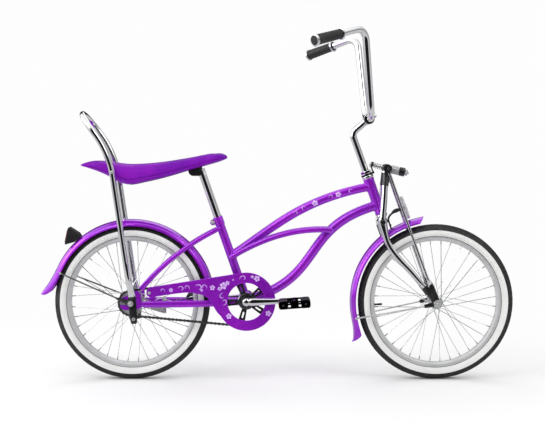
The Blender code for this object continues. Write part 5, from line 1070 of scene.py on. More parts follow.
def chain_point(place):
    """A point on the chain's middle line, by the way along it from the top of the ring."""
    place %= chain_length
    if place < around_ring:
        angle, centre, radius, slide = upper_angle - place / RING_RADIUS, BRACKET, RING_RADIUS, 0
    elif place < around_ring + straight:
        angle, centre, radius, slide = lower_angle, BRACKET, RING_RADIUS, place - around_ring
    elif place < around_ring + straight + around_cog:
        angle = lower_angle - (place - around_ring - straight) / COG_RADIUS
        centre, radius, slide = REAR_AXLE, COG_RADIUS, 0
    else:
        angle, centre, radius = upper_angle, REAR_AXLE, COG_RADIUS
        slide = place - around_ring - straight - around_cog
    out = Vector((math.cos(angle), 0, math.sin(angle)))
    along = Vector((math.sin(angle), 0, -math.cos(angle)))
    return centre + out * radius + along * slide - LEFT * CHAIN_LINE


def toothed(radius, teeth, phase):
    """Outline of a sprocket whose rollers sit at phase and every pitch from there."""
    outline = []
    pitch = 2 * math.pi / teeth
    for tooth in range(teeth):
        angle = phase + pitch * tooth
        for turn in (66, 33, 0, -33, -66):
            toward = angle + math.pi + math.radians(turn)
            outline.append((radius * math.cos(angle) + (ROLLER_RADIUS + 0.0002) * math.cos(toward), radius
                * math.sin(angle) + (ROLLER_RADIUS + 0.0002) * math.sin(toward)))
        for share in (0.43, 0.57):
            tip = angle + pitch * share
            outline.append(((radius + TOOTH_TIP) * math.cos(tip), (radius + TOOTH_TIP) * math.sin(tip)))
    return outline


def spider_windows():
    """Openings between the arms and a slot in each arm, as loops of (x, z)."""
    loops = []
    for arm in range(5):
        middle = 36 + SPIDER_TURN + 72 * arm
        outer = arc((0, 0), 0.063, middle + 10, middle + 62, 14)
        inner = arc((0, 0), 0.0262, middle + 54, middle + 18, 8)
        loops.append(outer + inner)
        along, beside = slope(middle), slope(middle + 90)
        slot_loop = []
        for end, start in ((0.053, -90), (0.0375, 90)):
            for turn in range(start, start + 181, 30):
                spot = along * (end + 0.0027 * math.cos(math.radians(turn))) + beside * 0.0027 * math.sin(
                    math.radians(turn))
                slot_loop.append((spot.x, spot.z))
        loops.append(slot_loop)
    return loops


ring_phase = upper_angle
cog_phase = upper_angle + (chain_length - math.floor(chain_length / CHAIN_PITCH) * CHAIN_PITCH) / COG_RADIUS
axle_loop = arc((0, 0), 0.0112, 0, 352.5, 47)
add_piece("ring_and_spider", joined(slab(toothed(RING_RADIUS, RING_TEETH, ring_phase), -CHAIN_LINE
    - TOOTH_HALF, -CHAIN_LINE + TOOTH_HALF, [axle_loop, *spider_windows()], BRACKET), lathe([(0.0112,
    -CHAIN_LINE - 0.0024), (0.0245, -CHAIN_LINE - 0.0024), (0.0262, -CHAIN_LINE - 0.0012), (0.0262,
    -CHAIN_LINE + 0.0011), (0.0112, -CHAIN_LINE + 0.0011)], 64, BRACKET, ring=True), closed_bead([BRACKET
    + Vector((x, -CHAIN_LINE - TOOTH_HALF, z)) for x, z in arc((0, 0), 0.0655, 0, 357, 119)], 0.0011)),
    [GLOSS_BLACK_AND_REFLECTION], "crank", ["chainring"], soften=0.0003)
add_piece("cog_teeth", joined(slab(toothed(COG_RADIUS, COG_TEETH, cog_phase), -CHAIN_LINE - TOOTH_HALF,
    -CHAIN_LINE + TOOTH_HALF, [arc((0, 0), 0.0173, 0, 350, 35)], REAR_AXLE), lathe([(0.0171, -CHAIN_LINE
    - 0.0019), (0.0235, -CHAIN_LINE - 0.0019), (0.0245, -CHAIN_LINE - 0.0011), (0.0245, -CHAIN_LINE + 0.0011),
    (0.0171, -CHAIN_LINE + 0.0011)], 48, REAR_AXLE, ring=True)), [ZINC], "rear_wheel",
    ["rear_cog"], soften=0.0002)


def follow_tree():
    """Copies of the piece's own mesh on another mesh's points, turned to that mesh's own directions."""
    tree, given = group_tree("follow_line", Unit="Geometry", Places="Object", Finish="Material")
    line = node(tree, "GeometryNodeObjectInfo", {"Object": given["Places"]}, "Geometry")
    along = node(tree, "GeometryNodeInputNamedAttribute", {"Name": "along"}, "Attribute",
        data_type="FLOAT_VECTOR")
    facing = node(tree, "FunctionNodeAlignRotationToVector", {"Vector": along}, axis="X", pivot_axis="Y")
    copies = node(tree, "GeometryNodeInstanceOnPoints", {"Points": line, "Instance": given["Unit"],
        "Rotation": facing})
    return realised(tree, copies, given["Finish"])


FOLLOW = follow_tree()


def along_line(name, unit, finish, places):
    """unit set at each (place, direction)."""
    line = bpy.data.meshes.new(name + "_places")
    line.from_pydata([place for place, _ in places], [], [])
    line.attributes.new("along", "FLOAT_VECTOR", "POINT").data.foreach_set("vector", [number for _,
        direction in places for number in direction])
    holder = linked(name + "_places", line)
    made = made_by(FOLLOW, name, unit, finish, Places=holder)
    bpy.data.objects.remove(holder)
    return made


def link_outline(height, waist):
    half = CHAIN_PITCH / 2
    return [*arc((half, 0), height / 2, -120, 120, 12), (half * 0.45, waist / 2 * 1.04), (0, waist / 2),
        (-half * 0.45, waist / 2 * 1.04), *arc((-half, 0), height / 2, 60, 300, 12), (-half * 0.45, -waist / 2
        * 1.04), (0, -waist / 2), (half * 0.45, -waist / 2 * 1.04)]


def chain_link(plate_near, plate_far, pins):
    """Two pressed plates, with either riveted pins or the rollers between them."""
    outline = link_outline(0.0084, 0.0058)
    parts = [slab(outline, plate_near, plate_far), slab(outline, -plate_far, -plate_near)]
    for end in (-CHAIN_PITCH / 2, CHAIN_PITCH / 2):
        if pins:
            rows = [(0.0013, -0.0042), (0.0018, -0.004), (0.0018, 0.004), (0.0013, 0.0042)]
        else:
            rows = [(ROLLER_RADIUS, -0.0015), (ROLLER_RADIUS, 0.0015)]
        parts.append(lathe([(0.0002, rows[0][1]), *rows, (0.0002, rows[-1][1])], 12, Vector((end, 0, 0))))
    return joined(*parts)


pins = [chain_point(chain_length * number / links) for number in range(links)]
link_places = [((pins[k] + pins[(k + 1) % links]) / 2, (pins[(k + 1) % links]
    - pins[k]).normalized()) for k in range(links)]
add_mesh("chain_links", [along_line("outer_links", chain_link(0.0028, 0.0037, True), OILED_STEEL_AND_REFLECTION,
    link_places[0::2]), along_line("inner_links", chain_link(0.0017, 0.0026, False), OILED_STEEL_AND_REFLECTION,
    link_places[1::2])], "frame", ["chain"])


# Crank and pedals: a forged one-piece crank that bends out of the bracket's axle into both arms, and
# block pedals with two moulded treads, steel side plates and amber reflectors, each on its own spindle.

CRANK_TILT = math.radians(2)    # the right pedal's rise
PEDAL_TILT = math.radians(-4)
CRANK_LENGTH = 0.155
CRANK_SPREAD = 0.069
PEDAL_MIDDLE = 0.1293
AXLE_RADIUS = 0.0109
AMBER = (0.85, 0.2, 0.012, 1)
# columns: distance from the axle, half height, half thickness
ARM_ROWS = [(0.1669, 0.0036, 0.0036), (0.166, 0.007, 0.0052), (0.1635, 0.01, 0.006), (0.155, 0.012, 0.0065),
    (0.148, 0.0106, 0.0063), (0.1415, 0.0086, 0.006), (0.133, 0.008, 0.006), (0.08, 0.0099, 0.0065), (0.036,
    0.0116, 0.007), (0.024, 0.0121, 0.0074)]
crank_along = Vector((math.cos(CRANK_TILT), 0, math.sin(CRANK_TILT)))
crank_over = crank_along.cross(LEFT)


def on_crank(forward, across, up=0.0):
    return BRACKET + crank_along * forward + LEFT * across + crank_over * up


def crank_half(way):
    """Points and sizes from one pedal's eye in to the middle of the axle."""
    rows = [(on_crank(way * reach, -way * CRANK_SPREAD), high, thick) for reach, high,
        thick in eased(ARM_ROWS, 3)]
    inner = CRANK_SPREAD - 0.02
    elbow = curve(on_crank(way * 0.02, -way * CRANK_SPREAD), on_crank(way * 0.0088, -way * CRANK_SPREAD),
        on_crank(0, -way * (CRANK_SPREAD - 0.0088)), on_crank(0, -way * inner), 12)
    for k, place in enumerate(elbow):
        share = k / 12
        rows.append((place, 0.0121 + (AXLE_RADIUS - 0.0121) * share, 0.0076 + (AXLE_RADIUS - 0.0076) * share))
    return rows + [(on_crank(0, -way * inner * 0.5), AXLE_RADIUS, AXLE_RADIUS)]


crank_rows = crank_half(1) + [(on_crank(0, 0), AXLE_RADIUS, AXLE_RADIUS)] + crank_half(-1)[::-1]
crank_parts = [swept([place for place, _, _ in crank_rows], [(high, thick) for _, high, thick in crank_rows],
    36, crank_over)]
for way in (1, -1):
    crank_parts.append(lathe([(0.0002, 0.0616), (0.0044, 0.0617), (0.006, 0.0626), (0.006, 0.074), (0.0094,
        0.0757), (0.0096, 0.0768), (0.0096, 0.0786), (0.009, 0.0797), (0.0061, 0.0804), (0.0061, 0.167),
        (0.0048, 0.1702), (0.0002, 0.1703)], 32, on_crank(way * CRANK_LENGTH, 0), LEFT * -way))
    crank_parts.append(lathe([(0.0002, 0.062), (0.0118, 0.062), (0.013, 0.063), (0.013, 0.07), (0.012,
        0.0726), (0.0098, 0.0747), (0.0066, 0.0761), (0.0034, 0.0769), (0.0002, 0.0772)], 40, BRACKET, LEFT
        * -way))
add_piece("crank_forging", joined(*crank_parts), [CHROME], "crank", ["crank"])
ring_pin = BRACKET + crank_along * 0.033
add_piece("crank_lock_ring", joined(lathe([(0.0112, -0.0516), (0.015, -0.0516), (0.0162, -0.0508), (0.0162,
    -0.0488), (0.0112, -0.0484)], 40, BRACKET, ring=True), swept([ring_pin + LEFT * place
    for place in (-0.064, -0.0632, -0.0478)], [0.003, 0.004, 0.004], 20, crank_over)), [GLOSS_BLACK_AND_REFLECTION], "crank")

PEDAL_RUBBER = rubber("pedal_rubber", (0.02, 0.02, 0.021, 1), 0.5, 420, 0.2, (0.045, 0.044, 0.043, 1))


def block(low, high):
    """A box between two corners, for bevelling."""
    (left, near, foot), (right, far, head) = low, high
    return skin([[(x, near, foot), (x, far, foot), (x, far, head), (x, near, head)] for x in (left, right)])


def placed(shape, place, turn=0.0):
    """The shape turned about Y and set at a place."""
    bmesh.ops.transform(shape, verts=shape.verts, matrix=Matrix.Translation(place) @ Matrix.Rotation(turn, 4,
        "Y"))
    return shape


def faceted_lens(name, colour, deep, scale, facet_high, strength, depth, **settings):
    """A clear moulded lens over a field of small prisms. Each prism's colour darkens from its middle toward
    its edges: painted shade in the creases between facets.
    """
    material, tree, shader = shaded(name, Coat_Weight=1.0, **settings)
    prism = cell_texture(tree, scale, "Distance")
    coloured(tree, shader, smooth_range(tree, prism, facet_high, 0.5), colour, deep)
    relief(tree, shader, prism, strength, depth)
    return material


LENS_AMBER = faceted_lens("amber_lens", AMBER, (0.5, 0.07, 0.004, 1), 420, 0.1, 0.6, 0.0006, Roughness=0.08,
    IOR=1.5)
side_outline = ([*arc((0.044, 0.006), 0.006, 0, 90, 5), *arc((-0.044, 0.006), 0.006, 90, 180, 5),
    *arc((-0.044, -0.006), 0.006, 180, 270, 5), *arc((0.044, -0.006), 0.006, 270, 360, 5)])
side_windows = [[(way * x, z) for x, z in ((0.013, -0.0062), (0.0205, -0.0062), (0.0205, 0.0062), (0.013,
    0.0062))] for way in (1, -1)]
for label, way in (("right", 1), ("left", -1)):
    middle = on_crank(way * CRANK_LENGTH, -way * PEDAL_MIDDLE)
    treads, plates, studs, lenses = [], [], [], []
    for end in (-1, 1):
        low, high = sorted((end * 0.0225, end * 0.049))
        treads.append(block((low, -0.044, -0.0108), (high, 0.044, 0.0108)))
        for face in (-1, 1):
            plates.append(slab(side_outline, face * 0.0455 - 0.001, face * 0.0455 + 0.001, side_windows))
            plates.append(screw_head(Vector((end * 0.036, face * 0.0463, 0)), LEFT * face, 0.003, 0.0022, 16))
        lenses.append(block((end * 0.05 - 0.0012, -0.03, -0.006), (end * 0.05 + 0.0006, 0.03, 0.006)))
    barrel = lathe([(0.0066, -0.0465), (0.0092, -0.0465), (0.0098, -0.044), (0.0084, -0.04), (0.0084, 0.04),
        (0.0098, 0.044), (0.0092, 0.0465), (0.0066, 0.0465)], 32, Vector(), ring=True)
    add_piece("pedal_treads_" + label, placed(joined(*treads), middle, PEDAL_TILT), [PEDAL_RUBBER], "pedal_"
        + label, ["pedal_" + label], soften=0.0016)
    add_piece("pedal_cage_" + label, placed(joined(*plates, barrel), middle, PEDAL_TILT), [GLOSS_BLACK_AND_REFLECTION],
        "pedal_" + label, soften=0.0003)
    add_piece("pedal_lenses_" + label, placed(joined(*lenses), middle, PEDAL_TILT), [LENS_AMBER], "pedal_"
        + label, soften=0.0006)
    for end in (-1, 1):
        for face in (-1, 1):
            for row in (0.0285, 0.0355, 0.0425):
                stud = placed(block((-0.0024, -0.0028, 0), (0.0024, 0.0028, 0.0026)), Vector((end * row,
                    -0.04, face * 0.0106)), 0 if face > 0 else math.pi)
                studs.append(stud)
    add_mesh("pedal_studs_" + label, [repeated("pedal_studs_" + label, placed(joined(*studs), Vector(),
        PEDAL_TILT), PEDAL_RUBBER, 11, middle, slide=(0, 0.008, 0))], "pedal_" + label)


# Axles and brake: threaded axles with washers and chamfered nuts hold the dropouts, stays and fork, and
# the coaster brake's arm reaches forward to a strap clamped round the left chainstay.

THREAD_PITCH = 0.0011


def threaded(place, out, start, end, radius):
    """A thread's crests and roots along a bolt's end, with a chamfered tip."""
    rows = [(radius * 0.3, start)]
    steps = max(2, round((end - start - 0.0008) / THREAD_PITCH))
    for k in range(steps):
        rise = start + (end - start - 0.0008) * k / steps
        rows += [(radius * 0.9, rise), (radius, rise + THREAD_PITCH * 0.45)]
    rows += [(radius * 0.9, end - 0.0008), (radius * 0.72, end), (radius * 0.02, end)]
    return lathe(rows, 20, place, out)


def axle_stack(centre, nut_start, thread_end, lock_start, lock_end, washer=0.0092):
    """A threaded axle with a lock nut inside the dropout, and a washer and a nut outside, on both sides."""
    parts = [lathe([(0.0002, -nut_start - 0.002), (0.0046, -nut_start - 0.002), (0.0046, nut_start + 0.002),
        (0.0002, nut_start + 0.002)], 24, centre)]
    for _, side in SIDES:
        out = LEFT * side
        parts.append(threaded(centre, out, nut_start + 0.001, thread_end, 0.0048))
        parts.append(lathe([(0.0047, nut_start), (washer, nut_start), (washer, nut_start + 0.0006), (washer
            - 0.0006, nut_start + 0.0011), (0.0047, nut_start + 0.0011)], 40, centre, out, ring=True))
        parts.append(hex_nut(centre + out * (nut_start + 0.0011), out, 0.0155, 0.0068, 0.0047))
        if lock_end:
            parts.append(hex_nut(centre + out * lock_start, out, 0.0146, lock_end - lock_start, 0.0047))
    return joined(*parts)


add_piece("rear_axle_stack", axle_stack(REAR_AXLE, 0.067, 0.082, 0.0498, 0.055), [ZINC], "frame",
    ["rear_axle"])
add_piece("front_axle_stack", axle_stack(FRONT_AXLE, 0.0662, 0.0812, 0, 0, 0.012), [ZINC], "steering",
    ["front_axle"])
kept(ZINC, "brake_arm", "brake_strap", "front_fender_stay_right", "front_fender_stay_left")
# The rear fender stays take the dark steel too: on them its darkness is a painted reflection of the dark
# surroundings their chrome mirrors.
kept(OILED_STEEL_AND_REFLECTION, "rear_fender_stay_right", "rear_fender_stay_left")

# columns: from the front axle along the stay, half thickness, half depth
STAY_EYE = [(0.0125, 0.0012, 0.007), (0.013, 0.0016, 0.0088), (0.03, 0.0016, 0.0068), (0.043, 0.003, 0.006),
    (0.044, 0.0026, 0.0048)]
# The stays' flattened eyes at the axle are black: a painted reflection of dark surroundings in their flat
# ends.
for label, side in SIDES:
    course = [FRONT_AXLE + slope(FRONT_STAY_ANGLE) * reach + LEFT * side * 0.0649 for reach, _, _ in STAY_EYE]
    add_piece("stay_eye_" + label, swept(course, [(thick, deep) for _, thick, deep in STAY_EYE], 24),
        [GLOSS_BLACK_AND_REFLECTION], "steering")
arm_tip = REAR_AXLE + Vector((0.1, 0, -0.0395))
add_piece("brake_fixings", joined(screw_head(arm_tip + LEFT * 0.0512, LEFT, 0.0034, 0.0028), hex_nut(arm_tip
    + LEFT * 0.0466, -LEFT, 0.008, 0.0036, 0.002), lathe([(0.0105, 0.0466), (0.0172, 0.0467), (0.0176,
    0.0472), (0.0168, 0.05), (0.012, 0.0504), (0.0105, 0.05)], 40, REAR_AXLE, ring=True)), [ZINC], "frame")


# Seat post and clamp: a plated pillar under a pressed clamp, which grips the seat's steel pan from
# below, and the binder bolt that closes the seat tube's lug.

POST_RADIUS = 0.0127
# columns: forward of the rear axle, underside, top, half width
SEAT_SECTIONS = [(-0.165, 0.7, 0.7045, 0.042), (-0.15, 0.6965, 0.712, 0.058), (-0.115, 0.685, 0.715, 0.0655),
    (-0.0768, 0.6685, 0.713, 0.065), (-0.0395, 0.6469, 0.7075, 0.064), (0.0, 0.6384, 0.704, 0.063), (0.05,
    0.648, 0.706, 0.061), (0.1094, 0.6619, 0.7119, 0.057), (0.1879, 0.685, 0.7245, 0.048), (0.2336, 0.6985,
    0.7335, 0.042), (0.284, 0.713, 0.743, 0.037), (0.306, 0.7215, 0.737, 0.028), (0.312, 0.724, 0.73, 0.016)]


def above_floor(forward, across, height):
    """A place measured forward of the rear axle and up from the floor."""
    return Vector((REAR_AXLE.x + forward, across, FLOOR_LEVEL + height))


def seat_section(forward):
    """Underside, top and half width of the seat at a place along it."""
    after = next((k for k, row in enumerate(SEAT_SECTIONS) if row[0] > forward), len(SEAT_SECTIONS) - 1)
    here, there = SEAT_SECTIONS[max(after - 1, 0)], SEAT_SECTIONS[after]
    share = (forward - here[0]) / (there[0] - here[0])
    return [near + (far - near) * share for near, far in zip(here[1:], there[1:])]


post_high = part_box("seat_post")[1].z
post_top = seat_tube_point((post_high - BRACKET.z - POST_RADIUS * math.sin(SEAT_TUBE_LEAN)) / SEAT_TUBE_UP.z)
post_reach = (post_top - BRACKET).length
add_piece("seat_pillar", lathe([(0.0105, 0.2045), (POST_RADIUS, 0.2045), (POST_RADIUS, post_reach - 0.0012),
    (POST_RADIUS - 0.0012, post_reach), (0.0105, post_reach)], 48, BRACKET, SEAT_TUBE_UP, ring=True),
    [CHROME], "frame", ["seat_post"])
add_piece("binder_bolt", joined(lathe([(0.0002, -lug_half - 0.005), (0.004, -lug_half - 0.0048), (0.0062,
    -lug_half - 0.0036), (0.0066, -lug_half), (0.0034, -lug_half + 0.0002), (0.0034, lug_half + 0.006),
    (0.0002, lug_half + 0.0062)], 28, binder_middle), hex_nut(binder_middle + LEFT * lug_half, LEFT, 0.012,
    0.0052, 0.0033)), [ZINC], "frame")

# columns: share of the half width, below the seat's underside in millimetres
PAN_LOOP = [(-1.0, 0.2), (-0.5, 0.1), (0, 0.1), (0.5, 0.1), (1.0, 0.2), (1.02, 0.8), (0.98, 1.1), (0.93, 1.0),
    (0.5, 1.0), (0, 1.4), (-0.5, 1.0), (-0.93, 1.0), (-0.98, 1.1), (-1.02, 0.8)]
pan_sheet = skin([[above_floor(forward, half * 0.5 * across, low - drop / 1000) for across,
    drop in PAN_LOOP] for forward, low, _, half in eased(SEAT_SECTIONS[5:11], 5)])
clamp_middle = post_top.x - REAR_AXLE.x - 0.019
clamp_low = seat_section(clamp_middle)[0] - 0.0016 - 0.0225
clamp_rear, clamp_front = clamp_middle - 0.02, clamp_middle + 0.023
clamp_loop = (arc((clamp_rear + 0.0165, clamp_low + 0.0165), 0.0165, 180, 270, 10) + arc((clamp_front - 0.009,
    clamp_low + 0.009), 0.009, 270, 360, 8) + [(clamp_front, seat_section(clamp_front)[0] - 0.0011),
    (clamp_rear, seat_section(clamp_rear)[0] - 0.0011)])
clamp_origin = Vector((REAR_AXLE.x, 0, FLOOR_LEVEL))
clamp_pin = above_floor(clamp_rear + 0.0125, 0, clamp_low + 0.0125)
add_piece("seat_pan_and_clamp", joined(pan_sheet, *(slab(clamp_loop, side * 0.0182 - 0.0026, side * 0.0182
    + 0.0026, (), clamp_origin) for _, side in SIDES), slab(clamp_loop, -0.015, 0.015, (), clamp_origin)),
    [GLOSS_BLACK_AND_REFLECTION], "frame", ["seat_pan"], soften=0.0006)
add_piece("seat_clamp_bolt", joined(lathe([(0.0002, -0.0262), (0.0046, -0.0262), (0.0046, 0.0262), (0.0002,
    0.0262)], 20, clamp_pin), *(hex_nut(clamp_pin + LEFT * side * 0.021, LEFT * side, 0.013, 0.005,
    0.0044) for _, side in SIDES)), [GLOSS_BLACK_AND_REFLECTION], "frame")


# Sissy bar: one chromed tube bent into a hoop behind the seat, with its ends flattened and drilled for
# the axle, and a bolted spacer to the seat on each side.

SISSY_HALF = 0.078
SISSY_ROUND = 0.0095
SISSY_PLACE = 0.0624
SISSY_FLAT = (0.002, 0.012)
FOOT_REFLECTION_ROWS = 5             # rows of the flattened foot that are black: a painted reflection of dark surroundings in the flat chrome
FLARE = (-0.007, 0.342)
SISSY_HIP = (-0.064, 0.737)
SISSY_TOP = (-0.164, 0.875)
hip = above_floor(SISSY_HIP[0], SISSY_HALF, SISSY_HIP[1])
hoop_lean = (above_floor(SISSY_TOP[0], 0, SISSY_TOP[1]) - above_floor(SISSY_HIP[0], 0,
    SISSY_HIP[1])).normalized()
hoop_centre = above_floor(SISSY_TOP[0], 0, SISSY_TOP[1]) - hoop_lean * (SISSY_HALF + SISSY_ROUND)
flare = above_floor(FLARE[0], SISSY_HALF, FLARE[1])
shoulder = hoop_centre + LEFT * SISSY_HALF
hip_start = hip + (flare - hip).normalized() * 0.07
hip_end = hip + (shoulder - hip).normalized() * 0.07
foot_rows = [(0.0107, SISSY_PLACE, 0.188), (0.0105, SISSY_PLACE, 0.191), (0.009, SISSY_PLACE, 0.208), (0.0068,
    SISSY_PLACE, 0.234), (0.0052, SISSY_PLACE, 0.256), (0.004, SISSY_PLACE, 0.276), (0.001, 0.066, 0.296),
    (-0.0035, 0.074, 0.32), (-0.007, 0.078, 0.342)]
foot_sizes = [(0.0016, 0.006), (0.002, 0.01), SISSY_FLAT, SISSY_FLAT, (0.002, 0.0124), (0.0024, 0.012),
    (0.0052, 0.0108), (0.0084, 0.0098), (SISSY_ROUND, SISSY_ROUND)]
half_course = [above_floor(*row) for row in foot_rows]
half_course += [flare.lerp(hip_start, k / 6) for k in range(1, 6)]
half_course += curve(hip_start, hip_start.lerp(hip, 0.58), hip_end.lerp(hip, 0.58), hip_end, 14)
half_course.append(shoulder)
hoop = [hoop_centre + (LEFT * math.cos(math.pi * k / 28) + hoop_lean * math.sin(math.pi * k / 28))
    * SISSY_HALF for k in range(1, 28)]
sissy_course = half_course + hoop + [Vector((point.x, -point.y, point.z)) for point in reversed(half_course)]
sissy_sizes = foot_sizes + [(SISSY_ROUND, SISSY_ROUND)] * (len(sissy_course) - 18) + foot_sizes[::-1]
spacer_share = 0.855
spacer_spot = flare.lerp(hip, spacer_share)
spacer_near = seat_section(spacer_spot.x - REAR_AXLE.x)[2] + 0.0006
spacer_middle = Vector((spacer_spot.x, 0, spacer_spot.z))
spacers = [lathe([(0.0002, spacer_near), (0.0078, spacer_near), (0.0078, spacer_near + 0.0014), (0.0062,
    spacer_near + 0.0018), (0.0062, SISSY_HALF), (0.0002, SISSY_HALF)], 28, spacer_middle, LEFT * side) for _,
    side in SIDES]
# The flattened feet take the black finish as a painted reflection of the dark surroundings that flat chrome
# mirrors.
foot_finish = [1] * FOOT_REFLECTION_ROWS + [0] * (len(sissy_course) - 1 - 2
    * FOOT_REFLECTION_ROWS) + [1] * FOOT_REFLECTION_ROWS
add_piece("sissy_hoop", joined(swept(sissy_course, sissy_sizes, 40, finish_of=foot_finish), *spacers),
    [CHROME, GLOSS_BLACK_AND_REFLECTION], "frame", ["sissy_bar"])
sissy_bolts = []
for _, side in SIDES:
    out = LEFT * side
    sissy_bolts.append(screw_head(spacer_middle + out * (SISSY_HALF + SISSY_ROUND - 0.0008), out, 0.0042,
        0.0034))
    lower = above_floor(0.0094, side * (SISSY_PLACE + 0.002), 0.204)
    sissy_bolts.append(lathe([(0.0024, 0.0), (0.0056, 0.0), (0.0056, 0.0008), (0.003, 0.0012), (0.0024,
        0.001)], 24, lower, out, ring=True))
add_piece("sissy_bolts", joined(*sissy_bolts), [ZINC], "frame")


# Headset and fork crown: pressed cups with a lip, ball races between them, a hexagon lock nut on top
# and the forged crown below, whose ends carry the fork's pivot bolt.

CUP_HEIGHT = 0.01
LOWER_RACE = FORK_LENGTH - SEATED - CUP_HEIGHT - 0.0006
UPPER_RACE = HEAD_TOP + SEATED + CUP_HEIGHT + 0.0006
PLATE_THICKNESS = 0.005
CROWN_BACK = -0.007
CROWN_RISE = 0.308
STEERER_RADIUS = 0.0127
cup_rows = [(0.0134, 0.0), (0.0176, 0.0), (0.0182, 0.0006), (0.0182, 0.0022), (0.019, 0.0032), (0.0194,
    0.0048), (0.0194, 0.008), (0.0188, 0.0094), (0.0176, 0.01), (0.016, 0.0096), (0.0134, 0.0096)]
for label, foot, way in (("upper", HEAD_TOP + SEATED, 1), ("lower", FORK_LENGTH - SEATED, -1)):
    add_piece("headset_race_" + label, lathe(cup_rows, 56, steered(0, 0, foot), STEERING_UP * way, ring=True),
        [CHROME], "frame", ["headset_cup_" + label])
crown_middle = steered(CROWN_BACK, 0, CROWN_RISE)
steerer_rows = [(0.0002, CROWN_RISE - 0.01), (STEERER_RADIUS, CROWN_RISE - 0.01), (STEERER_RADIUS, LOWER_RACE
    - 0.0034), (0.0158, LOWER_RACE - 0.003), (0.0166, LOWER_RACE - 0.0022), (0.0166, LOWER_RACE - 0.0008),
    (0.0158, LOWER_RACE), (STEERER_RADIUS, LOWER_RACE), (STEERER_RADIUS, UPPER_RACE + 0.0155), (0.0114,
    UPPER_RACE + 0.016), (0.0114, UPPER_RACE - 0.01), (0.0002, UPPER_RACE - 0.01)]
crown_bar = lathe([(0.0002, -0.037), (0.012, -0.037), (0.013, -0.036), (0.013, -0.025), (0.0138, -0.019),
    (0.0152, -0.01), (0.0156, 0.0), (0.0152, 0.01), (0.0138, 0.019), (0.013, 0.025), (0.013, 0.036), (0.012,
    0.037), (0.0002, 0.037)], 40, crown_middle)
add_piece("steerer_and_crown", joined(lathe(steerer_rows, 44, STEERING_FOOT, STEERING_UP), crown_bar),
    [CHROME], "steering", ["steerer"])
lock_foot = steered(0, 0, UPPER_RACE + PLATE_THICKNESS + SEATED)
add_piece("steerer_lock_nut", joined(hex_nut(lock_foot + STEERING_UP * 0.0022, STEERING_UP, 0.031, 0.0078,
    STEERER_RADIUS + 0.0002, 0.16), lathe([(STEERER_RADIUS + 0.0002, 0.0), (0.0163, 0.0), (0.0163, 0.0016),
    (0.0156, 0.0022), (STEERER_RADIUS + 0.0002, 0.0022)], 48, lock_foot, STEERING_UP, ring=True)), [CHROME],
    "steering", ["headset_nut"])


# Springer fork: two long legs bowed forward from the crown's pivot to the axle, black sleeves at their
# upper ends, straight struts in front of them and a black yoke that takes the spring bolt. The black of
# the sleeves, of the struts' upper tabs and of the flattened feet of legs and struts is a painted
# reflection of dark surroundings in flattened chrome.

YOKE_PLACE = (0.068, 0.4655)
# Heights above the axle's level below which the flattened leg and strut ends take the black finish: a painted
# reflection of dark surroundings in their flat chrome.
LEG_FOOT = 0.07
STRUT_FOOT = 0.066
# columns: forward of the steering axis, half spread, above the axle's level, half thickness, half depth
LEG_ROWS = [(0.0704, 0.0258, 0.478, 0.0035, 0.004), (0.07, 0.0258, 0.4755, 0.0052, 0.009), (0.067, 0.0258,
    0.4655, 0.0055, 0.012), (0.061, 0.0258, 0.452, 0.0058, 0.0124), (0.049, 0.03, 0.43, 0.0085, 0.0112),
    (0.041, 0.033, 0.415, 0.0098, 0.0105), (0.02, 0.042, 0.368, 0.0105, 0.0105), (-0.0005, 0.0483, 0.325,
    0.0108, 0.0108), (-0.007, 0.0483, 0.308, 0.0109, 0.0146), (-0.0121, 0.0483, 0.2646, 0.0108, 0.011),
    (-0.0133, 0.0483, 0.2378, 0.0108, 0.0108), (-0.0089, 0.0488, 0.2119, 0.0106, 0.0106), (0.0043, 0.0493,
    0.1728, 0.0102, 0.0102), (0.0231, 0.0513, 0.13, 0.0096, 0.0096), (0.0407, 0.0548, 0.0841, 0.0082, 0.0086),
    (0.0531, 0.0563, 0.0521, 0.0032, 0.01), (0.067, 0.0563, 0.012, 0.003, 0.012), (0.072, 0.0563, -0.008,
    0.003, 0.0106), (0.0726, 0.0563, -0.0116, 0.0026, 0.006)]
STRUT_ROWS = [(0.068, 0.0336, 0.476, 0.0016, 0.005), (0.068, 0.0336, 0.474, 0.002, 0.0085), (0.068, 0.0336,
    0.4575, 0.002, 0.0085), (0.068, 0.0346, 0.448, 0.003, 0.0066), (0.068, 0.0366, 0.4395, 0.0044, 0.0046),
    (0.0676, 0.045, 0.33, 0.0045, 0.0045), (0.0672, 0.058, 0.17, 0.0045, 0.0045), (0.067, 0.0644, 0.09,
    0.0045, 0.0046), (0.069, 0.0626, 0.073, 0.0028, 0.007), (0.07, 0.0616, 0.06, 0.002, 0.009), (0.07, 0.0616,
    0.0, 0.002, 0.0098), (0.07, 0.0616, -0.0085, 0.002, 0.0094), (0.07, 0.0616, -0.011, 0.0017, 0.005)]


def steered_bar(rows, side, grow=0.0, foot=0.0):
    """A bar of the fork. Its second finish starts below the height of foot above the axle's level."""
    course = [steered(forward, side * spread, rise) for forward, spread, rise, _, _ in rows]
    return swept(course, [(thick + grow, deep + grow) for _, _, _, thick, deep in rows], 32,
        finish_of=[int(bool(foot) and row[2] < foot) for row in rows])


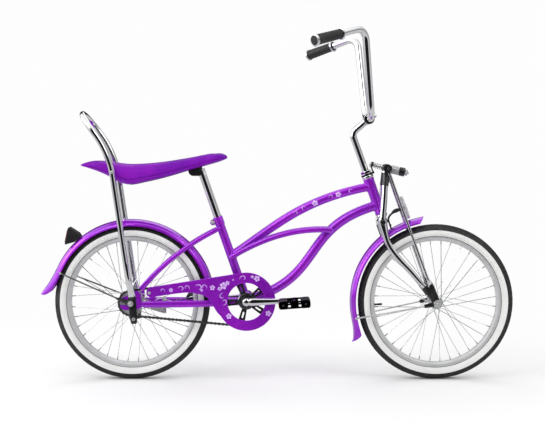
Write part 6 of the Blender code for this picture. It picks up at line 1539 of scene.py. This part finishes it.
for label, side in SIDES:
    out = LEFT * side
    leg_rows = eased(LEG_ROWS, 5)
    add_piece("springer_leg_" + label, steered_bar(leg_rows, side, foot=LEG_FOOT), [CHROME, GLOSS_BLACK_AND_REFLECTION],
        "steering", ["fork_leg_" + label])
    # The black sleeve over the leg's flattened upper part is a painted reflection of dark surroundings in the
    # flat chrome.
    sleeve_rows = [row for row in leg_rows if 0.4125 < row[2] < 0.453]
    top_end, low_end = ((*row[:3], row[3] - 0.0012, row[4] - 0.0012) for row in (sleeve_rows[0],
        sleeve_rows[-1]))
    add_piece("leg_sleeve_" + label, steered_bar([top_end, *sleeve_rows, low_end], side, 0.0009),
        [GLOSS_BLACK_AND_REFLECTION], "steering")
    strut_rows = eased(STRUT_ROWS, 4)
    add_piece("springer_strut_" + label, steered_bar(strut_rows, side, foot=STRUT_FOOT), [CHROME,
        GLOSS_BLACK_AND_REFLECTION], "steering", ["fork_strut_" + label])
    # The black tab over the strut's flattened upper end is a painted reflection like the sleeve's.
    tab_rows = [row for row in strut_rows if 0.44 < row[2] < 0.4745]
    add_piece("strut_tab_" + label, steered_bar(tab_rows, side, 0.0005), [GLOSS_BLACK_AND_REFLECTION], "steering")
    pivot = [(0.0002, 0.036), (0.0044, 0.036), (0.0044, 0.0595), (0.0082, 0.0596), (0.0086, 0.0604), (0.0086,
        0.0632), (0.0078, 0.0648), (0.0058, 0.0656), (0.0046, 0.0656), (0.004, 0.0644), (0.0002, 0.0644)]
    add_piece("pivot_bolt_" + label, lathe(pivot, 36, crown_middle, out), [GLOSS_BLACK_AND_REFLECTION], "steering")

SPRING_TILT = math.radians(33)
BOLT_ALONG = STEERING_FORWARD * math.cos(SPRING_TILT) + STEERING_UP * -math.sin(SPRING_TILT)
BOLT_UP = STEERING_FORWARD * math.sin(SPRING_TILT) + STEERING_UP * math.cos(SPRING_TILT)
yoke_middle = steered(YOKE_PLACE[0], 0, YOKE_PLACE[1])


def beside_bolt(along, rise=0.0, across=0.0):
    """A place by the spring bolt, from the middle of the yoke."""
    return yoke_middle + BOLT_ALONG * along + BOLT_UP * rise + LEFT * across


yoke_rows = [(-0.0206, 0.009, 0.009), (-0.02, 0.011, 0.0108), (-0.015, 0.0122, 0.0112), (0.0, 0.0134, 0.0116),
    (0.015, 0.0122, 0.0112), (0.02, 0.011, 0.0108), (0.0206, 0.009, 0.009)]
yoke_parts = [swept([beside_bolt(0, 0.001, place) for place, _, _ in yoke_rows], [(along, rise) for _, along,
    rise in yoke_rows], 40, BOLT_ALONG), lathe([(0.0046, -0.0136), (0.0108, -0.0136), (0.0114, -0.0128),
    (0.0114, 0.0128), (0.0108, 0.0136), (0.0046, 0.0136)], 40, yoke_middle, BOLT_ALONG, ring=True)]
add_piece("springer_yoke", joined(*yoke_parts), [GLOSS_BLACK_AND_REFLECTION], "steering", ["fork_yoke"])
yoke_eyes = [lathe([(0.0046, 0.019), (0.0126, 0.019), (0.0138, 0.0198), (0.0138, 0.0352), (0.013, 0.0362),
    (0.0046, 0.0362)], 44, yoke_middle, LEFT * side, ring=True) for _, side in SIDES]
add_piece("yoke_eyes", joined(*yoke_eyes), [GLOSS_BLACK_AND_REFLECTION], "steering")
stud_parts = []
for _, side in SIDES:
    out = LEFT * side
    stud_parts.append(lathe([(0.0002, 0.019), (0.0042, 0.019), (0.0042, 0.036), (0.0078, 0.0361), (0.008,
        0.0366), (0.008, 0.0372), (0.0002, 0.0372)], 32, yoke_middle, out))
    stud_parts.append(hex_nut(yoke_middle + out * 0.0368, out, 0.0128, 0.0038, 0.003))
    stud_parts.append(lathe([(0.0002, 0.04), (0.003, 0.04), (0.0024, 0.0409), (0.0002, 0.0409)], 20,
        yoke_middle, out))
add_piece("yoke_studs", joined(*stud_parts), [CHROME], "steering")


# Springs: a light coil behind the yoke and a stout one in front of it, on a long bolt that passes from
# the headset's bracket to a black collar and a domed nut.

def coil(start, end, radius, wire_radius, turns, sides=14):
    """A spring round the bolt whose last turn at each end closes up flat."""
    steps = turns * 28
    path = []
    for k in range(steps + 1):
        share = k / steps
        flat = min(1.0, share * turns / 0.9, (1 - share) * turns / 0.9)
        settled = share + (0.5 - share) * 0.02 * (1 - flat)
        angle = 2 * math.pi * turns * share
        path.append(beside_bolt(start + wire_radius + (end - start - 2 * wire_radius) * settled, radius
            * math.sin(angle), radius * math.cos(angle)))
    return swept(path, wire_radius, sides, BOLT_ALONG)


add_piece("coil_rear", coil(-0.0467, -0.014, 0.0082, 0.0016, 5), [CHROME], "steering",
    ["rear_spring"])
add_piece("coil_front", coil(0.014, 0.0422, 0.0119, 0.0022, 6), [ZINC], "steering",
    ["front_spring"])
add_piece("spring_rod", joined(lathe([(0.0002, -0.0574), (0.0056, -0.0573), (0.0068, -0.0562), (0.007,
    -0.0545), (0.007, -0.0533), (0.0039, -0.0532), (0.0039, 0.07), (0.0002, 0.07)], 32, yoke_middle,
    BOLT_ALONG), threaded(yoke_middle, BOLT_ALONG, 0.0685, 0.074, 0.004), hex_nut(beside_bolt(0.0604),
    BOLT_ALONG, 0.0176, 0.0088, 0.0038, 0.2), lathe([(0.0038, 0.0136), (0.0124, 0.0136), (0.0128, 0.014),
    (0.0124, 0.0146), (0.0038, 0.0146)], 36, yoke_middle, BOLT_ALONG, ring=True)), [ZINC], "steering",
    ["spring_bolt"])
collar_rows = [(0.004, 0.0421), (0.0128, 0.0421), (0.0141, 0.0428), (0.0145, 0.044)]
for groove in (0.0478, 0.0545):
    collar_rows += [(0.0145, groove - 0.0008), (0.0137, groove - 0.0003), (0.0137, groove + 0.0003), (0.0145,
        groove + 0.0008)]
collar_rows += [(0.0145, 0.0588), (0.0136, 0.06), (0.0118, 0.0603), (0.004, 0.0603)]
add_piece("spring_collar", lathe(collar_rows, 48, yoke_middle, BOLT_ALONG, ring=True), [GLOSS_BLACK_AND_REFLECTION],
    "steering")
kept(CHROME, "spring_bracket", "front_fender_mount")


# Reflectors: a black wedge with a red lens on the rear fender's crown, and a round white lens in a black
# shell carried by a hooked arm in front of the head tube.

RED = (0.5, 0.004, 0.006, 1)
REFLECTOR_ANGLE = 130
REAR_CROWN = 0.2713


def turned_to(shape, origin, first, second, third):
    """The shape with its own X, Y and Z laid along three directions from origin."""
    turn = Matrix((first, second, third)).transposed().to_4x4()
    bmesh.ops.transform(shape, matrix=Matrix.Translation(origin) @ turn, verts=shape.verts)
    return shape


def rounded_plate(wide, high, corner):
    """Outline of a rectangle with round corners, as (x, z)."""
    outline = []
    for across, rise, start in ((1, 1, 0), (-1, 1, 90), (-1, -1, 180), (1, -1, 270)):
        outline += arc((across * (wide / 2 - corner), rise * (high / 2 - corner)), corner, start, start + 90,
            6)
    return outline


LENS_RED, LENS_WHITE = (faceted_lens(name, colour, deep, 380, 0.08, 0.7, 0.0008, Roughness=0.06,
    Coat_Roughness=0.02, IOR=1.49) for name, colour, deep in (("red_lens", RED, (0.2, 0.001, 0.002, 1)),
    ("white_lens", (0.8, 0.8, 0.8, 1), (0.52, 0.53, 0.55, 1))))
SHELL_BLACK = rubber("shell_plastic", (0.014, 0.014, 0.015, 1), 0.36, 500, 0.12, (0.03, 0.03, 0.031, 1))
wedge_out, wedge_back = slope(REFLECTOR_ANGLE), slope(REFLECTOR_ANGLE + 90)
wedge_foot = REAR_AXLE + wedge_out * REAR_CROWN
wedge_loop = [(back, -back * back / (2 * REAR_CROWN) + 0.0001) for back in (-0.01, -0.004, 0.003, 0.01,
    0.017)]
wedge_loop += [(0.0435, 0.0115), (0.0452, 0.0125), (0.045, 0.015), (0.003, 0.0478), (0.0005, 0.0485),
    (-0.0012, 0.0465), (-0.0116, 0.013)]
add_piece("rear_reflector_shell", turned_to(slab(wedge_loop, -0.0235, 0.0235), wedge_foot, wedge_back, LEFT,
    wedge_out), [SHELL_BLACK], "frame", ["rear_reflector"], soften=0.0016)
lens_up = (wedge_out * 0.0328 - wedge_back * 0.042).normalized()
lens_middle = wedge_foot + wedge_back * 0.024 + wedge_out * 0.0314
add_piece("rear_reflector_lens", turned_to(slab(rounded_plate(0.039, 0.044, 0.005), -0.001, 0.0022),
    lens_middle, LEFT, LEFT.cross(lens_up) * -1, lens_up), [LENS_RED], "frame",
    soften=0.0009)

DISC_MIDDLE = (0.08, 0.3245)
DISC_RADIUS = 0.0385
disc_back = steered(DISC_MIDDLE[0] - 0.0045, 0, DISC_MIDDLE[1])
# columns: forward of the steering axis, above the axle's level, half width, half thickness
HOOK_ROWS = [(0.0148, 0.269, 0.0065, 0.0026), (0.015, 0.276, 0.007, 0.0026), (0.0156, 0.299, 0.0058, 0.003),
    (0.0175, 0.308, 0.0052, 0.0034), (0.0235, 0.315, 0.005, 0.0034), (0.034, 0.3205, 0.0052, 0.0034), (0.043,
    0.324, 0.0062, 0.006), (0.048, 0.3246, 0.007, 0.0068), (0.055, 0.3247, 0.0068, 0.0066), (0.058, 0.3246,
    0.0058, 0.0056), (0.076, 0.3245, 0.0055, 0.0055)]
hook_rows = eased(HOOK_ROWS, 5)
add_piece("front_reflector_shell", joined(swept([steered(forward, 0, rise) for forward, rise, _,
    _ in hook_rows], [(wide, thick) for _, _, wide, thick in hook_rows], 24), lathe([(0.0002, 0.0), (0.034,
    0.0), (0.0374, 0.0012), (DISC_RADIUS, 0.003), (DISC_RADIUS, 0.0086), (0.0378, 0.009), (0.0368, 0.0086),
    (0.0364, 0.007), (0.0002, 0.007)], 64, disc_back, STEERING_FORWARD, finish_of=[1] * 8),
    screw_head(steered(0.0176, 0, 0.286), STEERING_FORWARD, 0.0032, 0.0024)), [SHELL_BLACK, LENS_WHITE],
    "steering", ["front_reflector"])
add_piece("front_reflector_lens", lathe([(0.0002, 0.004), (0.0362, 0.004), (0.0362, 0.0078), (0.034, 0.0088),
    (0.02, 0.0094), (0.0002, 0.0096)], 64, disc_back, STEERING_FORWARD), [LENS_WHITE], "steering")


# Stem and handlebar: a bent plated stem whose split clamp holds a tall ape-hanger bar, swept out and
# back to the rider from one tube.

BAR_RADIUS = 0.0111
STEM_RISE = 0.611
CLAMP_PLACE = (0.0672, 0.6368)
BAR_HALF_WIDTH = 0.32
clamp = steered(CLAMP_PLACE[0], 0, CLAMP_PLACE[1])


def rounded(corners, bends, steps=10):
    """A line through corners, rounded at each inner one."""
    path = [corners[0]]
    for index in range(1, len(corners) - 1):
        here, bend = corners[index], bends[index - 1]
        start = here + (corners[index - 1] - here).normalized() * bend
        end = here + (corners[index + 1] - here).normalized() * bend
        path += curve(start, start + (here - start) * 0.56, end + (here - end) * 0.56, end, steps)
    return path + [corners[-1]]


stem_course = rounded([steered(0, 0, 0.402), steered(0, 0, STEM_RISE), clamp - (clamp - steered(0, 0,
    STEM_RISE)) .normalized() * 0.0135], [0.018], 14)
stem_reach = (clamp - steered(0, 0, STEM_RISE)).normalized()
stem_side = LEFT.cross(stem_reach).normalized()
clamp_rows = [(0.0113, -0.024), (0.0168, -0.024), (0.0178, -0.0232), (0.0181, -0.0216), (0.0181, 0.0216),
    (0.0178, 0.0232), (0.0168, 0.024), (0.0113, 0.024)]
pinch = clamp + stem_reach * 0.0195 - stem_side * 0.005
ears = [swept([pinch + stem_side * (0.005 + place) for place in (way * 0.0009, way * 0.0016, way * 0.0056, way
    * 0.0062)], [0.0078, 0.0086, 0.0086, 0.0078], 28, LEFT) for way in (-1, 1)]
add_piece("stem_quill", joined(swept(stem_course, BAR_RADIUS, 36), lathe(clamp_rows, 48, clamp, ring=True),
    *ears, weld_fillet(clamp, -stem_reach, BAR_RADIUS, LEFT, 0.0181)), [CHROME], "steering",
    ["stem"])
pinch_middle = clamp + stem_reach * 0.0195
add_piece("stem_pinch_bolt", joined(lathe([(0.0002, -0.01), (0.0052, -0.0098), (0.0062, -0.0086), (0.0062,
    -0.006), (0.003, -0.0058), (0.003, 0.0115), (0.0002, 0.0117)], 24, pinch_middle, stem_side),
    hex_nut(pinch_middle + stem_side * 0.006, stem_side, 0.011, 0.0046, 0.0029)), [ZINC], "steering")

bar_corners = [Vector((0, BAR_HALF_WIDTH * 0.381, 0)), Vector((-0.026, BAR_HALF_WIDTH * 0.581, 0.28)),
    Vector((-0.186, BAR_HALF_WIDTH, 0.229))]
bar_mirror = [Vector((corner.x, -corner.y, corner.z)) for corner in reversed(bar_corners)]
bar_course = rounded([clamp + corner for corner in bar_mirror + bar_corners], [0.042, 0.045, 0.045, 0.042],
    16)
add_piece("ape_hanger", swept(bar_course, BAR_RADIUS, 36, Vector((0, 0, 1))), [CHROME], "steering",
    ["handlebar"])


# Grips: moulded black rubber with raised diamonds, a chromed ring at each end and a closed end cap.

GRIP_LENGTH = 0.128
GRIP_START = 0.0146             # the rubber's inner end, from the grip's foot
GRIP_AROUND = 14
DIAMOND = ((0.0033, 0), (0, 0.185), (-0.0033, 0), (0, -0.185))  # along the grip, and round it in radians
GRIP_ROWS = 13
GRIP_RUBBER = rubber("grip_rubber", (0.012, 0.012, 0.013, 1), 0.5, 460, 0.2, (0.03, 0.03, 0.029, 1))
grip_along = (bar_corners[2] - bar_corners[1]).normalized()


def grip_stud(place, radius, turn):
    """A raised diamond on a grip that lies along Y."""
    rings = []
    for lift, share in ((-0.0004, 1.0), (0.0007, 0.62)):
        reach = radius + lift
        rings.append([(reach * math.cos(turn + swing * share), place + along * share, reach * math.sin(turn
            + swing * share)) for along, swing in DIAMOND])
    return skin(rings)


for label, side in SIDES:
    along = Vector((grip_along.x, side * grip_along.y, grip_along.z))
    tip = clamp + Vector((bar_corners[2].x, side * bar_corners[2].y, bar_corners[2].z))
    foot = tip + along * (0.003 - GRIP_LENGTH)
    body_rows = [(0.0113, GRIP_START), (0.0168, GRIP_START), (0.0178, GRIP_START + 0.0022), (0.0166,
        GRIP_START + 0.0044), (0.015, GRIP_START + 0.0067), (0.0148, GRIP_START + 0.0102), (0.016, 0.113),
        (0.0166, 0.118), (0.0174, 0.1206), (0.0172, 0.124), (0.016, 0.1262), (0.0142, 0.1275), (0.0136,
        0.1272), (0.0118, 0.1276), (0.006, 0.128), (0.0002, 0.128)]
    add_piece("grip_body_" + label, joined(lathe([(0.0002, 0.124), (0.0113, 0.124), *body_rows], 48, foot,
        along)), [GRIP_RUBBER], "steering", ["grip_" + label])
    rings = [lathe([(0.015, start), (0.0181, start), (0.0192, start + 0.0009), (0.0192, start + wide
        - 0.0009), (0.0181, start + wide), (0.015, start + wide)], 48, foot, along, ring=True) for start,
        wide in ((GRIP_START - 0.0004, 0.0052), (0.1214, 0.0064))]
    add_piece("grip_rings_" + label, joined(*rings), [CHROME], "steering")
    studs = []
    for row in range(GRIP_ROWS):
        share = row / (GRIP_ROWS - 1)
        turn = 0 if row % 2 else math.pi / GRIP_AROUND
        studs.append(grip_stud(0.0262 + 0.0873 * share, 0.0148 + 0.0012 * share, turn))
    knurl = repeated("grip_diamonds_" + label, joined(*studs), GRIP_RUBBER, GRIP_AROUND, Vector(), (0, 2
        * math.pi / GRIP_AROUND, 0))
    across = along.orthogonal().normalized()
    knurl.transform(Matrix.Translation(foot) @ Matrix((across, along,
        across.cross(along))).transposed().to_4x4())
    add_mesh("grip_diamonds_" + label, [knurl], "steering")


# Banana seat: foam on the steel pan under one stretched vinyl cover, crowned on top, pulled down at the
# sides and tucked under the pan along a welted edge. The cover's tightness is simulated as cloth.

VINYL_DEEP = (0.15, 0.003, 0.37, 1)
VINYL = (0.255, 0.004, 0.47, 1)
PAD_VOXEL = 0.004
PAD_MOVE = 0.002                # furthest that the cover swells
PAD_PRESSURE = 4.0
PAD_INSET = 0.0008


def satin_vinyl():
    """Soft vinyl with a fine leather grain, duller in patches."""
    material, tree, shader = shaded("satin_vinyl", Specular_IOR_Level=0.14)
    coloured(tree, shader, smooth_range(tree, noise_texture(tree, 9, 3), 0.35, 0.7), VINYL, VINYL_DEEP)
    uneven(tree, shader, 26, 0.34, 0.46, 3)
    relief(tree, shader, cell_texture(tree, 620, "Distance"), 0.1, 0.0003)
    return material


def seat_form(sides, steps):
    """Pillow sections with a crowned top and a flatter underside, drawn in for the cover to swell."""
    rings = []
    for forward, low, high, half in eased(SEAT_SECTIONS, steps):
        inset = min(PAD_INSET, (high - low) * 0.08)
        low, high = low + inset, high - inset
        middle = low + (high - low) * 0.45
        ring = []
        for c, s in around(sides):
            reach = high - middle if s > 0 else middle - low
            ring.append(above_floor(forward, (half - inset) * math.copysign(abs(c) ** 0.75, c), middle + reach
                * math.copysign(abs(s) ** 0.8, s)))
        rings.append(ring)
    return skin(rings)


def swollen(made):
    """The cover taut over its foam: remeshed, blown out a little as cloth, then made a plain mesh."""
    voxel = made.modifiers.new("even", "REMESH")
    voxel.mode = "VOXEL"
    voxel.voxel_size = PAD_VOXEL
    mesh = baked(made)
    made.modifiers.remove(voxel)
    made.data = mesh
    rest = [vertex.co.copy() for vertex in mesh.vertices]
    cover = made.modifiers.new("cover", "CLOTH")
    cover.settings.use_pressure = True
    cover.settings.uniform_pressure_force = PAD_PRESSURE
    cover.settings.effector_weights.gravity = 0
    cover.settings.tension_stiffness = 25
    cover.settings.quality = 6
    cover.point_cache.frame_start, cover.point_cache.frame_end = 1, 20
    for frame_number in range(1, 21):
        bpy.context.scene.frame_set(frame_number)
    blown = made.evaluated_get(bpy.context.evaluated_depsgraph_get()).to_mesh()
    moved = [vertex.co.copy() for vertex in blown.vertices]
    made.modifiers.remove(cover)
    bpy.context.scene.frame_set(1)
    for vertex, start, end in zip(mesh.vertices, rest, moved):
        step = end - start
        vertex.co = start + step * min(1.0, PAD_MOVE / max(step.length, 1e-9))


seat_cover = linked("seat_cover", mesh_of("seat_cover", seat_form(48, 8), 180))
swollen(seat_cover)
VINYL_COVER = satin_vinyl()
seat_cover.data.materials.clear()
seat_cover.data.materials.append(VINYL_COVER)
seat_cover.data.shade_smooth()
settle = seat_cover.modifiers.new("settled", "SMOOTH")
settle.factor = 0.5
settle.iterations = 2
finer = seat_cover.modifiers.new("finer", "SUBSURF")
finer.levels = finer.render_levels = 1
mount_piece(seat_cover, "frame", ["banana_seat"])

welt_right, welt_left = ([above_floor(forward, side * half * 0.965, low + (high - low) * 0.2) for forward,
    low, high, half in eased(SEAT_SECTIONS[1:-1], 8)] for _, side in SIDES)
welt_line = welt_right + welt_left[::-1]
add_piece("seat_welt", closed_bead(welt_line, 0.0016), [VINYL_COVER], "frame")


# The bicycle's size with and without its finish.

seen_low, seen_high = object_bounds()
sizes = {"cad": [list(cad_low), list(cad_high)], "finished": [list(seen_low), list(seen_high)]}
